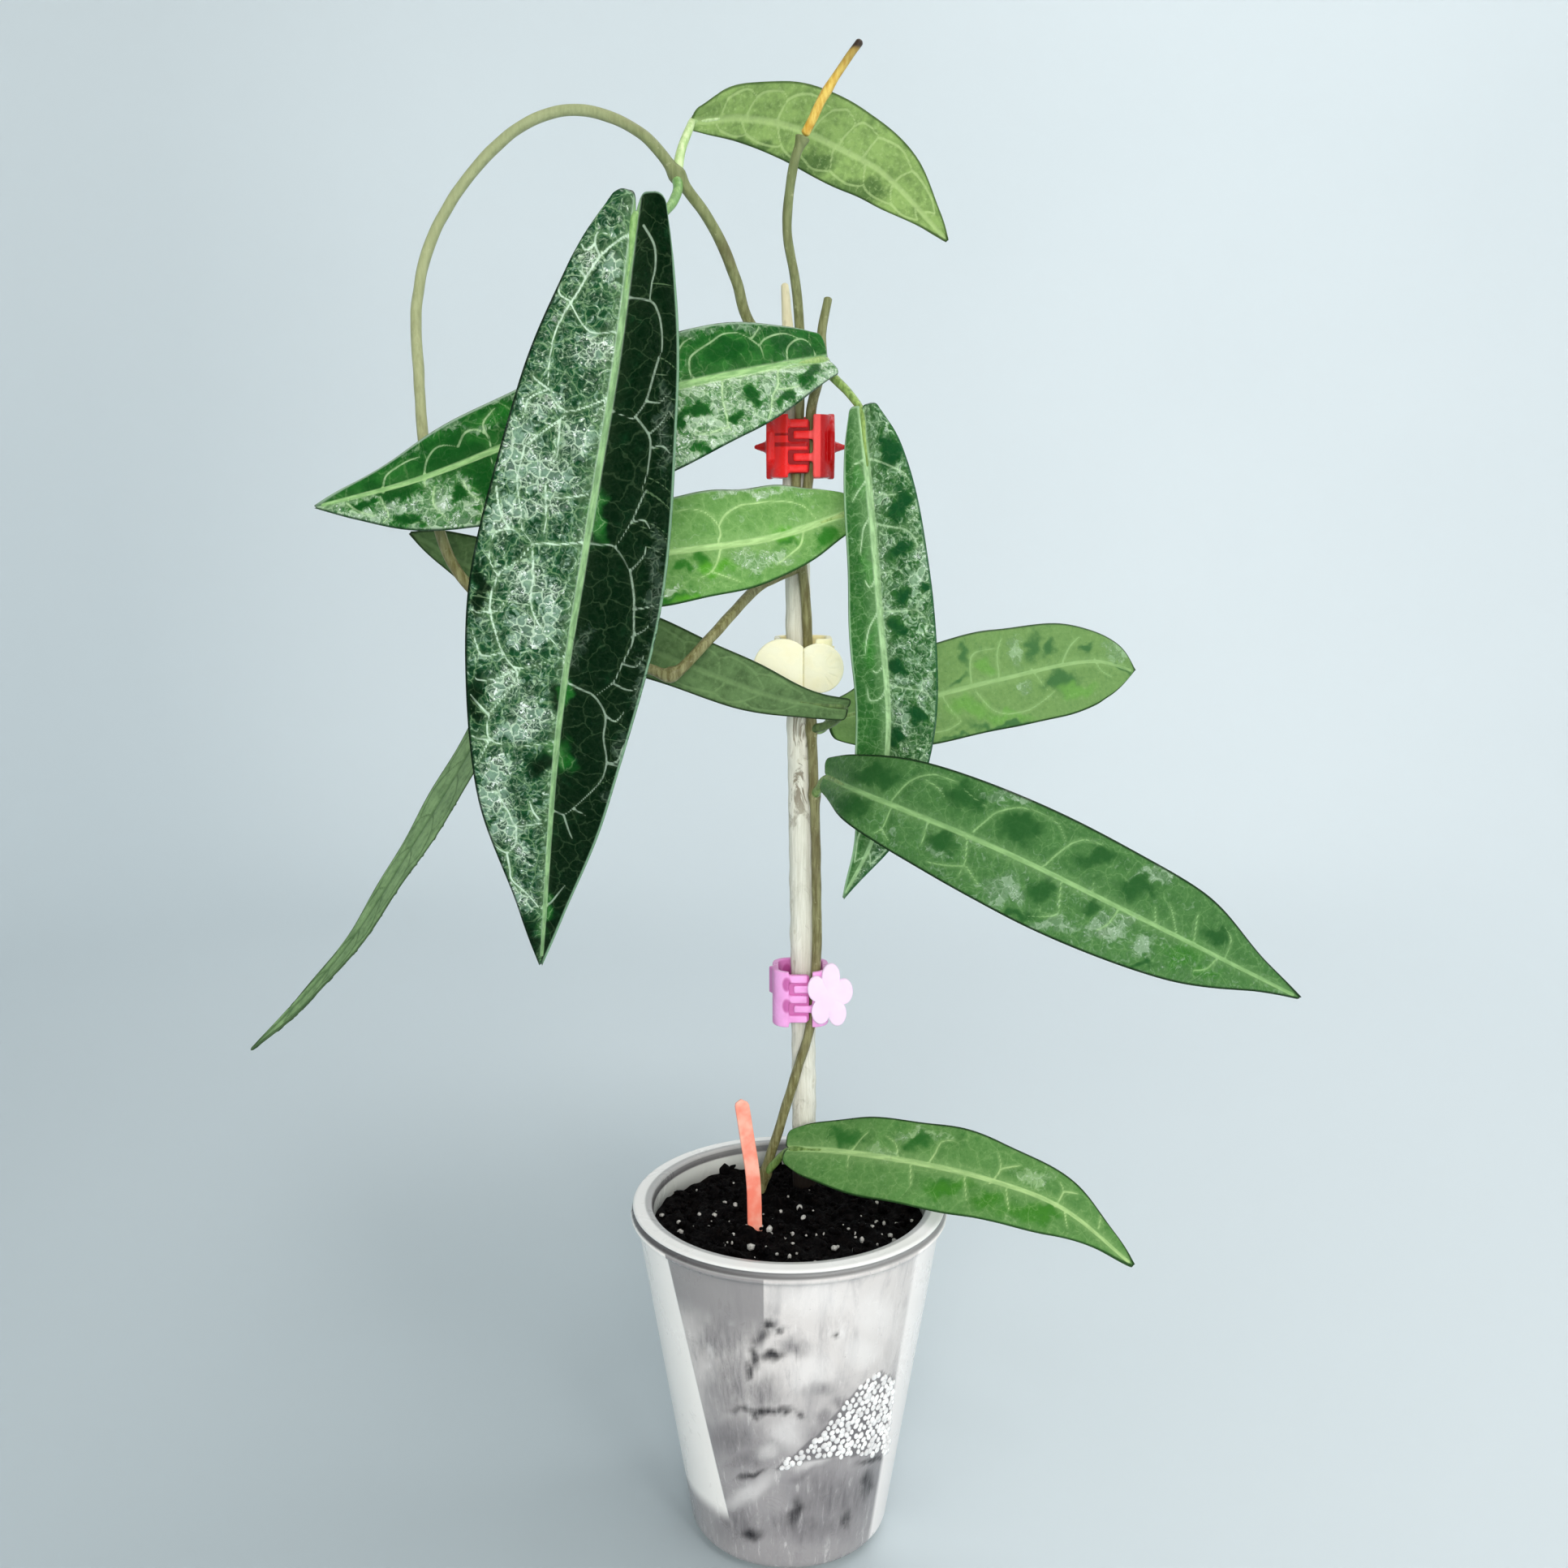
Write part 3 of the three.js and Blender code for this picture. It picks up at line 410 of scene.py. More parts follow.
# Materials. Every pattern sits on the piece, in object coordinates or in a blade's own place.
class Paint:
    """A node material, with short ways to add its nodes."""

    def __init__(self, name, space="3D", **values):
        self.material = bpy.data.materials.new(name)
        self.material.use_nodes = True
        self.tree = self.material.node_tree
        self.shader = self.tree.nodes["Principled BSDF"]
        self.space = space
        for socket, value in values.items():
            self.shader.inputs[socket.replace("_", " ")].default_value = value
        self._place = None

    def add(self, kind, inputs=(), **options):
        node = self.tree.nodes.new(kind)
        for option, value in options.items():
            setattr(node, option, value)
        for socket, value in dict(inputs).items():
            self.put(value, node.inputs[socket])
        return node

    def put(self, value, socket):
        if isinstance(value, bpy.types.NodeSocket):
            self.tree.links.new(value, socket)
        else:
            socket.default_value = value

    def set(self, socket, value):
        self.put(value, self.shader.inputs[socket])

    def place(self):
        """The place on the piece, in millimetres."""
        if self._place is None:
            coordinates = self.add("ShaderNodeTexCoord").outputs["Object"]
            scaled = self.add("ShaderNodeVectorMath", {0: coordinates, "Scale": 1 / MM}, operation="SCALE")
            self._place = scaled.outputs[0]
        return self._place

    def stretched(self, vector, scale):
        return self.add("ShaderNodeVectorMath", {0: vector, 1: scale}, operation="MULTIPLY").outputs[0]

    def attribute(self, name, output="Fac"):
        return self.add("ShaderNodeAttribute", attribute_name=name).outputs[output]

    def noise(self, vector, size, detail=3.0, roughness=0.5, distortion=0.0):
        """Noise whose lumps are about size millimetres across."""
        inputs = {"Vector": vector, "Scale": 1 / size, "Detail": detail, "Roughness": roughness}
        inputs["Distortion"] = distortion
        return self.add("ShaderNodeTexNoise", inputs, noise_dimensions=self.space).outputs["Fac"]

    def cells(self, vector, size, feature="F1", output="Distance"):
        inputs = {"Vector": vector, "Scale": 1 / size}
        node = self.add("ShaderNodeTexVoronoi", inputs, feature=feature, voronoi_dimensions=self.space)
        return node.outputs[output]

    def step(self, value, low, high, to_low=0.0, to_high=1.0):
        """A soft step of a value from one level to another."""
        inputs = {"Value": value, "From Min": low, "From Max": high, "To Min": to_low, "To Max": to_high}
        return self.add("ShaderNodeMapRange", inputs, interpolation_type="SMOOTHSTEP").outputs["Result"]

    def math(self, operation, first, second=0.0):
        return self.add("ShaderNodeMath", {0: first, 1: second}, operation=operation).outputs[0]

    def times(self, first, second):
        return self.math("MULTIPLY", first, second)

    def mix(self, share, first, second):
        node = self.add("ShaderNodeMix", data_type="RGBA")
        self.put(share, node.inputs[0])
        self.put(first, node.inputs[6])
        self.put(second, node.inputs[7])
        return node.outputs[2]

    def blend(self, share, first, second):
        """Between two numbers."""
        node = self.add("ShaderNodeMix", data_type="FLOAT")
        self.put(share, node.inputs[0])
        self.put(first, node.inputs[2])
        self.put(second, node.inputs[3])
        return node.outputs[0]

    def spot(self, values, centre, reach):
        """1 inside a soft ellipse round a centre, falling to 0 outside."""
        squares = []
        for value, middle, size in zip(values, centre, reach):
            share = self.math("DIVIDE", self.math("SUBTRACT", value, middle), size)
            squares.append(self.times(share, share))
        return self.step(self.math("ADD", *squares), 1.5, 0.4)

    def split(self, vector):
        return self.add("ShaderNodeSeparateXYZ", {0: vector}).outputs

    def bump(self, height, depth):
        """Relief of depth millimetres where height goes from 0 to 1."""
        inputs = {"Height": height, "Distance": depth * MM}
        self.set("Normal", self.add("ShaderNodeBump", inputs).outputs["Normal"])


# Leaves. Midrib, half-widths, facing, fold, lobe and petiole are the solids' own.
LEAVES = {
    "leaf_front": {
        "midrib": [
            (-36.5, -32, 362.5), (-40, -47, 328), (-47.5, -53, 284), (-55, -50, 243.5), (-63.5, -34, 179),
        ],
        "left": [7.5, 11, 16, 20, 14, 5],
        "right": [6.5, 14, 21, 25, 18, 6.5],
        "facing": [(0, -1, 0.1), (0, -1, -0.15)],
        "fold": 8, "lobe": 6, "bubbles": (0.05, 0.3),
        "petiole": [(-28.4, -5, 376.5), (-28, -9, 372), (-30, -18, 366), (-33.5, -26, 362)],
        "slot": "leaf_dark", "pucker": (0.3, 0.45), "midrib_width": 0.8, "vein_width": 0.23,
        "petiole_colors": (srgb(104, 150, 78), srgb(150, 190, 118)),
        "look": {
            "ground": srgb(23, 73, 40), "deep": srgb(3, 27, 8), "fresh": srgb(24, 96, 30),
            "vein": srgb(150, 188, 134), "silver": srgb(140, 176, 150), "under": srgb(112, 150, 96),
            "line": srgb(200, 226, 200),
            # On this leaf the near-black left half is in part painted shade, and the silver of the right half
            # is in part painted sheen.
            "silver_left": 0.0, "silver_right": 0.36, "deep_left": 1.0, "deep_right": 0.1,
            "haze": 0.6, "lace": 0.75, "wet": 0.9, "wrinkle": 1.0, "veins": (1.0, 0.55, 0.1, 0.42),
            # The pale margin colour here is painted sheen along that edge.
            "margin_left": srgb(128, 164, 134), "margin_right": srgb(14, 34, 20),
        },
    },
    "leaf_upper_left": {
        "midrib": [
            (9, 6, 332.5), (-2.5, -8, 329.5), (-28.5, -24, 323), (-54, -31, 314.5), (-90, -30, 301),
            (-118.5, -23, 294),
        ],
        "left": [5.5, 8.5, 16.5, 22, 16, 6],
        "right": [7, 10.5, 13, 12.5, 9.5, 3.5],
        "facing": [(0.15, -1, 0.25), (0, -1, 0.25)],
        "fold": 8, "lobe": 2.5, "bubbles": (0.12, 0.0),
        "petiole": [(8.6, 13, 331.5), (9.6, 10, 332.2)],
        "slot": "leaf_mid", "pucker": (0.5, 0.35), "ribs": 9, "midrib_width": 0.95, "vein_width": 0.24,
        "hidden": (0.31, 0.67), "petiole_colors": (srgb(120, 158, 76), srgb(172, 200, 122)),
        "look": {
            "ground": srgb(46, 116, 44), "deep": srgb(16, 76, 24), "fresh": srgb(30, 108, 34),
            "vein": srgb(168, 208, 140), "silver": srgb(182, 206, 176), "under": srgb(120, 160, 100),
            "line": srgb(190, 222, 168),
            "silver_left": 0.7, "silver_right": 0.12, "deep_left": 0.2, "deep_right": 0.6,
            "haze": 0.7, "lace": 0.5, "wet": 0.8, "wrinkle": 0.8, "veins": (0.9, 0.35, 0.06, 0.2),
            # The pale margin colour here is painted sheen along that edge.
            "margin_left": srgb(24, 60, 30), "margin_right": srgb(150, 174, 150),
        },
    },
    "leaf_middle": {
        "midrib": [(16, 9, 292.5), (-5, -5, 286), (-31.5, -19, 282.5), (-47.5, -23, 279.5), (-66, -25, 272)],
        "left": [5, 6.5, 10.5, 13.5, 13, 7],
        "right": [6, 10, 14, 14.5, 11.5, 4.5],
        "facing": [(0.1, -1, 0.35), (0, -1, 0.3)],
        "fold": 6, "lobe": 2,
        "petiole": [(3.2, 19.2, 285), (9.5, 18.5, 287), (15.5, 15, 291.5)],
        "slot": "leaf_light", "pucker": (0.35, 0.3), "ribs": 7, "midrib_width": 0.85, "vein_width": 0.26,
        "hidden": (0.64, 0.97), "petiole_colors": (srgb(120, 158, 76), srgb(172, 200, 122)),
        "look": {
            "ground": srgb(112, 158, 86), "deep": srgb(48, 116, 36), "fresh": srgb(84, 156, 44),
            "vein": srgb(186, 220, 150), "silver": srgb(168, 194, 156), "under": srgb(140, 176, 112),
            "silver_left": 0.12, "silver_right": 0.1, "deep_left": 0.12, "deep_right": 0.0,
            "haze": 0.7, "lace": 0.3, "wet": 0.6, "wrinkle": 0.45, "veins": (0.8, 0.25, 0.04, 0.12),
            # The pale margin colour here is painted sheen along that edge.
            "margin_left": srgb(34, 70, 32), "margin_right": srgb(146, 172, 140),
        },
    },
    "leaf_upright_right": {
        "midrib": [
            (19, 1, 318.5), (21, -4, 299), (24, -5, 267.5), (27, 1, 234.5), (24, 8, 204.5),
            (15.5, 13, 184.5),
        ],
        "left": [5, 10, 14, 14.5, 10, 3],
        "right": [3.5, 6, 7.5, 9, 8, 3],
        "facing": [(-0.25, -1, 0.1), (-0.2, -1, 0)],
        "fold": 10, "lobe": 2, "bubbles": (0.2, 0.0),
        "petiole": [(8.6, 13, 331.5), (12.5, 9.5, 327.5), (16, 5.5, 323.5)],
        "slot": "leaf_mid", "pucker": (0.6, 0.2), "ribs": 11, "midrib_width": 0.85, "vein_width": 0.24,
        "hidden": (0.77, 0.97), "petiole_colors": (srgb(96, 128, 54), srgb(158, 188, 104)),
        "look": {
            "ground": srgb(50, 102, 44), "deep": srgb(20, 74, 36), "fresh": srgb(44, 114, 36),
            "line": srgb(190, 222, 176),
            "vein": srgb(180, 220, 160), "silver": srgb(160, 196, 158), "under": srgb(112, 144, 100),
            "silver_left": 0.5, "silver_right": 0.0, "deep_left": 0.3, "deep_right": 0.0,
            "haze": 0.6, "lace": 0.6, "wet": 0.9, "wrinkle": 0.9, "veins": (0.75, 0.3, 0.06, 0.16),
            # The pale margin colour here is painted sheen along that edge.
            "margin_left": srgb(44, 92, 56), "margin_right": srgb(150, 186, 146),
        },
    },
    "leaf_right_rear": {
        "midrib": [(12.5, 27, 234), (45.5, 42, 239.5), (63.5, 49, 243), (94, 59, 247.5), (107, 63, 244)],
        "left": [5, 7, 14, 15.5, 13, 7],
        "right": [6.5, 10.5, 14, 15, 15.5, 10.5],
        "facing": [(0, -1, 0.35), (0.1, -1, 0.3)],
        "fold": 5, "lobe": 2,
        "petiole": [(6.4, 20.5, 232), (9.2, 23, 231.6)],
        "slot": "leaf_light", "pucker": (0.3, 0.3), "ribs": 7, "midrib_width": 0.7, "vein_width": 0.26,
        "hidden": (0.0, 0.4), "petiole_colors": (srgb(84, 118, 50), srgb(140, 172, 96)),
        "look": {
            "ground": srgb(112, 148, 86), "deep": srgb(66, 110, 62), "fresh": srgb(104, 154, 74),
            "vein": srgb(160, 196, 132), "silver": srgb(150, 182, 140), "under": srgb(136, 172, 112),
            "silver_left": 0.0, "silver_right": 0.0, "deep_left": 0.0, "deep_right": 0.0,
            "haze": 0.6, "lace": 0.1, "wet": 0.15, "wrinkle": 0.25, "veins": (0.5, 0.12, 0.02, 0.05),
            "margin_left": srgb(60, 84, 56), "margin_right": srgb(34, 62, 32),
        },
    },
    "leaf_lower_right": {
        "midrib": [
            (11, 9, 220), (19, -8, 219), (31.5, -18, 215.5), (55.5, -29, 207), (88.5, -34, 191.5),
            (133, -28, 168),
        ],
        "left": [5.5, 9, 14, 15, 13, 4.5],
        "right": [5, 7.5, 12, 15, 11.5, 3.5],
        "facing": [(-0.1, -1, 0.12), (0.1, -1, 0.3)],
        "fold": 5, "lobe": 3,
        "petiole": [(7.4, 21, 213), (8.6, 17, 215.5), (9.8, 13, 218.5)],
        "slot": "leaf_mid", "pucker": (0.4, 0.4), "ribs": 8, "midrib_width": 0.62, "vein_width": 0.22,
        "petiole_colors": (srgb(84, 118, 50), srgb(140, 172, 96)),
        "look": {
            "ground": srgb(72, 116, 62), "deep": srgb(40, 86, 40), "fresh": srgb(54, 112, 40),
            "vein": srgb(150, 190, 126), "silver": srgb(138, 166, 134), "under": srgb(120, 154, 102),
            "silver_left": 0.12, "silver_right": 0.24, "deep_left": 0.12, "deep_right": 0.05,
            "haze": 0.7, "lace": 0.14, "wet": 0.25, "wrinkle": 0.35, "veins": (0.7, 0.2, 0.04, 0.14),
            "margin_left": srgb(24, 44, 26), "margin_right": srgb(20, 40, 22),
        },
    },
    "leaf_bottom_right": {
        "midrib": [
            (0.5, 14, 108.5), (14, 5, 111.5), (34.5, -6, 113), (54.5, -14, 111.5), (74, -20, 106),
            (93, -26, 92),
        ],
        "left": [5.5, 8.5, 11, 12, 8.5, 4],
        "right": [5, 9, 12.5, 12.5, 9.5, 3],
        "facing": [(-0.2, -0.8, 0.75), (0.4, -0.8, 0.5)],
        "fold": 6, "lobe": 2,
        "petiole": [(-7.4, 22.8, 97), (-4.6, 20.8, 100.5), (-1.8, 17.6, 105)],
        "slot": "leaf_mid", "pucker": (0.4, 0.4), "ribs": 8, "midrib_width": 0.75, "vein_width": 0.24,
        "petiole_colors": (srgb(84, 118, 50), srgb(140, 172, 96)),
        "look": {
            "ground": srgb(90, 134, 72), "deep": srgb(46, 100, 42), "fresh": srgb(60, 120, 38),
            "vein": srgb(176, 208, 140), "silver": srgb(150, 182, 130), "under": srgb(124, 158, 100),
            "silver_left": 0.0, "silver_right": 0.05, "deep_left": 0.1, "deep_right": 0.0,
            "haze": 0.6, "lace": 0.15, "wet": 0.2, "wrinkle": 0.3, "veins": (0.7, 0.18, 0.03, 0.12),
            "margin_left": srgb(30, 56, 28), "margin_right": srgb(34, 66, 32),
        },
    },
    "leaf_top_right": {
        "midrib": [
            (-24, 2, 391), (-12, 14, 394.5), (1, 22, 394), (14.5, 28, 389.5), (25.5, 32, 384.5),
            (44, 35, 367),
        ],
        "left": [4, 6.5, 10, 12, 9, 4],
        "right": [2.5, 4, 7, 9.5, 8, 2.5],
        "facing": [(0.1, -1, -0.55), (0.3, -1, -0.2)],
        "fold": 5, "lobe": 1.5,
        "petiole": [(-28.4, -5, 376.5), (-27.5, -4, 382), (-25.4, -1, 388.5)],
        "slot": "leaf_light", "pucker": (0.2, 0.2), "ribs": 8, "midrib_width": 0.6, "vein_width": 0.22,
        "underside_shows": True, "petiole_colors": (srgb(168, 200, 126), srgb(214, 232, 178)),
        "look": {
            "ground": srgb(60, 104, 50), "deep": srgb(34, 72, 34), "fresh": srgb(70, 120, 50),
            "vein": srgb(186, 210, 144), "silver": srgb(140, 170, 120), "under": srgb(142, 172, 100),
            "silver_left": 0.05, "silver_right": 0.05, "deep_left": 0.2, "deep_right": 0.2,
            "haze": 0.5, "lace": 0.1, "wet": 0.1, "wrinkle": 0.2, "veins": (0.45, 0.15, 0.03, 0.15),
            "margin_left": srgb(52, 76, 40), "margin_right": srgb(52, 76, 40),
        },
    },
    "leaf_dark_middle": {
        "midrib": [
            (15, 6, 240), (-2.5, -1, 243.5), (-20, -4, 250), (-37, -6, 257), (-62.5, -6, 267.5),
            (-84, -4, 278.5), (-100, -2, 287.5),
        ],
        "left": [3.5, 4.5, 6.5, 8, 7, 3.5],
        "right": [3, 4, 8, 9.5, 11.5, 6],
        "facing": [(0.1, -1, -0.3), (0.1, -1, -0.2)],
        "fold": 4, "lobe": 1.5,
        "petiole": [(6.4, 20.5, 232), (10.5, 17, 233.5), (14.5, 12, 237)],
        "slot": "leaf_dark", "pucker": (0.25, 0.25), "ribs": 9, "midrib_width": 0.5, "vein_width": 0.22,
        "underside_shows": True, "petiole_colors": (srgb(60, 84, 40), srgb(104, 130, 72)),
        "look": {
            "ground": srgb(40, 72, 38), "deep": srgb(18, 40, 20), "fresh": srgb(46, 84, 40),
            "vein": srgb(126, 156, 104), "silver": srgb(110, 136, 100), "under": srgb(97, 126, 80),
            "silver_left": 0.05, "silver_right": 0.05, "deep_left": 0.3, "deep_right": 0.3,
            "haze": 0.5, "lace": 0.1, "wet": 0.1, "wrinkle": 0.2, "veins": (0.35, 0.12, 0.03, 0.15),
            "margin_left": srgb(20, 34, 20), "margin_right": srgb(20, 34, 20),
        },
    },
    "leaf_lower_left": {
        "midrib": [
            (-74, -15.5, 248), (-84, -22, 229), (-94.5, -28, 211.5), (-111, -34, 186), (-121, -36, 174),
            (-138, -37, 157),
        ],
        "left": [6, 10, 13, 9, 5.5, 2.5],
        "right": [5, 8.5, 9, 6, 3, 1.5],
        "facing": [(-0.74, -0.4, 0.5), (-0.7, -0.45, 0.5)],
        "fold": 4, "lobe": 1.5,
        "petiole": [(-66, -13, 259.5), (-69.5, -13.5, 256), (-72.5, -14.5, 251.5)],
        "slot": "leaf_light", "pucker": (0.12, 0.12), "ribs": 8, "midrib_width": 0.5, "vein_width": 0.22,
        "underside_shows": True, "wave": 0.25, "petiole_colors": (srgb(110, 136, 80), srgb(150, 176, 116)),
        "look": {
            "ground": srgb(84, 120, 76), "deep": srgb(48, 84, 50), "fresh": srgb(90, 130, 70),
            "vein": srgb(52, 84, 48), "silver": srgb(150, 172, 140), "under": srgb(134, 166, 116),
            "silver_left": 0.05, "silver_right": 0.05, "deep_left": 0.2, "deep_right": 0.2,
            "haze": 0.5, "lace": 0.1, "wet": 0.1, "wrinkle": 0.2, "veins": (0.5, 0.15, 0.03, 0.15),
            "margin_left": srgb(40, 62, 38), "margin_right": srgb(40, 62, 38),
        },
    },
}

# Veins of the leaves that face the viewer, as pixels of the photograph, read off.
VEINS_PX = {
    "leaf_front": [
        [(775, 292), (740, 317), (704, 371), (685, 408), (677, 449), (677, 480)],
        [(758, 410), (726, 408), (704, 374)],
        [(740, 317), (733, 302), (738, 286), (752, 292)],
        [(733, 302), (722, 310), (716, 300)],
        [(722, 340), (712, 333)],
        [(704, 371), (690, 362), (686, 348)],
        [(747, 492), (697, 508), (676, 480)],
        [(697, 511), (652, 545), (644, 562), (637, 589), (641, 630), (644, 652), (657, 671)],
        [(690, 520), (685, 560), (676, 575)],
        [(676, 480), (652, 492), (646, 512), (630, 520)],
        [(676, 480), (660, 468), (655, 460)],
        [(612, 600), (616, 630), (628, 650), (644, 652)],
        [(628, 650), (612, 654), (603, 668), (604, 690), (613, 708)],
        [(726, 608), (700, 612), (672, 614)],
        [(672, 600), (674, 640), (669, 662)],
        [(719, 667), (690, 670), (657, 671), (640, 690), (613, 708)],
        [(617, 706), (607, 728), (603, 751), (609, 778), (619, 805), (641, 823), (697, 807)],
        [(602, 753), (612, 752), (624, 740)],
        [(602, 753), (590, 753), (580, 750)],
        [(655, 680), (656, 710), (654, 745), (668, 775), (690, 798)],
        [(641, 823), (630, 845), (610, 870), (603, 882), (603, 910), (641, 920), (686, 914)],
        [(619, 805), (596, 808), (588, 792), (583, 775)],
        [(636, 826), (612, 836), (592, 838), (584, 834)],
        [(603, 882), (588, 866), (580, 856)],
        [(603, 910), (595, 925), (591, 938)],
        [(606, 912), (588, 908), (580, 906)],
        [(667, 1014), (636, 1016), (627, 1000), (612, 975)],
        [(664, 1010), (656, 998), (652, 988)],
        [(636, 1016), (635, 1040), (623, 1050), (600, 1044)],
        [(625, 1050), (628, 1070), (631, 1084), (648, 1100), (664, 1118)],
        [(600, 1044), (590, 1030), (592, 1018)],
        [(769, 367), (801, 372), (810, 385), (815, 403), (815, 430), (812, 440)],
        [(793, 278), (806, 300), (808, 330), (803, 350), (801, 372)],
        [(812, 440), (806, 462), (796, 496), (783, 514), (776, 515), (754, 507)],
        [(783, 514), (800, 536), (802, 555), (797, 586), (790, 604)],
        [(796, 496), (812, 497), (820, 490)],
        [(800, 536), (814, 522), (824, 508)],
        [(802, 552), (815, 550), (826, 560)],
        [(797, 604), (792, 612), (778, 645), (757, 675)],
        [(778, 645), (794, 641), (800, 650)],
        [(721, 667), (740, 672), (757, 675), (777, 705)],
        [(777, 705), (793, 686), (797, 672)],
        [(777, 705), (781, 735), (781, 760), (779, 790), (767, 818), (755, 842), (732, 858)],
        [(781, 752), (797, 750), (806, 745)],
        [(779, 785), (793, 776), (800, 770)],
        [(767, 818), (784, 820), (793, 808)],
        [(755, 842), (775, 850), (785, 848)],
        [
            (697, 839), (715, 848), (732, 858), (745, 882), (744, 910), (747, 940), (737, 966), (706, 996),
            (695, 1003),
        ],
        [(745, 882), (758, 888), (770, 876)],
        [(747, 940), (760, 938), (768, 920), (776, 905)],
        [(747, 940), (762, 944), (772, 940)],
        [(695, 1003), (678, 997)],
        [(695, 1003), (700, 1022), (705, 1034)],
        [(706, 996), (722, 1004)],
        [(667, 1118), (680, 1110), (696, 1090)],
    ],
    "leaf_upper_left": [
        [(860, 475), (851, 459), (849, 444), (856, 434), (875, 422), (890, 412), (908, 411), (922, 417)],
        [(922, 417), (935, 427), (940, 438), (943, 448)],
        [(925, 417), (930, 412), (935, 403)],
        [(937, 425), (942, 418), (956, 412), (969, 412), (983, 417)],
        [(969, 443), (970, 428), (983, 418), (996, 422), (1004, 438)],
        [(830, 460), (832, 440), (841, 424), (852, 416)],
        [(889, 471), (890, 492), (894, 511), (898, 526), (906, 535)],
        [(898, 526), (884, 531), (866, 534), (849, 529)],
        [(959, 454), (957, 462), (959, 475), (951, 489), (950, 505), (946, 518)],
        [(959, 480), (973, 478), (986, 476)],
        [(472, 608), (474, 594), (479, 584), (499, 570), (517, 563)],
        [(523, 600), (524, 582), (527, 567), (536, 554), (548, 549), (564, 551)],
        [(564, 551), (572, 534), (588, 530), (602, 539), (605, 556), (607, 575)],
        [(602, 539), (595, 522), (610, 503)],
        [(428, 620), (441, 629), (461, 636)],
        [(469, 612), (474, 624), (479, 636), (472, 644)],
        [(536, 600), (534, 619), (543, 629), (553, 641)],
        [(571, 593), (579, 606), (593, 620), (593, 644)],
    ],
    "leaf_middle": [
        [(885, 668), (887, 656), (882, 643), (867, 632), (850, 628), (828, 632)],
        [(886, 646), (895, 632), (914, 623), (932, 620), (951, 618), (975, 619), (992, 625), (1005, 640)],
        [(888, 670), (884, 690), (877, 705), (864, 712)],
        [(877, 705), (897, 712), (912, 716)],
        [(990, 653), (986, 671), (973, 684), (958, 695)],
    ],
    "leaf_upright_right": [
        [(1053, 573), (1069, 568), (1084, 570), (1101, 576), (1113, 582), (1119, 590)],
        [(1079, 608), (1092, 609), (1105, 607), (1116, 600)],
        [(1081, 646), (1099, 650), (1116, 653), (1127, 665), (1133, 680), (1142, 686)],
        [(1118, 645), (1130, 634), (1135, 625)],
        [(1127, 665), (1135, 660)],
        [(1131, 674), (1141, 668)],
        [(1086, 705), (1096, 704), (1105, 697)],
        [(1068, 591), (1058, 605), (1051, 618)],
        [(1073, 636), (1065, 650), (1062, 666), (1060, 683)],
        [(1081, 709), (1072, 723), (1066, 715)],
        [(1084, 751), (1072, 772), (1068, 792), (1066, 807)],
        [(1089, 820), (1081, 829), (1075, 826)],
        [(1092, 849), (1084, 860), (1072, 862), (1068, 847)],
        [(1090, 753), (1112, 753), (1127, 751), (1142, 764), (1138, 786)],
        [(1127, 751), (1135, 738), (1148, 729)],
        [(1096, 843), (1115, 848), (1135, 850), (1147, 861), (1148, 881)],
        [(1135, 849), (1141, 839), (1148, 829)],
    ],
    "leaf_right_rear": [
        [(1231, 833), (1228, 807), (1234, 786)],
        [(1197, 843), (1196, 812), (1208, 801), (1228, 800)],
        [(1202, 853), (1226, 877), (1260, 877), (1286, 864), (1300, 850)],
        [(1270, 825), (1290, 850)],
        [(1309, 816), (1318, 796), (1330, 785)],
        [(1348, 812), (1356, 826), (1370, 834)],
    ],
    "leaf_lower_right": [
        [(1099, 987), (1117, 967), (1134, 957), (1153, 955), (1167, 959), (1182, 965)],
        [(1142, 961), (1155, 970), (1164, 982)],
        [(1188, 972), (1200, 984), (1215, 992)],
        [
            (1198, 1026), (1217, 1009), (1229, 1001), (1248, 996), (1264, 996), (1285, 1003), (1305, 1017),
            (1314, 1036),
        ],
        [(1287, 1068), (1303, 1052), (1316, 1042), (1323, 1037), (1339, 1035), (1358, 1041)],
        [(1099, 991), (1093, 1011), (1086, 1021), (1076, 1028)],
        [(1086, 1021), (1095, 1036)],
        [(1144, 1013), (1138, 1031), (1136, 1043)],
        [(1192, 1031), (1190, 1052), (1188, 1067), (1181, 1079)],
        [(1188, 1067), (1163, 1066), (1142, 1062)],
        [(1190, 1067), (1198, 1079), (1206, 1091)],
        [(1307, 1087), (1305, 1106), (1302, 1125), (1285, 1130), (1266, 1129)],
        [(1345, 1103), (1348, 1088)],
        [(1377, 1121), (1366, 1138), (1352, 1146)],
        [(1449, 1152), (1445, 1126), (1441, 1113)],
        [(1424, 1141), (1422, 1117)],
        [(1471, 1163), (1474, 1138), (1476, 1124)],
        [(1507, 1182), (1517, 1159), (1509, 1142)],
        [(1498, 1182), (1486, 1194), (1469, 1196)],
    ],
    "leaf_bottom_right": [
        [(1143, 1436), (1152, 1422), (1161, 1407), (1176, 1406)],
        [(1049, 1420), (1061, 1404), (1071, 1394)],
        [(1219, 1459), (1233, 1441), (1230, 1422)],
        [(1233, 1441), (1258, 1436)],
        [(1300, 1487), (1310, 1469), (1305, 1457)],
        [(1310, 1469), (1327, 1471)],
        [(1353, 1514), (1358, 1494)],
        [(1046, 1423), (1044, 1438)],
        [(1122, 1435), (1122, 1460)],
        [(1189, 1450), (1190, 1479)],
        [(1239, 1466), (1243, 1491)],
        [(1312, 1494), (1315, 1513)],
        [(1106, 1430), (1105, 1411), (1093, 1401)],
    ],
}

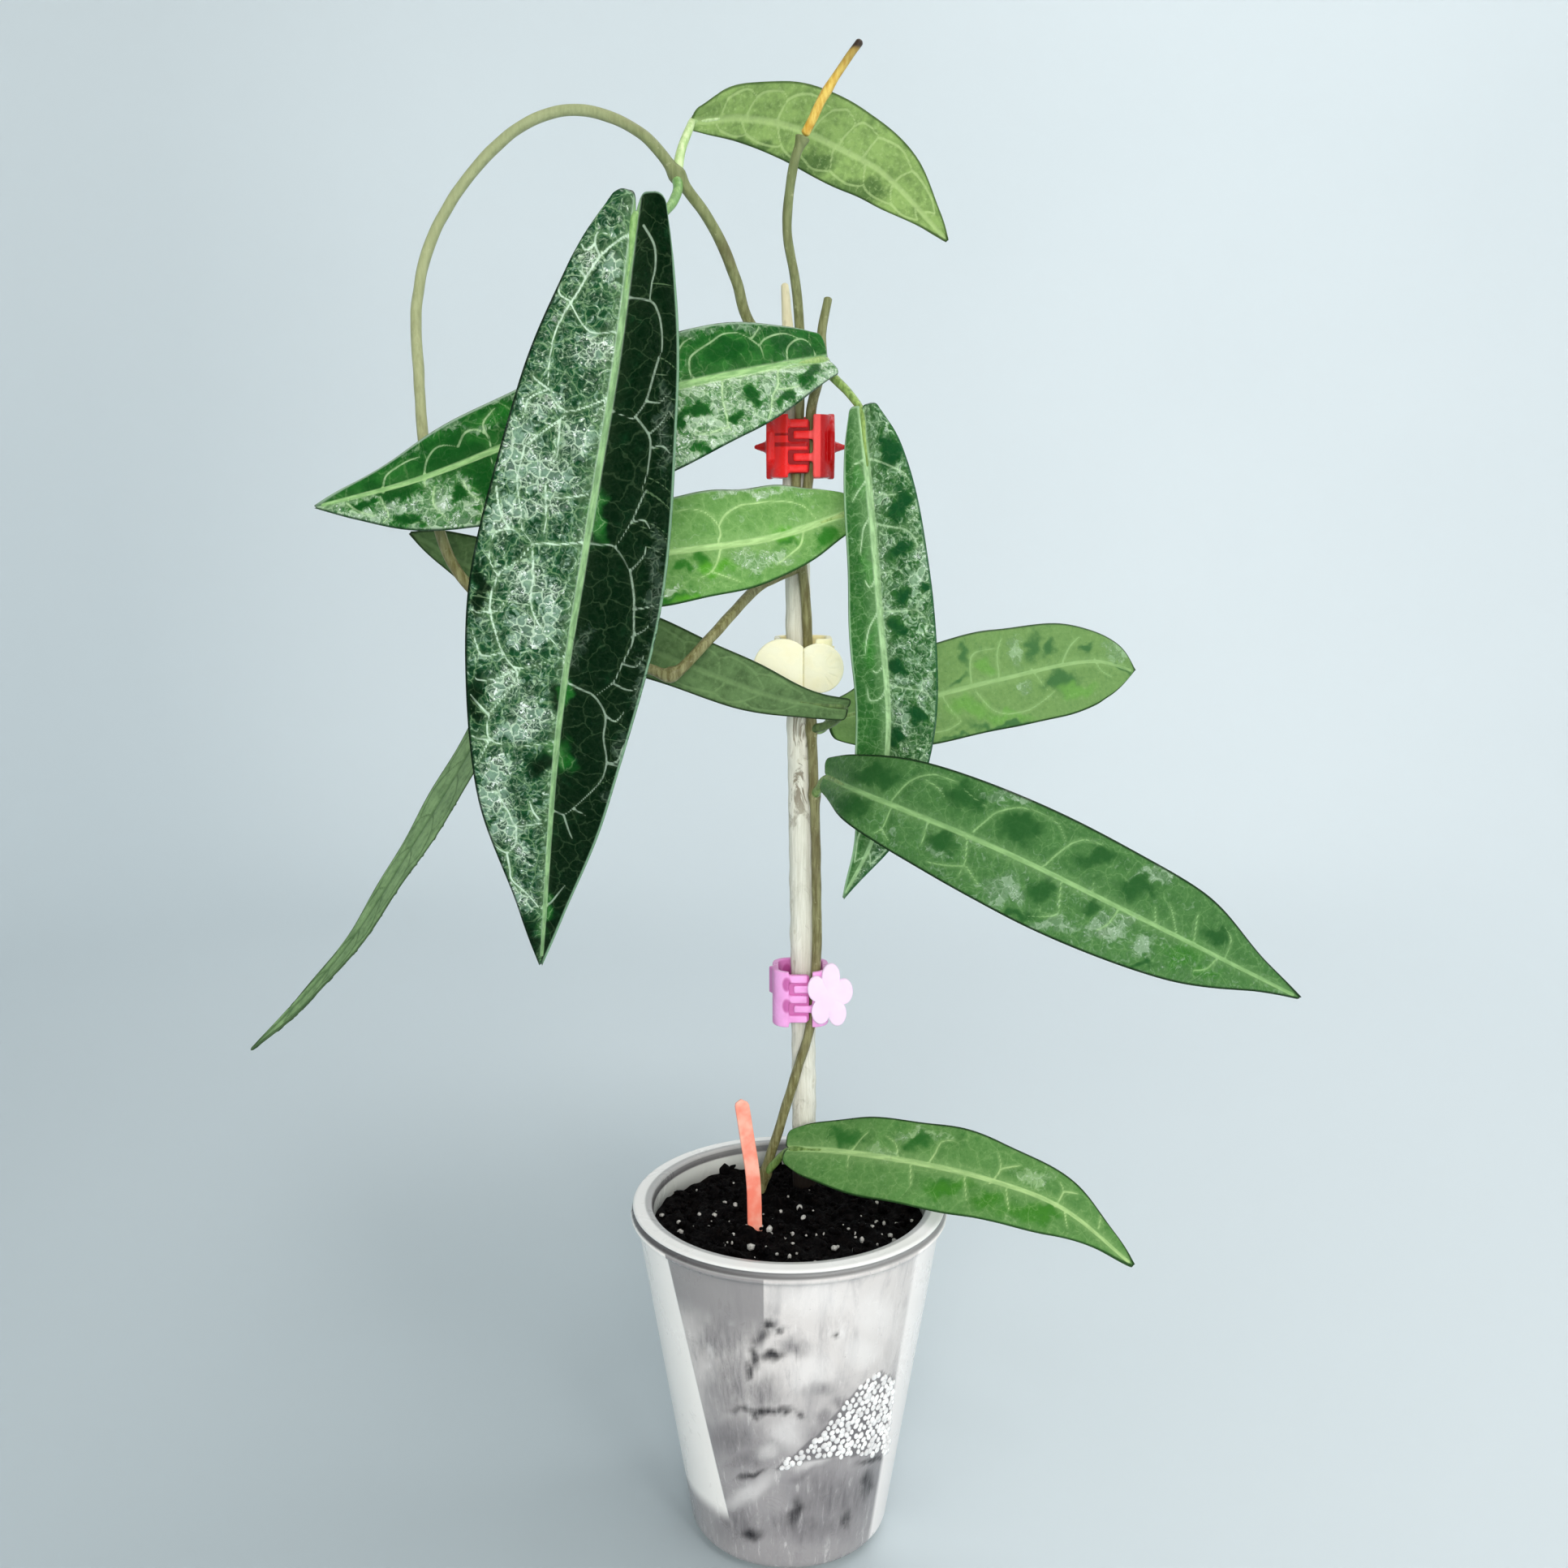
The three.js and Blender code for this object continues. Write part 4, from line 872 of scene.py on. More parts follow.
# Soft zones on the same leaves, as pixels of the photograph: centre and reach, across and down.
ZONES_PX = {
    "leaf_front": {
        "silver": [
            (752, 330, 16, 26), (723, 324, 16, 22), (728, 436, 28, 24), (748, 430, 14, 20),
            (664, 500, 34, 18), (640, 560, 32, 60), (708, 540, 30, 32), (680, 585, 44, 30),
            (655, 625, 60, 18), (618, 640, 22, 26), (648, 716, 36, 34), (680, 745, 18, 34),
            (655, 775, 40, 28), (618, 845, 30, 26), (654, 882, 30, 30), (634, 902, 36, 16),
            (610, 950, 28, 24), (610, 982, 30, 26), (622, 1022, 28, 22), (642, 1045, 16, 24),
            # The thin strips along the margin, from (818, 520) to (752, 985), are painted sheen.
            (640, 1105, 24, 22), (818, 520, 10, 70), (808, 730, 12, 90), (790, 860, 10, 60),
            (768, 930, 12, 40), (752, 985, 10, 20), (716, 788, 14, 20), (706, 812, 12, 12),
        ],
        "deep": [
            (694, 862, 14, 26), (664, 940, 20, 14), (585, 860, 12, 40), (590, 720, 10, 40),
            (650, 1150, 20, 30),
        ],
        "fresh": [(736, 640, 14, 40), (692, 930, 20, 26), (672, 1130, 10, 30), (698, 855, 10, 20)],
    },
    "leaf_upper_left": {
        "silver": [
            # The long thin strips along the margins, (905, 403), (560, 528), (510, 560) and (620, 492), are
            # painted sheen.
            (882, 492, 16, 14), (878, 515, 20, 12), (860, 544, 36, 12), (945, 477, 18, 16),
            (972, 458, 24, 10), (994, 484, 16, 12), (844, 412, 26, 10), (905, 403, 60, 6),
            (545, 617, 18, 20), (482, 624, 14, 18), (512, 630, 22, 8), (530, 636, 16, 10),
            (567, 590, 18, 7), (560, 528, 60, 5), (510, 560, 40, 5), (620, 492, 34, 5),
        ],
        "deep": [
            (892, 432, 40, 20), (964, 427, 28, 15), (990, 430, 16, 12), (924, 486, 13, 15), (858, 508, 15, 8),
            (841, 523, 9, 15), (999, 462, 13, 15), (967, 492, 13, 10), (910, 517, 10, 8), (872, 555, 26, 8),
            # The first patch on the next line, at (600, 588), is painted shadow, cast by leaf_front.
            (600, 588, 22, 36), (564, 612, 11, 13), (505, 643, 24, 7), (450, 626, 20, 7), (560, 562, 70, 34),
            (478, 604, 50, 14),
        ],
        "fresh": [(837, 455, 14, 26), (615, 515, 20, 14)],
    },
    "leaf_middle": {
        "silver": [
            (932, 690, 34, 15), (850, 700, 16, 7), (823, 727, 12, 10), (960, 690, 20, 10),
            # The long thin strip (930, 607) along the upper margin is painted sheen.
            (930, 607, 80, 5),
        ],
        "deep": [
            (867, 688, 12, 11), (841, 701, 17, 7), (964, 667, 14, 10), (1016, 664, 20, 14),
            (830, 738, 30, 8),
        ],
        "fresh": [(964, 660, 26, 12), (880, 700, 30, 12), (850, 742, 30, 8)],
    },
    "leaf_upright_right": {
        "silver": [
            (1136, 600, 8, 50), (1140, 680, 10, 50), (1128, 720, 16, 20), (1094, 740, 8, 18),
            (1112, 795, 12, 6), (1108, 832, 10, 10), (1086, 620, 8, 20), (1112, 885, 20, 30),
            (1140, 860, 8, 40), (1090, 670, 6, 20),
        ],
        "deep": [
            (1096, 553, 18, 24), (1110, 620, 14, 30), (1108, 675, 16, 12), (1113, 735, 11, 16),
            (1104, 770, 12, 14), (1106, 818, 14, 12), (1128, 884, 14, 14), (1104, 905, 12, 16),
            (1135, 728, 7, 7),
        ],
        "fresh": [(1074, 800, 10, 40), (1060, 590, 8, 30), (1070, 700, 8, 30)],
    },
    "leaf_right_rear": {
        "silver": [(1378, 800, 18, 22), (1252, 805, 10, 20), (1262, 846, 10, 8)],
        "deep": [
            (1188, 812, 7, 16), (1179, 839, 10, 5), (1273, 794, 11, 20), (1294, 800, 9, 12),
            (1304, 841, 24, 14), (1338, 797, 13, 6), (1382, 822, 8, 5), (1244, 896, 64, 6),
            (1182, 910, 30, 4),
        ],
        "fresh": [(1213, 820, 15, 15), (1197, 872, 34, 16), (1240, 884, 40, 8), (1330, 850, 30, 12)],
    },
    "leaf_lower_right": {
        "silver": [
            (1248, 982, 50, 8), (1362, 1144, 30, 20), (1424, 1078, 34, 10), (1403, 1167, 14, 14),
            (1240, 1096, 34, 22), (1155, 1046, 18, 14), (1390, 1130, 16, 10), (1300, 1140, 30, 10),
        ],
        "deep": [
            (1078, 957, 40, 15), (1192, 984, 26, 20), (1258, 1020, 36, 20), (1350, 1057, 34, 12),
            (1403, 1094, 28, 16), (1166, 1036, 18, 16), (1284, 1097, 22, 13), (1050, 992, 24, 16),
            (1342, 1118, 12, 10), (1500, 1150, 20, 12), (1240, 1128, 40, 6), (1400, 1190, 30, 5),
        ],
        "fresh": [(1455, 1176, 36, 20), (1490, 1196, 24, 8)],
    },
    "leaf_bottom_right": {
        "silver": [(1130, 1400, 40, 8), (1090, 1420, 20, 8), (1270, 1450, 30, 12)],
        "deep": [(1039, 1401, 24, 12), (1130, 1411, 20, 12), (1160, 1460, 16, 10), (1290, 1496, 14, 10)],
        "fresh": [(1168, 1464, 40, 14), (1274, 1495, 56, 16), (1220, 1478, 30, 14)],
    },
    "leaf_top_right": {"deep": [(926, 182, 40, 14), (985, 202, 60, 18), (1056, 236, 50, 24)]},
}


class Blade:
    """A leaf blade as a surface over t, the share of the midrib, and v, from -1 at the left edge to 1."""

    def __init__(self, leaf, seed):
        self.leaf = leaf
        self.route = Route(leaf["midrib"])
        self.profiles = {side: self.width_table(leaf[side]) for side in ("left", "right")}
        numbers = repeatable(seed)
        self.phases = [2 * math.pi * next(numbers), 2 * math.pi * next(numbers)]

    @staticmethod
    def width_table(half_widths):
        """Half-widths over t, by a smooth curve through the stations."""
        return smooth_line(list(zip(BLADE_STATIONS, [*half_widths, BLADE_TIP])), 24)

    def half_width(self, t, v):
        widths = [np.interp(t, *self.profiles[side].T) for side in ("left", "right")]
        return np.where(v < 0, *widths)

    def axes(self, t):
        tangent = self.route.tangent(t)
        at_base, at_tip = np.array(self.leaf["facing"], float)
        normal = at_base + (at_tip - at_base) * np.asarray(t)[..., None]
        normal = unit(normal - tangent * np.sum(normal * tangent, axis=-1, keepdims=True))
        return tangent, normal, np.cross(tangent, normal)

    def middle(self, t, v):
        """The blade's middle surface and its normal direction."""
        tangent, normal, across = self.axes(t)
        half = self.half_width(t, v)
        phase = np.where(v < 0, *self.phases)
        wave = self.leaf.get("wave", EDGE_WAVE) * v * v * np.sin(2 * math.pi * EDGE_WAVES * t + phase)
        outer = np.sqrt(np.maximum(1 - (2 * np.abs(v) - 1) ** 2, 0))
        notch = 1 - np.abs(1 - 2 * np.abs(v)) ** LOBE_FULLNESS
        round_lobe = np.where(np.abs(v) > 0.5, outer, notch)
        lobe = self.leaf["lobe"] * round_lobe * np.maximum(0, 1 - t / LOBE_REACH)
        fold = math.radians(self.leaf["fold"])
        point = self.route.at(t) + across * (v * half * math.cos(fold))[..., None]
        point = point + normal * (np.abs(v) * half * math.sin(fold) + wave)[..., None]
        return point - tangent * lobe[..., None], normal

    def flat(self, t, v):
        """The place on the blade laid flat, in millimetres along and across."""
        return np.stack([t * self.route.length, v * self.half_width(t, v)], axis=-1)


def shown_grid(blade):
    """A grid of places on a blade, with the pixels where they show in the photograph's frame."""
    t, v = np.meshgrid(np.linspace(0, 1, SHOWN_ROWS), np.linspace(-1, 1, SHOWN_COLUMNS), indexing="ij")
    shown = pixels_of(blade.middle(t, v)[0]).reshape(-1, 2)
    return np.stack([t.ravel(), v.ravel()], axis=-1), shown


def drawn_veins(name, blade):
    """The veins read off the photograph, carried from its pixels to the blade."""
    places, shown = shown_grid(blade)
    lines = []
    for line in VEINS_PX.get(name, []):
        nearest = [np.argmin(np.sum((shown - pixel) ** 2, axis=1)) for pixel in line]
        lines.append(places[nearest])
    return lines


def arched_veins(leaf, random, first=0.0, last=1.0):
    """Secondary veins that leave the midrib almost square and end in arches near the margin."""
    lines = []
    for side in (-1, 1):
        count = leaf["ribs"]
        stations = (np.arange(count) + 0.55 + 0.4 * (random.random(count) - 0.5)) / (count + 0.25)
        stations = 0.04 + 0.9 * stations
        corners = []
        for t in stations:
            lean = random.uniform(0.012, 0.04)
            end = (t + lean, side * random.uniform(0.56, 0.66))
            if first <= t <= last:
                lines.append(np.array([(t, 0), (t + 0.25 * lean, end[1] * 0.45), end]))
                corners.append(end)
        for (t0, v0), (t1, v1) in zip(corners, corners[1:]):
            peak = (t0 + (t1 - t0) * random.uniform(0.45, 0.7), side * random.uniform(0.76, 0.84))
            low = (t0 + (t1 - t0) * 0.2, side * 0.72)
            lines.append(np.array([(t0, v0), low, peak, (t1 - (t1 - t0) * 0.12, side * 0.7), (t1, v1)]))
    return lines


def main_veins(name, blade, random):
    """Drawn veins where the photograph shows them, and arched ones where it doesn't."""
    drawn = drawn_veins(name, blade)
    if not drawn:
        return arched_veins(blade.leaf, random)
    if "hidden" in blade.leaf:
        drawn += arched_veins(blade.leaf, random, *blade.leaf["hidden"])
    return drawn


def zone_field(shown, zones, wobble=1.0):
    """How far each place lies inside any of a few soft ellipses, from 0 to 1. A fifth value tilts one."""
    field = np.zeros(len(shown))
    ragged = shown.copy()
    for pace, reach in ZONE_WOBBLES:
        ragged[:, 0] += wobble * reach * np.sin(shown[:, 1] / pace + 0.7 * np.cos(shown[:, 0] / pace))
        ragged[:, 1] += wobble * reach * np.cos(shown[:, 0] / pace + 0.9 * np.sin(shown[:, 1] / pace))
    for x, y, reach_x, reach_y, *tilt in zones:
        angle = math.radians(tilt[0] if tilt else 0)
        right, down = ragged[:, 0] - x, ragged[:, 1] - y
        along = (right * math.cos(angle) + down * math.sin(angle)) / reach_x
        across = (down * math.cos(angle) - right * math.sin(angle)) / reach_y
        field = np.maximum(field, 1 - smooth_step(0.2, 1.45, np.hypot(along, across)))
    return field


def blade_zones(name, blade, t, v):
    """The shares of silver, deep green and fresh green at places on a blade. In places the deep green is
    painted shade and shadow, and the silver is painted sheen.
    """
    look = blade.leaf["look"]
    shown = pixels_of(blade.middle(t, v)[0]).reshape(-1, 2)
    right = smooth_step(-0.06, 0.06, v.ravel())
    zones = ZONES_PX.get(name, {})
    spots = {kind: zone_field(shown, zones.get(kind, [])) for kind in ("silver", "deep", "fresh")}
    silver = look["silver_left"] + (look["silver_right"] - look["silver_left"]) * right
    deep = look["deep_left"] + (look["deep_right"] - look["deep_left"]) * right
    silver = np.maximum(silver, spots["silver"]) * (1 - 0.9 * spots["deep"])
    deep = np.maximum(deep * (1 - 0.6 * spots["fresh"]), spots["deep"])
    return silver, deep, spots["fresh"]


def minor_veins(leaf_lines, length, random, skipped, forks):
    """Short veins from the corners of the network to the margin, and forks inside its cells."""
    lines = []
    for line in leaf_lines:
        for t, v in line:
            if abs(v) < 0.4 or random.random() < skipped:
                continue
            side = math.copysign(1, v)
            drift = random.uniform(-3.5, 3.5) / length
            middle = (t + drift * 0.4, v + side * (0.97 - abs(v)) * 0.5)
            lines.append(np.array([(t, v), middle, (t + drift, side * 0.96)]))
    for side in (-1, 1) if forks else ():
        for t in np.arange(0.03, 0.97, 9.0 / length):
            start = t + random.uniform(-2.2, 2.2) / length
            reach = random.uniform(0.22, 0.4)
            fork = (start + random.uniform(0.5, 2.5) / length, side * reach)
            lines.append(np.array([(start, 0), fork]))
            for turn in (-1, 1):
                spread = turn * random.uniform(2.2, 4.2) / length
                tip = (fork[0] + spread, side * (reach + random.uniform(0.08, 0.22)))
                lines.append(np.array([fork, tip]))
    return lines


def segments_of(blade, lines, start_width, end_width):
    """Each line as segments on the flat blade: ends in millimetres and the vein's half-width there."""
    rows = []
    for line in lines:
        smooth = smooth_line(line, 4)
        flat = blade.flat(smooth[:, 0], smooth[:, 1])
        shares = np.linspace(0, 1, len(smooth))
        widths = start_width + (end_width - start_width) * shares**2
        for i in range(len(smooth) - 1):
            rows.append((*flat[i], *flat[i + 1], widths[i], widths[i + 1]))
    return np.array(rows)


def vein_field(flat, segments):
    """The least distance to the veins, in millimetres and in vein half-widths."""
    nearest = np.full(len(flat), 1e3)
    scaled = np.full(len(flat), 1e3)
    for x0, y0, x1, y1, w0, w1 in segments:
        dx, dy = x1 - x0, y1 - y0
        span = max(dx * dx + dy * dy, 1e-9)
        near = np.abs(flat[:, 0] - (x0 + x1) / 2) < abs(dx) / 2 + VEIN_REACH
        along = np.clip(((flat[near, 0] - x0) * dx + (flat[near, 1] - y0) * dy) / span, 0, 1)
        gap = np.hypot(flat[near, 0] - x0 - along * dx, flat[near, 1] - y0 - along * dy)
        nearest[near] = np.minimum(nearest[near], gap)
        scaled[near] = np.minimum(scaled[near], gap / (w0 + (w1 - w0) * along))
    return nearest, scaled


def bubble_domes(flat, size, random):
    """Low domes packed side by side, from 0 between them to 1 on top."""
    cells = flat / size
    seats = random.uniform(-0.38, 0.38, (BUBBLE_GRID, BUBBLE_GRID, 2))
    home = np.floor(cells).astype(int)
    gaps = []
    for step_x in (-1, 0, 1):
        for step_y in (-1, 0, 1):
            column, row = home[:, 0] + step_x, home[:, 1] + step_y
            seat = np.stack([column, row], axis=-1) + 0.5 + seats[column % BUBBLE_GRID, row % BUBBLE_GRID]
            gaps.append(np.linalg.norm(cells - seat, axis=1))
    gaps = np.sort(np.array(gaps), axis=0)
    return smooth_step(0.0, 0.5, gaps[1] - gaps[0])


def leaf_paint(name, leaf):
    """Waxy green with pale veins, silvery flecks, painted white glints, a thin margin painted pale in places
    as sheen, and a duller underside.
    """
    look = leaf["look"]
    main_vein, minor_vein, net_vein, cell_vein = look["veins"]
    glint_white = srgb(236, 246, 238)
    paint = Paint("blade_" + name, "2D", Coat_Roughness=0.07, Specular_IOR_Level=0.05)
    place = paint.attribute("blade_place", "Vector")
    _, across, edge = paint.split(place)
    upper = paint.attribute("blade_upper")
    vein = paint.attribute("blade_vein")
    minor = paint.attribute("blade_minor")
    silver_zone = paint.attribute("blade_silver")
    deep_zone = paint.attribute("blade_deep")
    fresh_zone = paint.attribute("blade_fresh")

    # Ground: three greens in soft patches, with a lively grain that is quieter where the green is deep.
    sparse = paint.noise(place, 3.4, 3, 0.55)
    patch = paint.blend(0.45, paint.noise(place, 6.0, 3, 0.6), paint.noise(place, 1.9, 4, 0.65))
    deep = paint.step(paint.math("ADD", patch, paint.times(deep_zone, 0.6)), 0.44, 1.1)
    quiet = paint.step(deep_zone, 0.1, 0.75, 1.0, 0.1)
    fresh = paint.step(paint.math("ADD", paint.times(patch, 0.5), fresh_zone), 0.45, 1.3)
    ground = paint.mix(deep, look["ground"], look["deep"])
    ground = paint.mix(fresh, ground, look["fresh"])
    lively = paint.noise(place, 1.3, 4, 0.65)
    ground = paint.mix(paint.times(quiet, paint.step(lively, 0.52, 0.8, 0, 0.2)), ground, look["vein"])
    ground = paint.mix(paint.step(lively, 0.46, 0.22, 0, 0.4), ground, look["deep"])

    # Cells between the drawn veins, darker in their middle and parted by faint pale threads.
    drift_inputs = {"Vector": place, "Scale": 1 / 2.4, "Detail": 2.0}
    drift = paint.add("ShaderNodeTexNoise", drift_inputs, noise_dimensions="2D")
    pushed = paint.add("ShaderNodeVectorMath", {0: drift.outputs["Color"], "Scale": 2.2}, operation="SCALE")
    bent = paint.add("ShaderNodeVectorMath", {0: place, 1: pushed.outputs[0]}).outputs[0]
    cell_gap = paint.cells(bent, CELL_SIZE, "DISTANCE_TO_EDGE")
    seen_cells = paint.step(deep_zone, 0.4, 0.8, cell_vein, cell_vein * 0.15)
    ground = paint.mix(paint.times(seen_cells, paint.step(cell_gap, 0.08, 0.34)), ground, look["deep"])
    cell_thread = paint.times(seen_cells, paint.step(cell_gap, 0.01, 0.05, 0.8, 0))
    ground = paint.mix(cell_thread, ground, look["vein"])

    # Lace: small cells, some silvery and some green, with a net of pale lines between them.
    gap = paint.cells(bent, 2.4, "DISTANCE_TO_EDGE")
    pick = paint.split(paint.cells(bent, 2.4, output="Color"))[0]
    thread = paint.step(gap, 0.03, 0.12, 1.0, 0.0)
    small_gap = paint.cells(bent, 1.15, "DISTANCE_TO_EDGE")
    small_thread = paint.times(paint.step(small_gap, 0.04, 0.16, 1.0, 0.0), paint.step(pick, 0.5, 0.65))
    tear = paint.noise(place, 2.0, 4, 0.6, 1.2)
    silver = paint.step(paint.math("ADD", tear, paint.times(silver_zone, 0.5)), 0.62, 0.92)
    silver = paint.times(silver, paint.step(deep_zone, 0.2, 0.8, 1.0, 0.12))
    green_cells = paint.step(pick, 0.4, 0.55)
    haze = paint.times(silver, paint.blend(green_cells, look["haze"], look["haze"] * 0.35))
    ground = paint.mix(haze, ground, look["silver"])
    ground = paint.mix(paint.times(paint.times(silver, green_cells), 0.25), ground, look["deep"])
    bright = paint.mix(paint.times(silver_zone, 0.5), look["vein"], srgb(222, 238, 224))
    lace = paint.math("MAXIMUM", thread, paint.times(small_thread, 0.6))
    lace = paint.times(lace, paint.blend(silver, paint.times(quiet, net_vein), look["lace"]))
    ground = paint.mix(lace, ground, bright)

    # Painted glints: white traces and specks on the silver, standing in for highlights on a wet skin.
    ridge = paint.math("ABSOLUTE", paint.math("SUBTRACT", paint.noise(place, 1.7, 2, 0.5, 1.0), 0.5))
    glint_worm = paint.times(paint.step(ridge, 0.01, 0.04, 1.0, 0.0), paint.step(sparse, 0.5, 0.6))
    speck = paint.step(paint.cells(place, 2.0), 0.06, 0.16, 1.0, 0.0)
    speck = paint.times(speck, paint.step(sparse, 0.5, 0.4))
    wet = paint.times(paint.math("MAXIMUM", glint_worm, speck), paint.step(silver, 0.5, 1.0, 0.0, look["wet"]))
    ground = paint.mix(wet, ground, glint_white)

    # Veins, fainter on the deep green, with the midrib greener and streaked.
    line = paint.step(vein, 0.6, 1.6, 1.0, 0.0)
    small = paint.step(minor, 0.7, 1.7, 1.0, 0.0)
    glow = paint.times(quiet, paint.step(vein, 1.0, 6.0, 0.16, 0.0))
    strength = paint.blend(deep_zone, main_vein, main_vein * 0.42)
    strength = paint.times(strength, paint.step(sparse, 0.34, 0.6, 0.65, 1.0))
    ground = paint.mix(glow, ground, look["vein"])
    small = paint.times(small, paint.blend(deep_zone, minor_vein, minor_vein * 0.4))
    ground = paint.mix(small, ground, bright)
    ground = paint.mix(paint.times(line, strength), ground, look.get("line", look["vein"]))
    reach = paint.math("ABSOLUTE", across)
    rib = paint.step(reach, leaf["midrib_width"] * 0.7, leaf["midrib_width"] * 1.25, 1.0, 0.0)
    rib = paint.times(rib, paint.step(vein, 0.8, 1.5, 1.0, 0.0))
    streak = paint.noise(paint.stretched(place, (0.14, 1, 1)), 0.8, 3, 0.6)
    rib_shade = paint.mix(0.45, look["vein"], look["ground"])
    rib_color = paint.mix(paint.step(streak, 0.35, 0.7), rib_shade, look["vein"])
    ground = paint.mix(paint.times(rib, main_vein), ground, rib_color)
    # Margin: the leaf's own thin dark edge, and where a margin colour is pale, a painted sheen along the
    # edge.
    rim = paint.step(edge, 0.3, 0.8, 1.0, 0.0)
    side = paint.step(across, -1, 1)
    margin_and_sheen_color = paint.mix(side, look["margin_left"], look["margin_right"])
    ground = paint.mix(paint.times(rim, 0.9), ground, margin_and_sheen_color)

    # Underside: paler and duller, with faint veins.
    below = paint.mix(paint.step(patch, 0.35, 0.75, 0, 0.5), look["under"], look["deep"])
    below = paint.mix(paint.step(deep_zone, 0.3, 0.9, 0, 0.6), below, look["deep"])
    below = paint.mix(paint.step(lively, 0.5, 0.75, 0, 0.3), below, look["vein"])
    below = paint.mix(paint.times(paint.step(vein, 0.7, 2.4, 1.0, 0.0), main_vein), below, look["vein"])
    below = paint.mix(paint.times(rim, 0.75), below, look["margin_left"])
    paint.set("Base Color", paint.mix(upper, below, ground))

    # Gloss: waxy above, wet on the silver, dull below.
    waxy = paint.blend(silver, paint.step(sparse, 0.3, 0.75, 0.26, 0.42), 0.18)
    paint.set("Roughness", paint.blend(upper, 0.6, waxy))
    paint.set("Coat Weight", paint.times(upper, paint.times(silver, look["wet"])))

    # Relief: fine grain all over, and small domes in the lace.
    grain = paint.noise(place, 1.0, 3, 0.65)
    dome = paint.times(paint.step(gap, 0.0, 0.4), paint.blend(silver_zone, 0.1, 0.9))
    height = paint.math("ADD", paint.times(grain, 0.5), dome)
    paint.bump(paint.times(height, paint.blend(upper, 0.25, 1.0)), 0.42 * look["wrinkle"])
    return paint.material


def petiole_paint(name, main, pale):
    paint = Paint("petiole_" + name, Coat_Weight=0.2, Coat_Roughness=0.2, Specular_IOR_Level=0.4)
    place = paint.place()
    streaks = paint.noise(paint.stretched(place, (1, 1, 0.3)), 1.2, 4, 0.6)
    color = paint.mix(paint.step(streaks, 0.3, 0.7), main, pale)
    speck = paint.noise(place, 0.6, 3, 0.6)
    color = paint.mix(paint.step(speck, 0.6, 0.75, 0, 0.4), color, srgb(96, 104, 54))
    paint.set("Base Color", color)
    paint.set("Roughness", paint.step(streaks, 0.2, 0.8, 0.35, 0.5))
    paint.bump(speck, 0.12)
    return paint.material


def blade_relief(blade, t, v, nearest, scaled, domes, upper):
    """How far the skin stands off the middle surface, on the upper or the lower face."""
    leaf = blade.leaf
    length = blade.route.length
    rim = np.sqrt(np.maximum(1 - np.abs(v) ** 10, 0))
    ends = np.sqrt(np.clip(1 - (1 - np.clip(np.minimum(t, 1 - t) * length / 1.5, 0, 1)) ** 4, 0, 1))
    body = BLADE_THICKNESS / 2 * rim * ends
    left, right = leaf["pucker"]
    pucker = np.where(v < 0, left, right) * smooth_step(0.3, 3.2, nearest) * (1 - np.abs(v) ** 6) * ends
    if upper:
        groove = VEIN_GROOVE * (1 - smooth_step(0.5, 1.8, scaled))
        left, right = leaf.get("bubbles", (0, 0))
        blisters = np.where(v < 0, left, right) * domes * smooth_step(0.5, 2.0, nearest) * (1 - v**8) * ends
        return body + pucker + blisters - 0.2 - groove * ends
    rib = MIDRIB_RELIEF * (1 - t) * np.exp(-((v * blade.half_width(t, v) / 1.1) ** 2))
    ridge = VEIN_RIDGE * (1 - smooth_step(0.4, 2.0, scaled))
    return body + (rib + ridge) * ends - pucker * 0.6


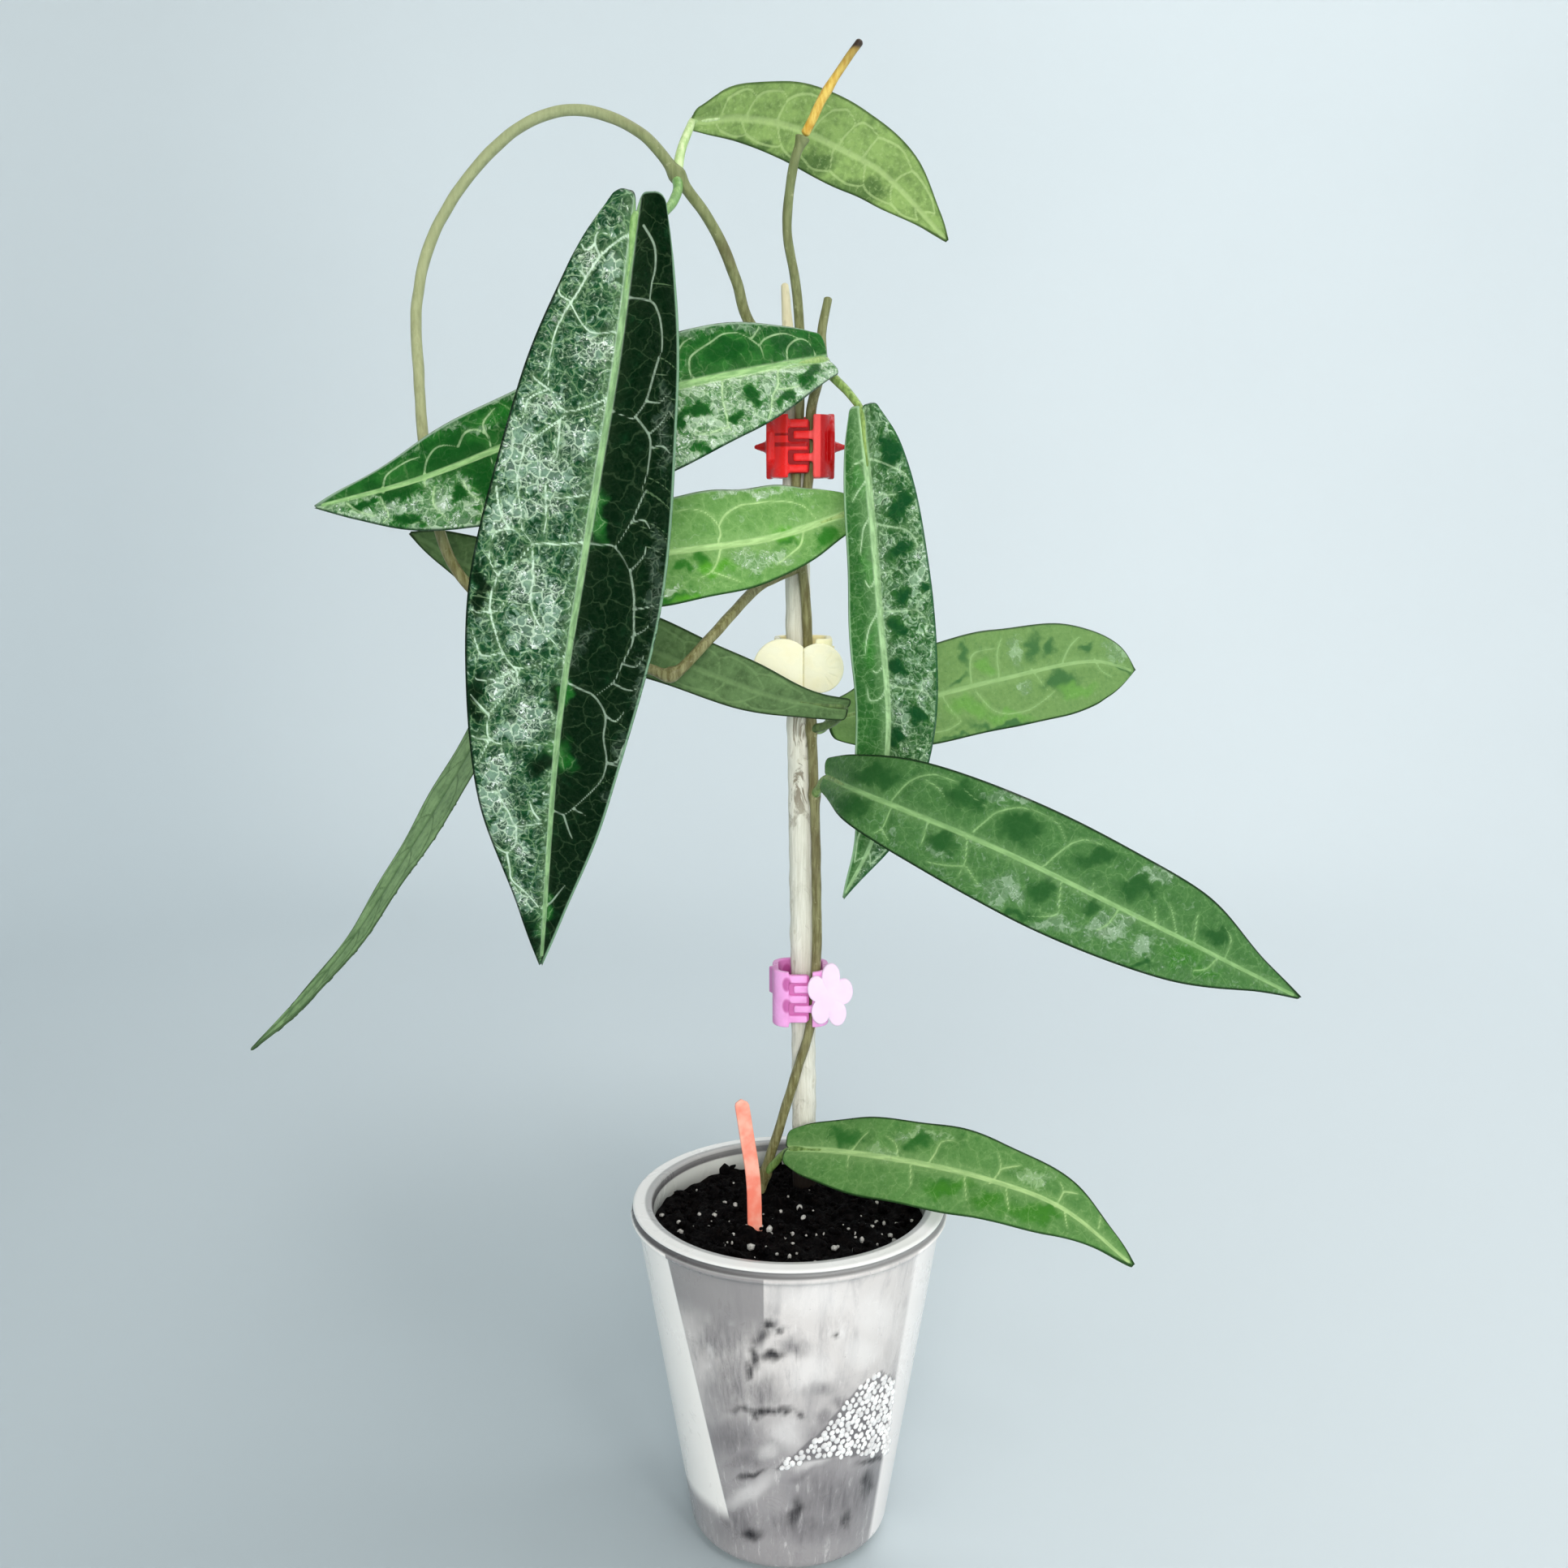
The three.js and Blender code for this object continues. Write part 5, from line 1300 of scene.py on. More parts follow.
def add_leaf(name, leaf, index):
    blade = Blade(leaf, 11 + index)
    random = np.random.default_rng(100 + index)
    length = blade.route.length
    widest = max(leaf["left"]) + max(leaf["right"])
    rows = round(length / SPACING)
    columns = 2 * round(widest / SPACING / 2)
    t, v = np.meshgrid(np.linspace(0, 1, rows + 1), np.linspace(-1, 1, columns + 1), indexing="ij")
    flat = blade.flat(t, v).reshape(-1, 2)

    main_lines = main_veins(name, blade, random)
    midrib_line = [(share, 0) for share in MIDRIB_STATIONS]
    midrib = segments_of(blade, [midrib_line], leaf["midrib_width"], MIDRIB_TIP_WIDTH)
    main = np.concatenate([midrib, segments_of(blade, main_lines, leaf["vein_width"], VEIN_TIP_WIDTH)])
    drawn = name in VEINS_PX
    minor_lines = minor_veins(main_lines, length, random, 0.7 if drawn else 0.25, not drawn)
    minor = segments_of(blade, minor_lines, *MINOR_VEIN_WIDTHS)
    nearest, main_scaled = vein_field(flat, main)
    nearest_minor, minor_scaled = vein_field(flat, minor)
    puffed = np.minimum(nearest, nearest_minor + 0.8)
    scaled = np.minimum(main_scaled, minor_scaled * 1.3)
    shape = t.shape

    middle, normal = blade.middle(t, v)
    domes = bubble_domes(flat, BUBBLE_SIZE, random).reshape(shape)
    fields = (puffed.reshape(shape), scaled.reshape(shape), domes)
    lifts = [blade_relief(blade, t, v, *fields, upper) for upper in (True, False)]
    border = (np.abs(v) == 1) | (t == 0) | (t == 1)
    top = middle + normal * np.where(border, 0, lifts[0])[..., None]
    bottom = middle - normal * np.where(border, 0, lifts[1])[..., None]

    grid = np.arange(t.size).reshape(shape)
    inner = ~border
    under = grid.copy()
    under[inner] = t.size + np.arange(inner.sum())
    quads = []
    for g in (grid, under):
        quads.append(np.stack([g[:-1, :-1], g[1:, :-1], g[1:, 1:], g[:-1, 1:]], axis=-1).reshape(-1, 4))
    faces = np.concatenate([quads[0], quads[1][:, ::-1]])
    vertices = np.concatenate([top.reshape(-1, 3), bottom[inner]])
    faces = outward_grid(vertices, faces)

    edge = np.minimum((1 - np.abs(v)) * blade.half_width(t, v), np.minimum(t, 1 - t) * length)
    place = np.concatenate([flat, edge.reshape(-1, 1)], axis=1)
    hidden = inner.ravel()

    def both(values):
        return np.concatenate([values, values[hidden]])

    silver, deep, fresh = blade_zones(name, blade, t, v)
    front_is_upper = 0.0 if leaf.get("underside_shows") else 1.0
    attributes = {
        "blade_place": both(place),
        "blade_vein": both(np.minimum(main_scaled, VEIN_FADE)),
        "blade_minor": both(np.minimum(minor_scaled, VEIN_FADE)),
        "blade_silver": both(silver),
        "blade_deep": both(deep),
        "blade_fresh": both(fresh),
        "blade_upper": np.repeat([front_is_upper, 1 - front_is_upper], [t.size, hidden.sum()]),
    }
    piece = add_mesh(name + "_blade", vertices, faces, [leaf_paint(name, leaf)], attributes=attributes)
    dress(piece, "plant", leaf["slot"], name)

    shares = np.array(PETIOLE_RUN)
    _, normal, _ = blade.axes(shares)
    run = blade.route.at(shares) - normal * PETIOLE_DEPTH
    route = Route([*leaf["petiole"], *run])

    def radius_at(distance):
        share = distance / route.length
        flare = 0.25 * np.exp(-distance / 2.0)
        return PETIOLE_RADIUS + (PETIOLE_TIP_RADIUS - PETIOLE_RADIUS) * share + flare

    surface = swept_bar(route, radius_at, 0.6, 14, (1, 1), 0.05, 300 + index)
    stalk = add_mesh(name + "_petiole", *surface, [petiole_paint(name, *leaf["petiole_colors"])])
    dress(stalk, "plant", leaf["slot"], name)


# Stem, shoot, stake and label stick.
def knob_swell(route, distances):
    """What the swollen joints add to a stem's radius."""
    swell = np.zeros_like(distances)
    for place, radius, half_length in STEM_KNOBS:
        centre = route.nearest(place)
        if np.linalg.norm(route.at(centre / route.length) - np.array(place)) > 2.5:
            continue
        hump = np.exp(-(((distances - centre) / half_length) ** 2))
        swell = np.maximum(swell, (radius - STEM_RADIUS) * hump)
    return swell


def stem_paint():
    paint = Paint("stem_bark", Coat_Weight=0.12, Specular_IOR_Level=0.4)
    place = paint.place()
    x, _, height = paint.split(place)
    long_streaks = paint.noise(paint.stretched(place, (1, 1, 0.12)), 1.0, 5, 0.65)
    color = paint.mix(paint.step(long_streaks, 0.35, 0.65), srgb(104, 98, 56), srgb(150, 148, 104))
    greener = paint.step(height, 300, 385)
    color = paint.mix(paint.times(greener, 0.6), color, srgb(112, 132, 84))
    patch = paint.noise(place, 14, 3, 0.5)
    color = paint.mix(paint.step(patch, 0.5, 0.75, 0, 0.55), color, srgb(86, 70, 42))
    pale = paint.noise(place, 1.4, 3, 0.6)
    color = paint.mix(paint.step(pale, 0.62, 0.75, 0, 0.5), color, srgb(188, 190, 150))
    high_loop = paint.times(paint.step(x, -25, -60), paint.step(height, 285, 325, 0, 0.6))
    color = paint.mix(high_loop, color, paint.mix(long_streaks, srgb(154, 162, 116), srgb(202, 208, 162)))
    paint.set("Base Color", color)
    paint.set("Roughness", paint.step(long_streaks, 0.3, 0.7, 0.38, 0.6))
    paint.bump(paint.math("ADD", long_streaks, paint.times(pale, 0.4)), 0.22)
    return paint.material


def add_stems():
    material = stem_paint()
    pieces = []
    routes = [
        ("stem_main", MAIN_STEM, 0.85), ("stem_loop", LOOP_STEM, 1.0), ("stem_stub", STUB_STEM, 0.78),
    ]
    for index, (name, points, tip_share) in enumerate(routes):
        route = Route(points)

        def radius_at(distances):
            taper = np.clip((distances / route.length - 0.7) / 0.3, 0, 1)
            return STEM_RADIUS * (1 + (tip_share - 1) * taper) + knob_swell(route, distances)

        surface = swept_bar(route, radius_at, 0.9, 18, (0.9, 0.7), 0.045, 20 + index)
        pieces.append(add_mesh(name, *surface, [material]))
    stem = combine(combine(pieces[0], pieces[1]), pieces[2])
    stem.name = "stem_bark"
    dress(stem, "plant", "stem", "vine_stem")


def shoot_paint():
    paint = Paint("shoot", Coat_Weight=0.2, Specular_IOR_Level=0.45)
    place = paint.place()
    height = paint.split(place)[2]
    streaks = paint.noise(paint.stretched(place, (1, 1, 0.2)), 0.9, 4, 0.6)
    color = paint.mix(paint.step(streaks, 0.3, 0.7), srgb(196, 146, 40), srgb(232, 204, 104))
    color = paint.mix(paint.step(height, 400, 408, 0, 0.75), color, srgb(150, 128, 62))
    color = paint.mix(paint.step(height, 408.2, 409.6), color, srgb(52, 38, 26))
    paint.set("Base Color", color)
    paint.set("Roughness", paint.step(streaks, 0.3, 0.7, 0.35, 0.5))
    paint.bump(streaks, 0.15)
    return paint.material


def add_shoot():
    route = Route(SHOOT_ROUTE)

    def radius_at(distances):
        swelling = 0.16 * np.exp(-(((distances - 0.45 * route.length) / 2.0) ** 2))
        return SHOOT_RADIUS - 0.18 * distances / route.length + swelling

    surface = swept_bar(route, radius_at, 0.5, 18, (0.8, 0.9), 0.05, 31)
    shoot = add_mesh("shoot_skin", *surface, [shoot_paint()])
    dress(shoot, "plant", "young_stem", "growing_shoot")


def stake_paint():
    paint = Paint("stake_wood", Specular_IOR_Level=0.25)
    place = paint.place()
    height = paint.split(place)[2]
    grain = paint.noise(paint.stretched(place, (1, 1, 0.06)), 0.8, 5, 0.65, 0.3)
    color = paint.mix(paint.step(grain, 0.3, 0.7), srgb(218, 216, 200), srgb(242, 241, 228))
    warm = paint.step(height, 316, 336)
    color = paint.mix(paint.times(warm, 0.75), color, srgb(236, 224, 178))
    blotch = paint.noise(paint.stretched(place, (1, 1, 0.45)), 4.5, 5, 0.7, 0.8)
    bark = paint.step(blotch, 0.52, 0.62)
    near_bark = paint.times(paint.step(height, 196, 214), paint.step(height, 236, 262, 1, 0))
    amount = paint.math("ADD", paint.times(near_bark, 0.7), 0.08)
    color = paint.mix(paint.times(bark, amount), color, srgb(118, 104, 80))
    spots = paint.cells(paint.stretched(place, (1, 1, 0.6)), 3.0)
    color = paint.mix(paint.step(spots, 0.1, 0.2, 0.3, 0), color, srgb(176, 166, 136))
    color = paint.mix(paint.step(height, 112, 104), color, srgb(32, 26, 22))
    paint.set("Base Color", color)
    paint.set("Roughness", paint.step(grain, 0.3, 0.7, 0.6, 0.8))
    paint.bump(paint.math("SUBTRACT", grain, paint.times(bark, 0.4)), 0.3)
    return paint.material


def add_stake():
    route = Route(STAKE_ROUTE)
    length = route.length
    knots = [share * length for share in STAKE_KNOTS]

    def radius_at(distances):
        taper = np.clip((distances / length - 0.84) / 0.16, 0, 1)
        radii = STAKE_RADIUS * (1 - 0.72 * taper)
        for knot in knots:
            radii = radii + 0.22 * np.exp(-(((distances - knot) / 2.5) ** 2))
        return radii

    surface = swept_bar(route, radius_at, 1.0, 28, (2.0, 0.9), 0.03, 41)
    stake = add_mesh("stake_bark", *surface, [stake_paint()])
    dress(stake, "plant", "stake_wood", "stake")


def label_paint():
    paint = Paint("label", Coat_Weight=0.3, Coat_Roughness=0.2, Specular_IOR_Level=0.5)
    place = paint.place()
    cloud = paint.noise(place, 6, 3, 0.5)
    color = paint.mix(paint.step(cloud, 0.35, 0.7), srgb(250, 130, 106), srgb(255, 186, 164))
    scuff = paint.noise(paint.stretched(place, (1, 1, 0.15)), 0.7, 4, 0.6)
    color = paint.mix(paint.step(scuff, 0.62, 0.74, 0, 0.35), color, srgb(248, 190, 170))
    paint.set("Base Color", color)
    paint.set("Roughness", paint.step(scuff, 0.3, 0.8, 0.35, 0.55))
    paint.bump(scuff, 0.06)
    return paint.material


def add_label():
    route = Route(LABEL_ROUTE)
    rows = LABEL_ROWS
    shares = np.linspace(0, 1, rows + 1)
    across = unit(np.array(LABEL_ACROSS))
    tangent = route.tangent(shares)
    normal = unit(np.cross(across, tangent))
    top_gap = (1 - shares) * route.length
    half = LABEL_WIDTH / 2 * np.sqrt(np.clip(1 - (1 - np.clip(top_gap / 2.1, 0, 1)) ** 2, 0.002, 1))
    section = []
    corner = LABEL_CORNER
    for x_sign, y_sign, start in CORNERS:
        for degrees in (0, 30, 60, 90):
            angle = math.radians(start + degrees)
            section.append((x_sign, y_sign, math.cos(angle), math.sin(angle)))
    rings = []
    for x_sign, y_sign, cosine, sine in section:
        x = x_sign * np.maximum(half - corner, 0.02) + corner * cosine * np.minimum(1, half / corner)
        y = y_sign * (LABEL_THICKNESS / 2 - corner) + corner * sine
        rings.append(route.at(shares) + across * x[:, None] + normal * y)
    points = np.stack(rings, axis=1)
    count = len(section)
    faces = ring_faces(rows + 1, count)
    faces.append(tuple(reversed(range(count))))
    faces.append(tuple(range(rows * count, (rows + 1) * count)))
    vertices = points.reshape(-1, 3)
    label = add_mesh("label_strip", vertices, outward(vertices, faces), [label_paint()])
    dress(label, "plant", "label_plastic", "label_stick")


# Pot and soil.
POT_HEIGHT = 100
POT_RIM_RADIUS = 45
POT_RIM_HEIGHT = 4
POT_RIM_WIDTH = 6.4
POT_WALL = 2.4
POT_HEEL_RADIUS = 28.6
POT_HEEL_HEIGHT = 4
POT_FOOT_RADIUS = 24.5
POT_FLOOR = 2.6
DRAIN_HOLES = 5
DRAIN_CIRCLE = 15
DRAIN_RADIUS = 1.7
DRAIN_LEVELS = (-3, 0, 3, 6)
POT_SHOULDER = 88
WALL_SLOPE = (POT_RIM_RADIUS - 1.7 - POT_HEEL_RADIUS) / (POT_HEIGHT - POT_RIM_HEIGHT - POT_HEEL_HEIGHT)
POT_SIDES = 260
SOIL_TOP = 92.5
SOIL_EDGE = 86
SOIL_CRUMBS = 700
LOOSE_PERLITE = 150

# The field of beads, as a closed outline in pixels of the photograph, and the beads' rows.
BEAD_FIELD_PX = [
    (952, 1813), (1010, 1797), (1095, 1791), (1101, 1700), (1085, 1688), (1060, 1708), (1010, 1765),
]
BEAD_FOOT = 30
BEAD_ROWS = 30
BEAD_COLUMNS = 20
BEAD_PITCH = 1.9
BEAD_ROW_PITCH = 1.75
BEAD_NARROWING = 0.76

# Larger grains of perlite, and clumps of soil with their radius, at pixels of the photograph.
PERLITE_PX = [
    (906, 1486), (990, 1503), (948, 1513), (985, 1489), (1062, 1529), (1097, 1518), (838, 1515), (925, 1537),
    (1028, 1536),
]
SOIL_CLUMPS_PX = [
    ((893, 1446), 2.0), ((901, 1442), 1.6), ((888, 1441), 1.4), ((957, 1436), 2.0), ((963, 1428), 1.5),
]

# Edges on the wall. The left band lies where x + BAND_SLANT z + BAND_OFFSET is below zero.
BAND_SLANT = 0.2035
BAND_OFFSET = 13.4
BAND_FOOT = 17
PANEL_EDGE = -6.7
PANEL_FOOT = 84.5
RIGHT_BAND_SHARE = 0.79
RIGHT_BAND_START = 22.3

# Patches on the front of the wall, as ellipses in pixels of the photograph. A fifth value is a tilt.
POT_ZONES_PX = {
    "pale": [
        # The narrow pale strokes (871, 1622), (877, 1661), (902, 1630), (1037, 1640), (1001, 1800) and (925,
        # 1838) are painted highlights; the broad ones are the plastic's own.
        (871, 1622, 3, 8), (877, 1661, 3, 10), (902, 1630, 4, 5), (1037, 1640, 5, 14), (970, 1768, 22, 22),
        (1001, 1800, 30, 7, -14), (925, 1838, 44, 11, -32), (1010, 1600, 60, 22), (1075, 1620, 30, 30),
        (1000, 1690, 30, 24), (1060, 1665, 24, 20), (946, 1788, 16, 10, -20),
    ],
    "smoke": [
        (890, 1650, 40, 34), (900, 1700, 30, 46), (905, 1770, 34, 24), (940, 1715, 24, 24),
        (930, 1794, 40, 12, -20), (1040, 1765, 64, 24, -38), (1014, 1747, 10, 12), (1040, 1729, 18, 10),
        (1027, 1846, 56, 36), (1000, 1880, 60, 20), (910, 1880, 26, 24), (988, 1820, 18, 6, -30),
        (874, 1820, 5, 14), (858, 1802, 7, 7), (980, 1660, 22, 12), (1010, 1712, 22, 9),
        (1085, 1840, 12, 40),
    ],
    "dark": [
        (946, 1632, 12, 8), (938, 1645, 11, 14), (930, 1670, 7, 16), (922, 1690, 4, 12), (950, 1670, 16, 7),
        (962, 1641, 5, 5), (1031, 1646, 3.5, 3.5), (940, 1738, 42, 5), (928, 1742, 6, 6), (985, 1742, 5, 5),
        (967, 1742, 4, 4), (1069, 1828, 8, 20, 15), (980, 1862, 7, 20, 10), (928, 1890, 14, 8),
        (1043, 1869, 6, 12), (1075, 1800, 24, 4, -6), (927, 1816, 20, 4, -20),
    ],
}


def wall_radius(z):
    """The outer wall's radius at a height."""
    return POT_HEEL_RADIUS + WALL_SLOPE * (z - POT_HEEL_HEIGHT)


def smooth_profile(points, step):
    """A rounded line through profile points given as radius and height."""
    line = Route([(x, 0, z) for x, z in points], 12)
    count = max(2, round(line.length / step))
    found = line.at(np.linspace(0, 1, count + 1))
    return found[:, [0, 2]]


def lathe(profile, count):
    """A closed body of revolution from a profile that starts and ends on the axis."""
    rings = profile[1:-1]
    ends = [(0, 0, profile[0][1]), (0, 0, profile[-1][1])]
    vertices = np.concatenate([revolved(rings, count), ends])
    return vertices, outward(vertices, capped_rings(len(rings), count))


def pot_profile():
    rim_foot = POT_HEIGHT - POT_RIM_HEIGHT
    rim_inner = POT_RIM_RADIUS - POT_RIM_WIDTH
    inner = {z: wall_radius(z) - POT_WALL for z in (POT_HEEL_HEIGHT, 30, 60, POT_SHOULDER)}
    outer_wall = [(wall_radius(z), z) for z in (POT_HEEL_HEIGHT + 1.5, 20, 45, 70, 88, rim_foot - 1.2)]
    foot = smooth_profile([
        (POT_FOOT_RADIUS - 2.2, 0.9), (POT_FOOT_RADIUS - 1.6, 0.2), (POT_FOOT_RADIUS - 0.6, 0),
        (POT_FOOT_RADIUS + 0.3, 0.35), (POT_FOOT_RADIUS + 0.8, 1.2), (POT_HEEL_RADIUS - 1.4, 1.9),
        (POT_HEEL_RADIUS - 0.4, 3.0), (POT_HEEL_RADIUS, POT_HEEL_HEIGHT),
    ], 0.35)
    wall = smooth_profile([(POT_HEEL_RADIUS, POT_HEEL_HEIGHT), *outer_wall], 0.95)
    rim = smooth_profile([
        outer_wall[-1], (wall_radius(rim_foot) + 0.35, rim_foot - 0.5),
        (POT_RIM_RADIUS - 0.8, rim_foot - 0.1),
        (POT_RIM_RADIUS - 0.1, rim_foot + 0.5), (POT_RIM_RADIUS, rim_foot + 1.1),
        (POT_RIM_RADIUS - 0.35, rim_foot + 1.7), (POT_RIM_RADIUS - 1.2, rim_foot + 2.1),
        (POT_RIM_RADIUS - 1.3, rim_foot + 2.8), (POT_RIM_RADIUS - 0.7, rim_foot + 3.1),
        (POT_RIM_RADIUS - 0.6, rim_foot + 3.6), (POT_RIM_RADIUS - 1.1, POT_HEIGHT - 0.05),
        (POT_RIM_RADIUS - 2.3, POT_HEIGHT), (rim_inner + 0.8, POT_HEIGHT - 0.1),
        (rim_inner + 0.3, POT_HEIGHT - 1.0), (rim_inner, POT_HEIGHT - 2.4),
    ], 0.3)
    lining = smooth_profile([
        (rim_inner, POT_HEIGHT - 2.4), (rim_inner - 0.35, 95), (inner[POT_SHOULDER], POT_SHOULDER),
        (inner[60], 60), (inner[30], 30), (inner[POT_HEEL_HEIGHT], POT_HEEL_HEIGHT + 1),
        (inner[POT_HEEL_HEIGHT] - 1.5, POT_FLOOR),
    ], 1.6)
    profile = np.concatenate([
        [(0, 0), (POT_FOOT_RADIUS - 3.0, 0)], foot, wall[1:], rim[1:], lining[1:], [(0, POT_FLOOR)],
    ])
    return np.maximum(profile, 0)


def bead_dome(radius, height):
    """A low dome for one bead, standing on z 0, with its root below."""
    vertices = []
    for level, share in ((-0.5, 1.0), (0.0, 1.0), (0.55, 0.82), (0.88, 0.48)):
        for i in range(8):
            angle = 2 * math.pi * i / 8
            x, y = radius * share * math.cos(angle), radius * share * math.sin(angle)
            vertices.append((x, y, height * level))
    vertices.append((0, 0, height))
    vertices.append((0, 0, -0.5 * height))
    faces = []
    for ring in range(3):
        for i in range(8):
            j = (i + 1) % 8
            faces.append((ring * 8 + i, ring * 8 + j, ring * 8 + 8 + j, ring * 8 + 8 + i))
    for i in range(8):
        j = (i + 1) % 8
        faces.append((24 + i, 24 + j, 32))
        faces.append((33, j, i))
    return np.array(vertices), faces


def on_wall(angle, z, lift):
    """A point on the outer wall and the three directions there: around, up the wall and out."""
    tilt = math.atan(WALL_SLOPE)
    out = np.array([math.cos(angle) * math.cos(tilt), math.sin(angle) * math.cos(tilt), -math.sin(tilt)])
    around = np.array([-math.sin(angle), math.cos(angle), 0])
    up = np.cross(out, around)
    radius = wall_radius(z)
    centre = np.array([radius * math.cos(angle), radius * math.sin(angle), z]) + out * lift
    return centre, around, up, out


def add_beads(material):
    """A slanting field of small slanted beads moulded on the wall, at the right of the front."""
    random = np.random.default_rng(51)
    surfaces = []
    for row in range(BEAD_ROWS):
        for column in range(-BEAD_COLUMNS, BEAD_COLUMNS):
            reach = (column + 0.5 * (row % 2)) * BEAD_PITCH + random.uniform(-0.5, 0.5)
            height = BEAD_FOOT + row * BEAD_ROW_PITCH + random.uniform(-0.42, 0.42)
            angle = -math.pi / 2 + reach / wall_radius(height)
            centre, around, up, out = on_wall(angle, height, -0.05)
            if not inside_outline(pixels_of(centre), BEAD_FIELD_PX):
                continue
            dome, faces = bead_dome(random.uniform(0.8, 1.25), random.uniform(0.45, 0.8))
            lean = math.radians(random.uniform(40, 110))
            long_way = around * math.cos(lean) + up * math.sin(lean)
            short_way = up * math.cos(lean) - around * math.sin(lean)
            points = centre + dome[:, :1] * long_way + dome[:, 1:2] * short_way * BEAD_NARROWING
            surfaces.append((points + dome[:, 2:] * out, faces))
    beads = add_mesh("pot_beads", *joined(*surfaces), [material])
    dress(beads, "plant", "pot_plastic")


def wall_zones(vertices):
    """The shares of pale plastic and painted highlight, of smoky plastic and of dark plastic on the front of
    the wall.
    """
    radius = np.hypot(vertices[:, 0], vertices[:, 1])
    front = (vertices[:, 1] < 0) & (radius > wall_radius(vertices[:, 2]) - 1.0)
    shown = pixels_of(vertices)
    shares = {"wall_" + kind: zone_field(shown, zones, 0.5) * front for kind, zones in POT_ZONES_PX.items()}
    beaded = [inside_outline(point, BEAD_FIELD_PX) for point in shown]
    return {**shares, "wall_beaded": np.array(beaded) * front}


def pot_paint():
    """Milky plastic: a pale band at each side, a flat grey panel, smoky patches, painted highlights, a greyer
    foot, and painted shade inside and in the rim's groove.
    """
    paint = Paint("pot_plastic", Coat_Weight=0.3, Coat_Roughness=0.14, Specular_IOR_Level=0.35, IOR=1.46)
    place = paint.place()
    x, y, z = paint.split(place)
    front = paint.step(y, 3, -3)
    color = paint.mix(paint.step(z, 74, 38), srgb(217, 211, 208), srgb(162, 157, 158))
    streaks = paint.noise(paint.stretched(place, (1, 1, 0.16)), 5.0, 5, 0.62, 0.5)
    color = paint.mix(paint.step(streaks, 0.46, 0.72, 0, 0.5), color, srgb(152, 149, 151))
    smoke = paint.noise(paint.stretched(place, (1, 1, 0.7)), 17, 6, 0.66, 1.1)
    behind = paint.blend(front, paint.step(z, 90, 50, 0.4, 0.8), 0.2)
    color = paint.mix(paint.times(paint.step(smoke, 0.46, 0.66), behind), color, srgb(130, 127, 130))
    thin = paint.noise(paint.stretched(place, (1, 1, 0.1)), 1.5, 5, 0.7, 0.4)
    color = paint.mix(paint.step(thin, 0.55, 0.75, 0, 0.5), color, srgb(242, 238, 236))
    color = paint.mix(paint.step(thin, 0.42, 0.25, 0, 0.4), color, srgb(128, 125, 128))

    # Patches seen on the front of the wall; the pale ones include painted highlights.
    torn = paint.math("ADD", thin, paint.times(streaks, 0.4))
    smoky = paint.times(paint.attribute("wall_smoke"), paint.step(torn, 0.4, 0.85, 1.0, 0.5))
    color = paint.mix(smoky, color, srgb(108, 104, 107))
    color = paint.mix(paint.times(paint.attribute("wall_pale"), 0.5), color, srgb(240, 236, 234))
    dark = paint.times(paint.attribute("wall_dark"), paint.step(torn, 0.6, 1.0, 1.0, 0.55))
    color = paint.mix(dark, color, srgb(36, 32, 36))
    color = paint.mix(paint.times(paint.attribute("wall_beaded"), 0.75), color, srgb(104, 101, 104))

    # The bands at the sides and the flat panel beside the left one, each with a sharp edge.
    left_edge = paint.math("ADD", paint.math("ADD", x, paint.times(z, BAND_SLANT)), BAND_OFFSET)
    panel = paint.times(paint.step(left_edge, -0.2, 0.2), paint.step(x, PANEL_EDGE + 0.2, PANEL_EDGE - 0.2))
    panel = paint.times(paint.times(panel, front), paint.step(z, PANEL_FOOT - 12, PANEL_FOOT + 2))
    color = paint.mix(paint.times(panel, 0.85), color, srgb(136, 132, 133))
    left_band = paint.times(paint.step(left_edge, 0.2, -0.2), paint.step(z, BAND_FOOT - 3, BAND_FOOT + 3))
    color = paint.mix(paint.times(paint.times(left_band, front), 0.96), color, srgb(255, 251, 246))
    right_edge = paint.math("SUBTRACT", x, paint.times(z, WALL_SLOPE * RIGHT_BAND_SHARE))
    right_band = paint.step(right_edge, RIGHT_BAND_START - 0.6, RIGHT_BAND_START + 0.8)
    color = paint.mix(paint.times(paint.times(right_band, front), 0.85), color, srgb(255, 249, 246))

    # Inside, painted darker lower down as shade in the pot, and the rolled rim with its groove.
    radius = paint.math("SQRT", paint.math("ADD", paint.times(x, x), paint.times(y, y)))
    depth = paint.math("SUBTRACT", radius, paint.times(z, WALL_SLOPE))
    inside = paint.step(depth, 27.2, 26.4)
    lining = paint.mix(paint.step(z, 97, 90, 0, 0.7), srgb(208, 210, 204), srgb(150, 152, 148))
    color = paint.mix(inside, color, lining)
    rim_foot = POT_HEIGHT - POT_RIM_HEIGHT
    color = paint.mix(paint.step(z, rim_foot + 1.2, rim_foot + 1.8), color, srgb(236, 235, 232))
    # Painted shade: a dark line in the rim's groove, darker at the left.
    groove = paint.step(z, rim_foot + 3.5, rim_foot + 3.1)
    groove = paint.times(paint.step(z, rim_foot + 1.2, rim_foot + 1.8), groove)
    color = paint.mix(paint.times(groove, paint.step(x, -34, 20, 0.95, 0.7)), color, srgb(88, 86, 88))
    lip = paint.step(depth, 25.4, 24.6)
    color = paint.mix(paint.times(paint.times(lip, paint.step(z, 98, 99)), 0.7), color, srgb(128, 127, 127))
    fleck = paint.noise(place, 0.9, 3, 0.6)
    color = paint.mix(paint.step(fleck, 0.68, 0.78, 0, 0.3), color, srgb(96, 94, 98))
    paint.set("Base Color", color)
    paint.set("Roughness", paint.step(smoke, 0.35, 0.7, 0.24, 0.42))
    paint.bump(paint.math("ADD", streaks, paint.times(fleck, 0.3)), 0.12)
    return paint.material


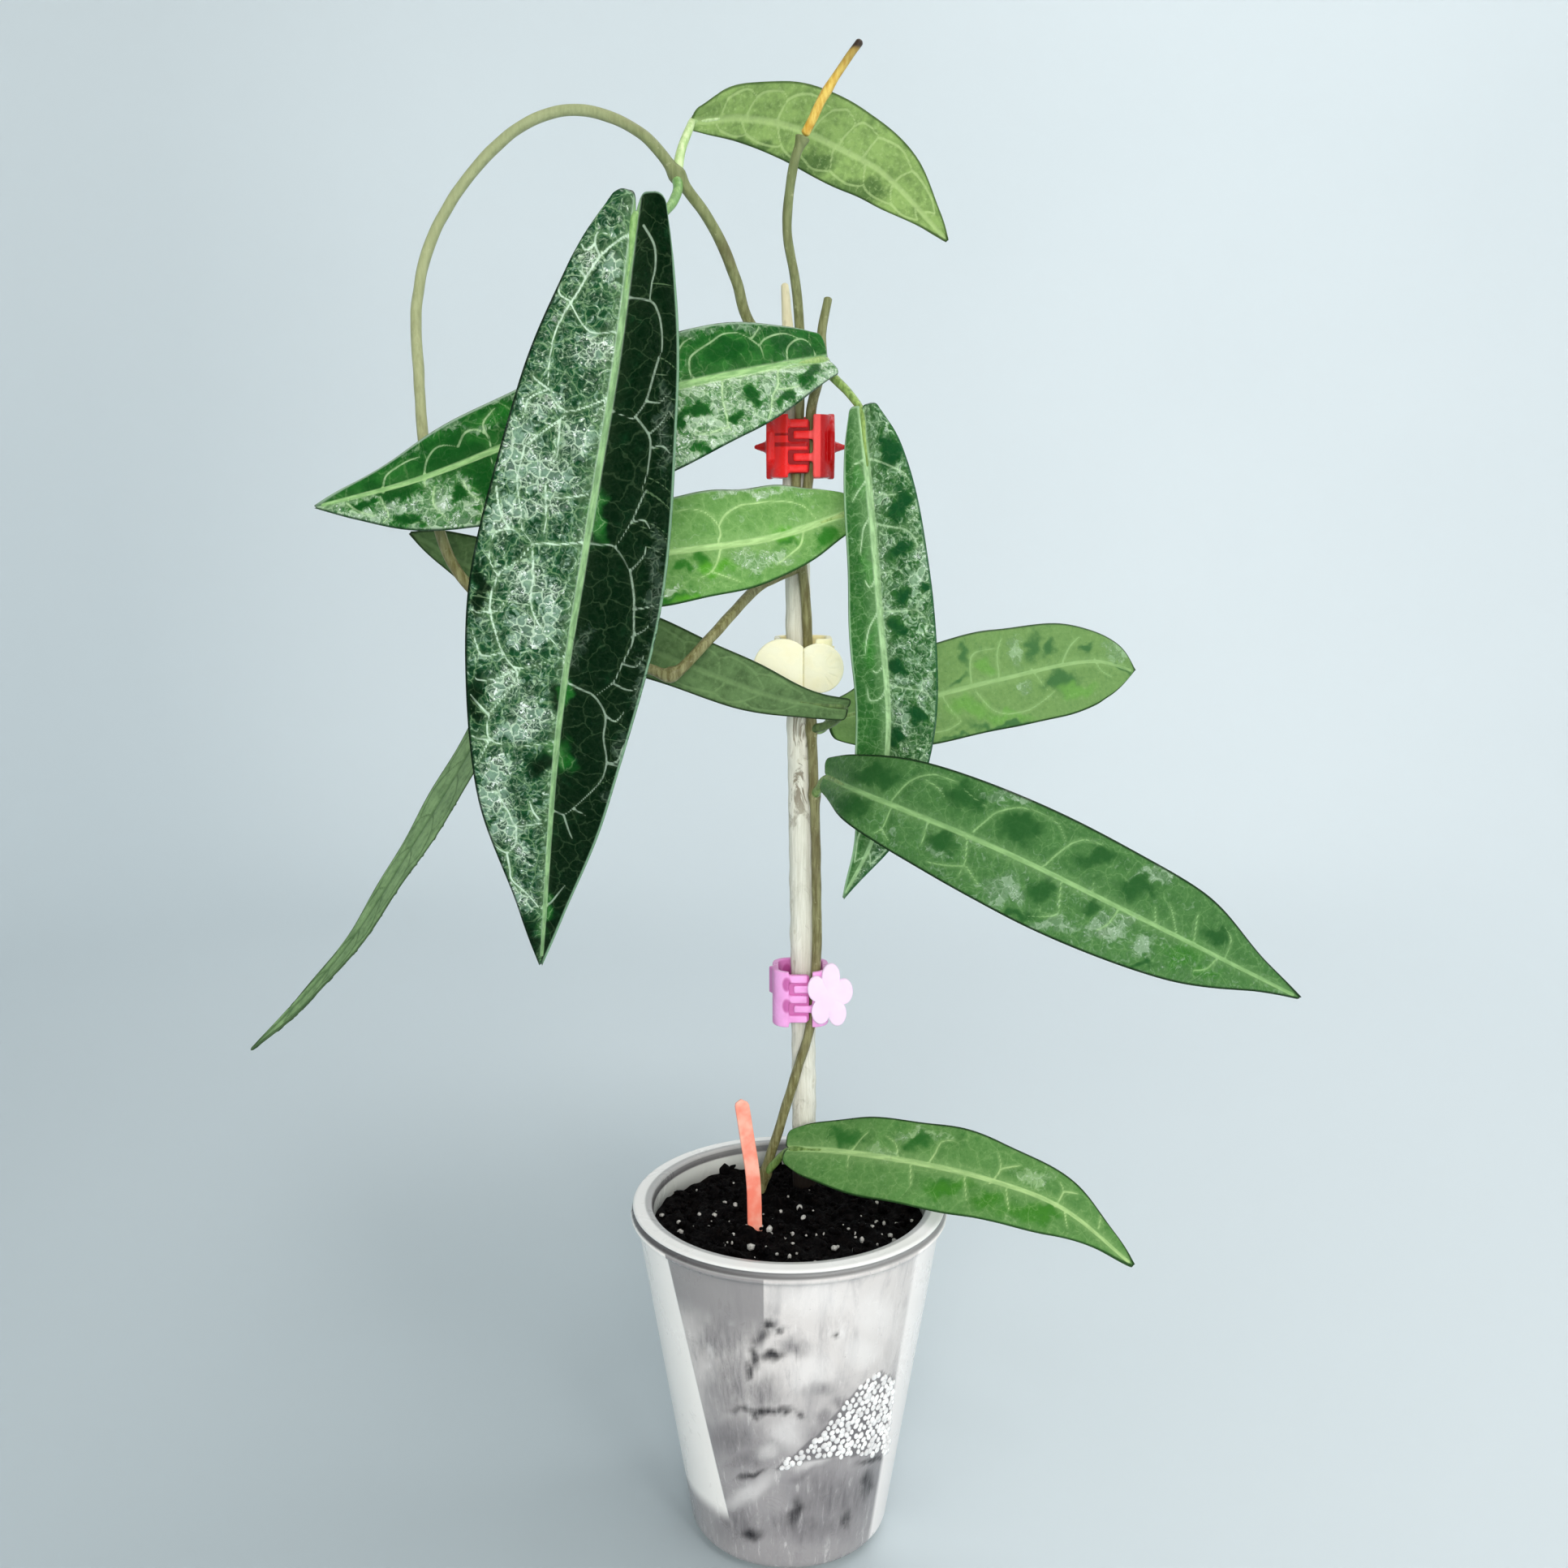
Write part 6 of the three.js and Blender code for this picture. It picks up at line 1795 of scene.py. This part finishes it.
def bead_paint():
    paint = Paint("pot_beads", Coat_Weight=0.6, Coat_Roughness=0.08, Specular_IOR_Level=0.5)
    place = paint.place()
    tint = paint.noise(place, 3.0, 3, 0.6)
    paint.set("Base Color", paint.mix(paint.step(tint, 0.35, 0.65), srgb(222, 220, 220), srgb(255, 254, 252)))
    paint.set("Roughness", paint.step(tint, 0.3, 0.7, 0.15, 0.3))
    paint.bump(paint.noise(place, 0.5, 2, 0.5), 0.05)
    return paint.material


def add_pot():
    pot = add_mesh("pot_wall", *lathe(pot_profile(), POT_SIDES), [pot_paint()])
    for hole in range(DRAIN_HOLES):
        angle = 2 * math.pi * hole / DRAIN_HOLES
        x, y = DRAIN_CIRCLE * math.cos(angle), DRAIN_CIRCLE * math.sin(angle)
        line = np.array([(x, y, z) for z in DRAIN_LEVELS])
        cutter = add_mesh("drain_cutter", *tube_surface(line, np.full(len(line), DRAIN_RADIUS), 20), [])
        combine(pot, cutter, "DIFFERENCE")
    pot.name = "pot_wall"
    vertices = np.empty(3 * len(pot.data.vertices))
    pot.data.vertices.foreach_get("co", vertices)
    set_attributes(pot.data, wall_zones(vertices.reshape(-1, 3) / MM))
    dress(pot, "plant", "pot_plastic", "pot")
    add_beads(bead_paint())


def soil_height(x, y):
    waves = np.sin(0.31 * x + 1.3) + np.cos(0.43 * y - 0.17 * x) + np.sin(0.71 * y + 0.57 * x)
    return SOIL_TOP + 1.3 * waves / 3


def soil_paint():
    paint = Paint("soil", Specular_IOR_Level=0.08)
    place = paint.place()
    crumbs = paint.noise(place, 1.4, 6, 0.75)
    color = paint.mix(paint.step(crumbs, 0.45, 0.75), srgb(4, 3, 4), srgb(26, 20, 18))
    paint.set("Base Color", color)
    paint.set("Roughness", paint.step(crumbs, 0.3, 0.7, 0.95, 0.6))
    paint.bump(crumbs, 0.8)
    return paint.material


def perlite_paint():
    paint = Paint("perlite", Specular_IOR_Level=0.4)
    place = paint.place()
    grain = paint.noise(place, 0.5, 4, 0.7)
    paint.set("Base Color", paint.mix(paint.step(grain, 0.3, 0.7), srgb(150, 148, 142), srgb(216, 214, 208)))
    paint.set("Roughness", paint.step(grain, 0.3, 0.7, 0.7, 0.9))
    paint.bump(grain, 0.15)
    return paint.material


def lump(random, radius):
    """An uneven pebble."""
    mesh = bmesh.new()
    bmesh.ops.create_icosphere(mesh, subdivisions=1, radius=radius)
    points = np.array([vertex.co[:] for vertex in mesh.verts])
    faces = [tuple(vertex.index for vertex in face.verts) for face in mesh.faces]
    mesh.free()
    points *= random.uniform(0.6, 1.2, 3)
    points *= 1 + 0.3 * (random.random((len(points), 1)) - 0.5)
    angle = random.uniform(0, math.pi)
    turn = np.array([
        [math.cos(angle), -math.sin(angle), 0], [math.sin(angle), math.cos(angle), 0], [0, 0, 1],
    ])
    return points @ turn.T, faces


def set_down(random, x, y, size, sink):
    """One pebble on the soil."""
    points, faces = lump(random, size)
    return points + np.array([x, y, soil_height(x, y) + size * sink]), faces


def scatter(random, count, radius, low, high, sink, behind=1.0):
    """Pebbles spread over the soil, and thinner behind."""
    surfaces = []
    for _ in range(count):
        reach = radius * math.sqrt(random.random())
        angle = random.uniform(0, 2 * math.pi)
        x, y = reach * math.cos(angle), reach * math.sin(angle)
        size = random.uniform(low, high)
        if y < 6 or random.random() < behind:
            surfaces.append(set_down(random, x, y, size, sink))
    return surfaces


def add_soil():
    random = np.random.default_rng(61)
    inner = wall_radius(POT_HEEL_HEIGHT) - POT_WALL
    edge = wall_radius(POT_SHOULDER) - POT_WALL - 0.3
    side = [(inner - 1.9, POT_FLOOR + 0.3), (inner - 0.3, POT_HEEL_HEIGHT + 1.4)]
    side += [(wall_radius(SOIL_EDGE) - POT_WALL - 0.3, SOIL_EDGE), (edge - 0.2, SOIL_TOP - 1.6)]
    top = [(radius, SOIL_TOP) for radius in np.linspace(edge, 0, 64)]
    profile = np.array([(0, POT_FLOOR + 0.3), *side, *top])
    count = 220
    vertices, faces = lathe(profile, count)
    radius = np.hypot(vertices[:, 0], vertices[:, 1])
    on_top = vertices[:, 2] > SOIL_TOP - 0.5
    bumps = np.zeros(len(vertices))
    for size in (7, 4, 2.2, 1.3):
        for _ in range(5):
            heading = random.uniform(0, 2 * math.pi)
            phase = random.uniform(0, 2 * math.pi)
            pace = 2 * math.pi / size
            reading = vertices[:, 0] * math.cos(heading) + vertices[:, 1] * math.sin(heading)
            bumps += 0.035 * size * np.sin(pace * reading + phase)
    bumps += 0.25 * (random.random(len(vertices)) - 0.5)
    level = soil_height(vertices[:, 0], vertices[:, 1]) + bumps * np.clip((edge - radius) / 3, 0.2, 1)
    vertices[:, 2] = np.where(on_top, level, vertices[:, 2])
    crumbs = scatter(random, SOIL_CRUMBS, edge - 2.0, 0.45, 1.3, 0.25)
    for pixel, size in SOIL_CLUMPS_PX:
        x, y, _ = pixel_on_level(pixel, SOIL_TOP)
        crumbs.append(set_down(random, x, y, size, 0.35))
    soil = add_mesh("soil_bed", *joined((vertices, faces), *crumbs), [soil_paint()])
    dress(soil, "plant", "soil", "soil")
    grains = scatter(random, LOOSE_PERLITE, edge - 2.2, 0.25, 0.8, 0.5, 0.25)
    for pixel in PERLITE_PX:
        x, y, _ = pixel_on_level(pixel, SOIL_TOP + 0.6)
        grains.append(set_down(random, x, y, random.uniform(0.85, 1.2), 0.5))
    perlite = add_mesh("soil_perlite", *joined(*grains), [perlite_paint()])
    dress(perlite, "plant", "soil")


# Claw clips: each jaw is its solid, softened as moulded plastic is, with finer plates on its front.
CLIP_CENTRES = {"red": (3.1, 23, 310.5), "cream": (4, 23, 251), "pink": (3.4, 22.9, 153.75)}
JAW_FRONT = 8.6
PLATE_BACK = 8.5
SHELLS = [{"side": -1, "radius": 8.2, "centre": -5.8}, {"side": 1, "radius": 6.9, "centre": 4.3}]
SHELL_DROP = 1.0
SHELL_SEAM = 0.04
SHELL_THICKNESS = 1.6
PETALS = 5
PETAL_TURN = math.radians(86)
PETAL_CIRCLE = 4.4
PETAL_RADIUS = 2.8
FLOWER_CENTRE = (8.4, 1.5)
FLOWER_STRETCH = (0.94, 1.36)
FLOWER_THICKNESS = 1.5
PLATE_ROUNDING = 0.55
WEB_LEFT = -4.4
WEB_RIGHT = 2.5
WEB_BACK = 6.2
WEB_THICKNESS = 0.9
WEB_CORNER = 1.0


def plastic_paint(name, main, shade, pale, roughness):
    """Moulded plastic, painted deeper further back as shade, with its node material and place for more
    patches.
    """
    paint = Paint(name, Coat_Weight=0.25, Coat_Roughness=0.12, Specular_IOR_Level=0.3)
    place = paint.place()
    cloud = paint.noise(place, 4.0, 3, 0.5)
    color = paint.mix(paint.step(cloud, 0.35, 0.7, 0, 0.3), main, shade)
    fine = paint.noise(place, 1.0, 3, 0.6)
    color = paint.mix(paint.step(fine, 0.6, 0.78, 0, 0.15), color, pale)
    # Painted shade: the colour deepens further back in the clip, where its walls see less light.
    depth = paint.split(place)[1]
    front = CLIP_CENTRES["red"][1] - JAW_FRONT
    color = paint.mix(paint.step(depth, front + 1.4, front + 4, 0, 0.8), color, shade)
    paint.set("Roughness", paint.step(cloud, 0.3, 0.7, roughness, roughness + 0.12))
    paint.bump(fine, 0.06)
    return paint, color


def plain_plastic(*facts):
    paint, color = plastic_paint(*facts)
    paint.set("Base Color", color)
    return paint.material


def red_left_paint(*facts):
    """Red, with two bars of painted shade that carry on the gaps between the fingers."""
    paint, color = plastic_paint(*facts)
    x, _, z = paint.split(paint.place())
    for height, half in ((313.6, 0.35), (310.9, 0.55)):
        bar = paint.times(paint.step(z, height - half - 0.1, height - half + 0.1),
                          paint.step(z, height + half + 0.1, height + half - 0.1))
        bar = paint.times(bar, paint.step(x, -4.1, -3.8))
        # Painted shade: deep red, as in the gaps.
        color = paint.mix(paint.times(bar, 0.8), color, srgb(150, 8, 14))
    paint.set("Base Color", color)
    return paint.material


def red_right_paint(*facts):
    """Red, with a salmon band down the front as a painted highlight and the side plate painted deeper red as
    shade.
    """
    paint, color = plastic_paint(*facts)
    x = paint.split(paint.place())[0]
    # Painted highlight: a salmon band down the front face.
    band = paint.times(paint.step(x, 5.2, 5.6), paint.step(x, 8.8, 8.3))
    color = paint.mix(paint.times(band, 0.85), color, srgb(250, 92, 92))
    # Painted shade: the side plate in deeper red.
    color = paint.mix(paint.times(paint.step(x, 8.3, 8.8), 0.95), color, srgb(176, 2, 8))
    paint.set("Base Color", color)
    return paint.material


def pink_left_paint(*facts):
    """Pink, with painted shade in two magenta hollows beside the fingers."""
    paint, color = plastic_paint(*facts)
    x, _, z = paint.split(paint.place())
    for centre in ((-0.6, 158.4), (-0.6, 152.0)):
        # Painted shade: magenta in the hollows.
        hollow_shade = paint.times(paint.spot((x, z), centre, (1.3, 2.1)), 0.85)
        color = paint.mix(hollow_shade, color, srgb(188, 80, 154))
    paint.set("Base Color", color)
    return paint.material


def pin_paint():
    paint = Paint("pin_steel", Metallic=1.0)
    place = paint.place()
    brushed = paint.noise(paint.stretched(place, (1, 1, 0.1)), 0.3, 4, 0.6)
    paint.set("Base Color", paint.mix(brushed, srgb(150, 152, 155), srgb(206, 208, 212)))
    paint.set("Roughness", paint.step(brushed, 0.3, 0.7, 0.25, 0.45))
    paint.bump(brushed, 0.03)
    return paint.material


def block(low, high):
    """A closed box between two corners, to cut with."""
    corners = [(x, y, z) for x in (low[0], high[0]) for y in (low[1], high[1]) for z in (low[2], high[2])]
    faces = [(0, 1, 3, 2), (4, 6, 7, 5), (0, 4, 5, 1), (2, 3, 7, 6), (0, 2, 6, 4), (1, 5, 7, 3)]
    return np.array(corners, float), outward(corners, faces)


def welded(piece):
    """Joins the corners that lie on one point, so that a solid is closed for an exact cut."""
    mesh = bmesh.new()
    mesh.from_mesh(piece.data)
    bmesh.ops.remove_doubles(mesh, verts=mesh.verts, dist=0.001 * MM)
    mesh.to_mesh(piece.data)
    mesh.free()


def softened(node, name, voxel, material, front=None):
    """A copy of a solid with its edges softened. What stands before the plane y = front is cut away."""
    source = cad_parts[node]
    piece = bpy.data.objects.new(name, source.data.copy())
    bpy.context.scene.collection.objects.link(piece)
    if front is not None:
        welded(piece)
        cutter = add_mesh("front_cutter", *block((-60, front - 20, 100), (60, front, 400)), [])
        combine(piece, cutter, "DIFFERENCE")
    piece.data.materials.clear()
    piece.data.materials.append(material)
    remesh = piece.modifiers.new("skin", "REMESH")
    remesh.mode = "VOXEL"
    remesh.voxel_size = voxel * MM
    soft = piece.modifiers.new("soften", "SMOOTH")
    soft.factor = 0.5
    soft.iterations = 4
    return apply_modifiers(piece)


def plate(outline, middle, back, thickness, bulge, relief=None):
    """A closed plate from an outline in x and z: flat behind, its edge rounded and its front domed."""
    outline = np.asarray(outline, float)
    inward = unit(np.asarray(middle) - outline)
    rings = []
    depths = []
    for inset, depth in ((0.25, 0.0), (0.0, 0.25), (0.0, thickness - PLATE_ROUNDING)):
        rings.append(outline + inward * inset)
        depths.append(np.full(len(outline), depth))
    for degrees in (20, 40, 60, 80, 90):
        angle = math.radians(degrees)
        rings.append(outline + inward * PLATE_ROUNDING * (1 - math.cos(angle)))
        depths.append(np.full(len(outline), thickness - PLATE_ROUNDING * (1 - math.sin(angle))))
    edge = rings[-1]
    for share in (0.93, 0.86, 0.79, 0.72, 0.64, 0.56, 0.48, 0.4, 0.32, 0.24, 0.16, 0.08):
        ring = middle + (edge - middle) * share
        sunk = np.zeros(len(outline)) if relief is None else relief(ring - middle)
        rings.append(ring)
        depths.append(thickness + bulge * (1 - share**2) - sunk)
    count = len(outline)
    points = np.concatenate([np.column_stack([ring[:, 0], back - depth, ring[:, 1]])
                             for ring, depth in zip(rings, depths)])
    ends = [(middle[0], back, middle[1]), (middle[0], back - thickness - bulge, middle[1])]
    vertices = np.concatenate([points, ends])
    faces = []
    last = (len(rings) - 1) * count
    for i in range(count):
        j = (i + 1) % count
        for low in range(0, last, count):
            faces.append((low + i, low + j, low + count + j, low + count + i))
        faces.append((len(points), j, i))
        faces.append((len(points) + 1, last + i, last + j))
    return vertices, outward(vertices, faces)


def shell_outline(shell, middle_x, middle_z):
    """A disc cut off straight at the seam between the two halves."""
    side, radius = shell["side"], shell["radius"]
    centre_x = middle_x + shell["centre"]
    seam = middle_x + side * SHELL_SEAM / 2
    reach = math.acos(np.clip((centre_x - seam) * side / radius, -1, 1))
    arc = np.linspace(reach, 2 * math.pi - reach, 90)
    points = [(centre_x - side * radius * math.cos(a), middle_z + radius * math.sin(a)) for a in arc]
    top = middle_z + radius * math.sin(reach)
    bottom = 2 * middle_z - top
    return points + [(seam, bottom + (top - bottom) * share) for share in np.linspace(0.06, 0.94, 16)]


def shell_grooves(place):
    """Short grooves that fan out near the rim of the right half."""
    reach = np.hypot(place[:, 0], place[:, 1])
    angle = np.arctan2(place[:, 1], place[:, 0])
    lines = np.exp(-((np.sin(6.5 * angle) / 0.35) ** 2))
    band = smooth_step(2.4, 3.2, reach) * (1 - smooth_step(5.2, 5.9, reach))
    return 0.28 * lines * band * (np.abs(angle) < 1.3)


def add_cream_faces(material):
    x, y, z = CLIP_CENTRES["cream"]
    for shell, body, name in zip(SHELLS, ("cream_jaw", "plant"), ("left", "right")):
        outline = shell_outline(shell, x, z - SHELL_DROP)
        middle = (x + shell["centre"] * 1.05, z - SHELL_DROP)
        relief = shell_grooves if shell["side"] > 0 else None
        surface = plate(outline, middle, y - PLATE_BACK, SHELL_THICKNESS, 0.5, relief)
        piece = add_mesh("clip_cream_%s_face" % name, *surface, [material])
        dress(piece, body, "cream_plastic", "clip_cream_%s_jaw" % name)


def flower_outline(middle):
    """The outer edge of five round petals, stretched upwards."""
    points = []
    for angle in np.linspace(0, 2 * math.pi, 150, endpoint=False):
        reach = 0
        for petal in range(PETALS):
            turn = angle - PETAL_TURN - 2 * math.pi * petal / PETALS
            inside = PETAL_RADIUS**2 - (PETAL_CIRCLE * math.sin(turn)) ** 2
            if inside > 0 and math.cos(turn) > 0:
                reach = max(reach, PETAL_CIRCLE * math.cos(turn) + math.sqrt(inside))
        x = middle[0] + FLOWER_STRETCH[0] * reach * math.cos(angle)
        points.append((x, middle[1] + FLOWER_STRETCH[1] * reach * math.sin(angle)))
    return points


def add_web(clip, colors, low, high):
    """The wall that shows between a clip's fingers, fixed to its left jaw, in deeper colours as painted
    shade.
    """
    x, y, _ = CLIP_CENTRES[clip]
    corners = []
    for right, up, start in CORNERS:
        for degrees in range(0, 91, 15):
            angle = math.radians(start + degrees)
            middle_x = x + (WEB_RIGHT if right > 0 else WEB_LEFT) - right * WEB_CORNER
            middle_z = (high if up > 0 else low) - up * WEB_CORNER
            corners.append((middle_x + WEB_CORNER * math.cos(angle), middle_z + WEB_CORNER * math.sin(angle)))
    middle = (x + (WEB_LEFT + WEB_RIGHT) / 2, (low + high) / 2)
    surface = plate(corners, middle, y - WEB_BACK, WEB_THICKNESS, 0.0)
    web = add_mesh("clip_%s_web" % clip, *surface, [plain_plastic(clip + "_web", *colors, 0.35)])
    dress(web, "plant", clip + "_plastic", "clip_%s_left_jaw" % clip)


def add_flower(material):
    x, y, z = CLIP_CENTRES["pink"]
    middle = (x + FLOWER_CENTRE[0], z + FLOWER_CENTRE[1])
    surface = plate(flower_outline(middle), middle, y - PLATE_BACK, FLOWER_THICKNESS, 0.35)
    flower = add_mesh("clip_pink_flower", *surface, [material])
    dress(flower, "pink_jaw", "pink_plastic", "clip_pink_right_jaw")


def add_clips():
    red_facts = (srgb(255, 44, 46), srgb(214, 14, 20), srgb(255, 110, 100), 0.22)
    pink_facts = (srgb(250, 176, 236), srgb(212, 120, 188), srgb(255, 226, 252), 0.25)
    red = red_left_paint("red_plastic", *red_facts)
    red_right = red_right_paint("red_plastic_right", *red_facts)
    cream_facts = (srgb(255, 252, 210), srgb(240, 226, 170), srgb(255, 254, 240), 0.25)
    face_facts = (srgb(255, 252, 222), srgb(250, 240, 190), srgb(255, 255, 244), 0.22)
    cream = plain_plastic("cream_plastic", *cream_facts)
    cream_face = plain_plastic("cream_face", *face_facts)
    pink = plain_plastic("pink_plastic", *pink_facts)
    pink_left = pink_left_paint("pink_plastic_left", *pink_facts)
    flower = plain_plastic("pink_flower", srgb(252, 226, 250), srgb(246, 210, 244), srgb(255, 240, 255), 0.3)
    voxel = 0.34
    cream_front = CLIP_CENTRES["cream"][1] - JAW_FRONT
    pink_front = CLIP_CENTRES["pink"][1] - JAW_FRONT
    jaws = [
        ("clip_red_left_jaw", "plant", "red_plastic", red, None),
        ("clip_red_right_jaw", "red_jaw", "red_plastic", red_right, None),
        ("clip_cream_left_jaw", "cream_jaw", "cream_plastic", cream, cream_front),
        ("clip_cream_right_jaw", "plant", "cream_plastic", cream, cream_front),
        ("clip_pink_left_jaw", "plant", "pink_plastic", pink_left, None),
        ("clip_pink_right_jaw", "pink_jaw", "pink_plastic", pink, pink_front),
    ]
    for node, body, slot, material, front in jaws:
        dress(softened(node, node.replace("jaw", "shell"), voxel, material, front), body, slot, node)
    add_cream_faces(cream_face)
    add_flower(flower)
    # The webs' colours are the clips' own, deepened as painted shade.
    add_web("red", (srgb(160, 8, 14), srgb(120, 4, 10), srgb(196, 30, 34)), 303.2, 317.8)
    add_web("pink", (srgb(208, 116, 180), srgb(180, 90, 150), srgb(228, 150, 204)), 146.6, 160.9)
    steel = pin_paint()
    for name in ("clip_red_pin", "clip_cream_pin", "clip_pink_pin"):
        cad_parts[name].data.materials.clear()
        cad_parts[name].data.materials.append(steel)


# Stage: a pale floor that curves up into a wall all round, soft lights and the camera.
STAGE_FLOOR = 800
STAGE_CURVE = 700
STAGE_HEIGHT = 1900
WORLD_COLOR = (0.99, 0.95, 0.91, 1)
WORLD_STRENGTH = 0.33
STAGE_SIDES = 96
STAGE_RINGS = 32  # in the flat floor


def stage_tint_and_shading(points):
    """Pale blue, lighter up the wall, with painted shade at the front and the left, a painted shadow of the
    pot beside it, painted light towards the right and a painted pool of light behind it.
    """
    x, y, height = points.T
    leftward = smooth_step(350, -350, x)
    beside = smooth_step(-320, -60, x) * smooth_step(60, -60, x)
    beside = beside * smooth_step(420, 120, y) * smooth_step(-160, 20, y)
    behind = ((x - 60) ** 2 + (y - 1300) ** 2) / 620**2
    layers = [
        (smooth_step(0, 900, height), srgb(218, 226, 229)),
        # From here on the layers are painted shade, the pot's painted shadow and painted light.
        (smooth_step(500, -300, y) * (0.1 + 0.4 * leftward), srgb(176, 190, 196)),
        (0.7 * smooth_step(-700, 700, x), srgb(230, 237, 240)),
        (0.6 * smooth_step(900, -300, y) * smooth_step(300, -700, x), srgb(146, 159, 164)),
        (0.5 * beside, srgb(140, 153, 158)),
        (0.4 * smooth_step(1.5, 0.4, behind), srgb(240, 248, 251)),
    ]
    tint = np.tile(srgb(204, 215, 220)[:3], (len(points), 1))
    for share, color in layers:
        tint += share[:, None] * (np.array(color[:3]) - tint)
    return tint


def stage_paint():
    """The tint with its painted light and shade, laid on the stage's mesh, with faint clouds."""
    paint = Paint("stage", Specular_IOR_Level=0.0)
    cloud = paint.noise(paint.place(), 500, 2, 0.5)
    tint = paint.attribute("stage_tint_and_shading", "Vector")
    paint.set("Base Color", paint.mix(paint.step(cloud, 0.3, 0.7, 0, 0.12), tint, srgb(208, 217, 221)))
    paint.set("Roughness", paint.step(cloud, 0.3, 0.7, 0.85, 0.95))
    return paint.material


def add_stage():
    profile = [(STAGE_FLOOR * share, 0) for share in np.arange(1, STAGE_RINGS) / STAGE_RINGS]
    for degrees in range(0, 91, 6):
        angle = math.radians(degrees)
        reach = STAGE_FLOOR + STAGE_CURVE * math.sin(angle)
        profile.append((reach, STAGE_CURVE * (1 - math.cos(angle))))
    profile.append((STAGE_FLOOR + STAGE_CURVE, STAGE_HEIGHT))
    rings = np.array(profile)
    vertices = np.concatenate([revolved(rings, STAGE_SIDES), [(0, 0, 0)]])
    centre = len(vertices) - 1
    faces = []
    for i in range(STAGE_SIDES):
        j = (i + 1) % STAGE_SIDES
        faces.append((centre, i, j))
        for ring in range(len(rings) - 1):
            low = ring * STAGE_SIDES
            faces.append((low + i, low + STAGE_SIDES + i, low + STAGE_SIDES + j, low + j))
    tint = {"stage_tint_and_shading": stage_tint_and_shading(vertices)}
    add_mesh("studio_floor", vertices, faces, [stage_paint()], attributes=tint)


def add_light(name, place, target, size, power, color, glossy=True):
    """A soft light. One that is not glossy only brightens, and leaves no reflection."""
    data = bpy.data.lights.new(name, "AREA")
    data.shape = "RECTANGLE"
    data.size, data.size_y = size
    data.energy = power
    data.color = color
    light = bpy.data.objects.new(name, data)
    light.location = place
    light.rotation_euler = (Vector(target) - Vector(place)).to_track_quat("-Z", "Y").to_euler()
    light.visible_camera = False
    light.visible_glossy = glossy
    bpy.context.scene.collection.objects.link(light)


def add_lights():
    target = (0, 0, 0.24)
    add_light("front", (0.0, -1.32, 0.58), target, (0.6, 0.5), 10.7, (1.0, 0.965, 0.93), glossy=False)
    add_light("key", (0.75, -1.0, 0.95), target, (0.7, 0.9), 2.5, (1.0, 0.97, 0.94))
    add_light("glint", (0.35, -0.95, 1.25), target, (0.18, 0.5), 2.2, (1.0, 0.99, 0.97))
    add_light("fill", (-1.0, -0.8, 0.6), target, (0.9, 0.9), 1, (1.0, 0.99, 0.98))
    add_light("top", (0.0, 0.2, 1.4), target, (1.0, 1.0), 1.5, (1.0, 0.99, 0.98))
    add_light("rim", (0.5, 0.9, 1.5), target, (0.8, 0.7), 2.5, (1.0, 1.0, 1.0))
    add_light("wall", (0.8, 0.3, 1.5), (0.3, 1.5, 0.4), (1.2, 0.5), 6.5, (1.0, 1.0, 1.0))
    world = bpy.data.worlds.new("studio")
    world.use_nodes = True
    background = world.node_tree.nodes["Background"]
    background.inputs["Color"].default_value = WORLD_COLOR
    background.inputs["Strength"].default_value = WORLD_STRENGTH
    bpy.context.scene.world = world


def add_camera():
    data = bpy.data.cameras.new("camera")
    data.sensor_width = SENSOR_MM
    data.lens = SENSOR_MM * FOCAL_PX / FRAME_PX
    data.clip_start = 0.01
    data.clip_end = 20
    camera = bpy.data.objects.new("camera", data)
    camera.location = (CAMERA_MM * MM).tolist()
    camera.rotation_euler = (math.pi / 2 - CAMERA_PITCH, 0, 0)
    bpy.context.scene.collection.objects.link(camera)
    bpy.context.scene.camera = camera


for leaf_index, (leaf_name, leaf_facts) in enumerate(LEAVES.items()):
    add_leaf(leaf_name, leaf_facts, leaf_index)
add_stems()
add_shoot()
add_stake()
add_label()
add_pot()
add_soil()
add_clips()
add_stage()
add_lights()
add_camera()
bpy.context.scene.view_settings.view_transform = "Standard"
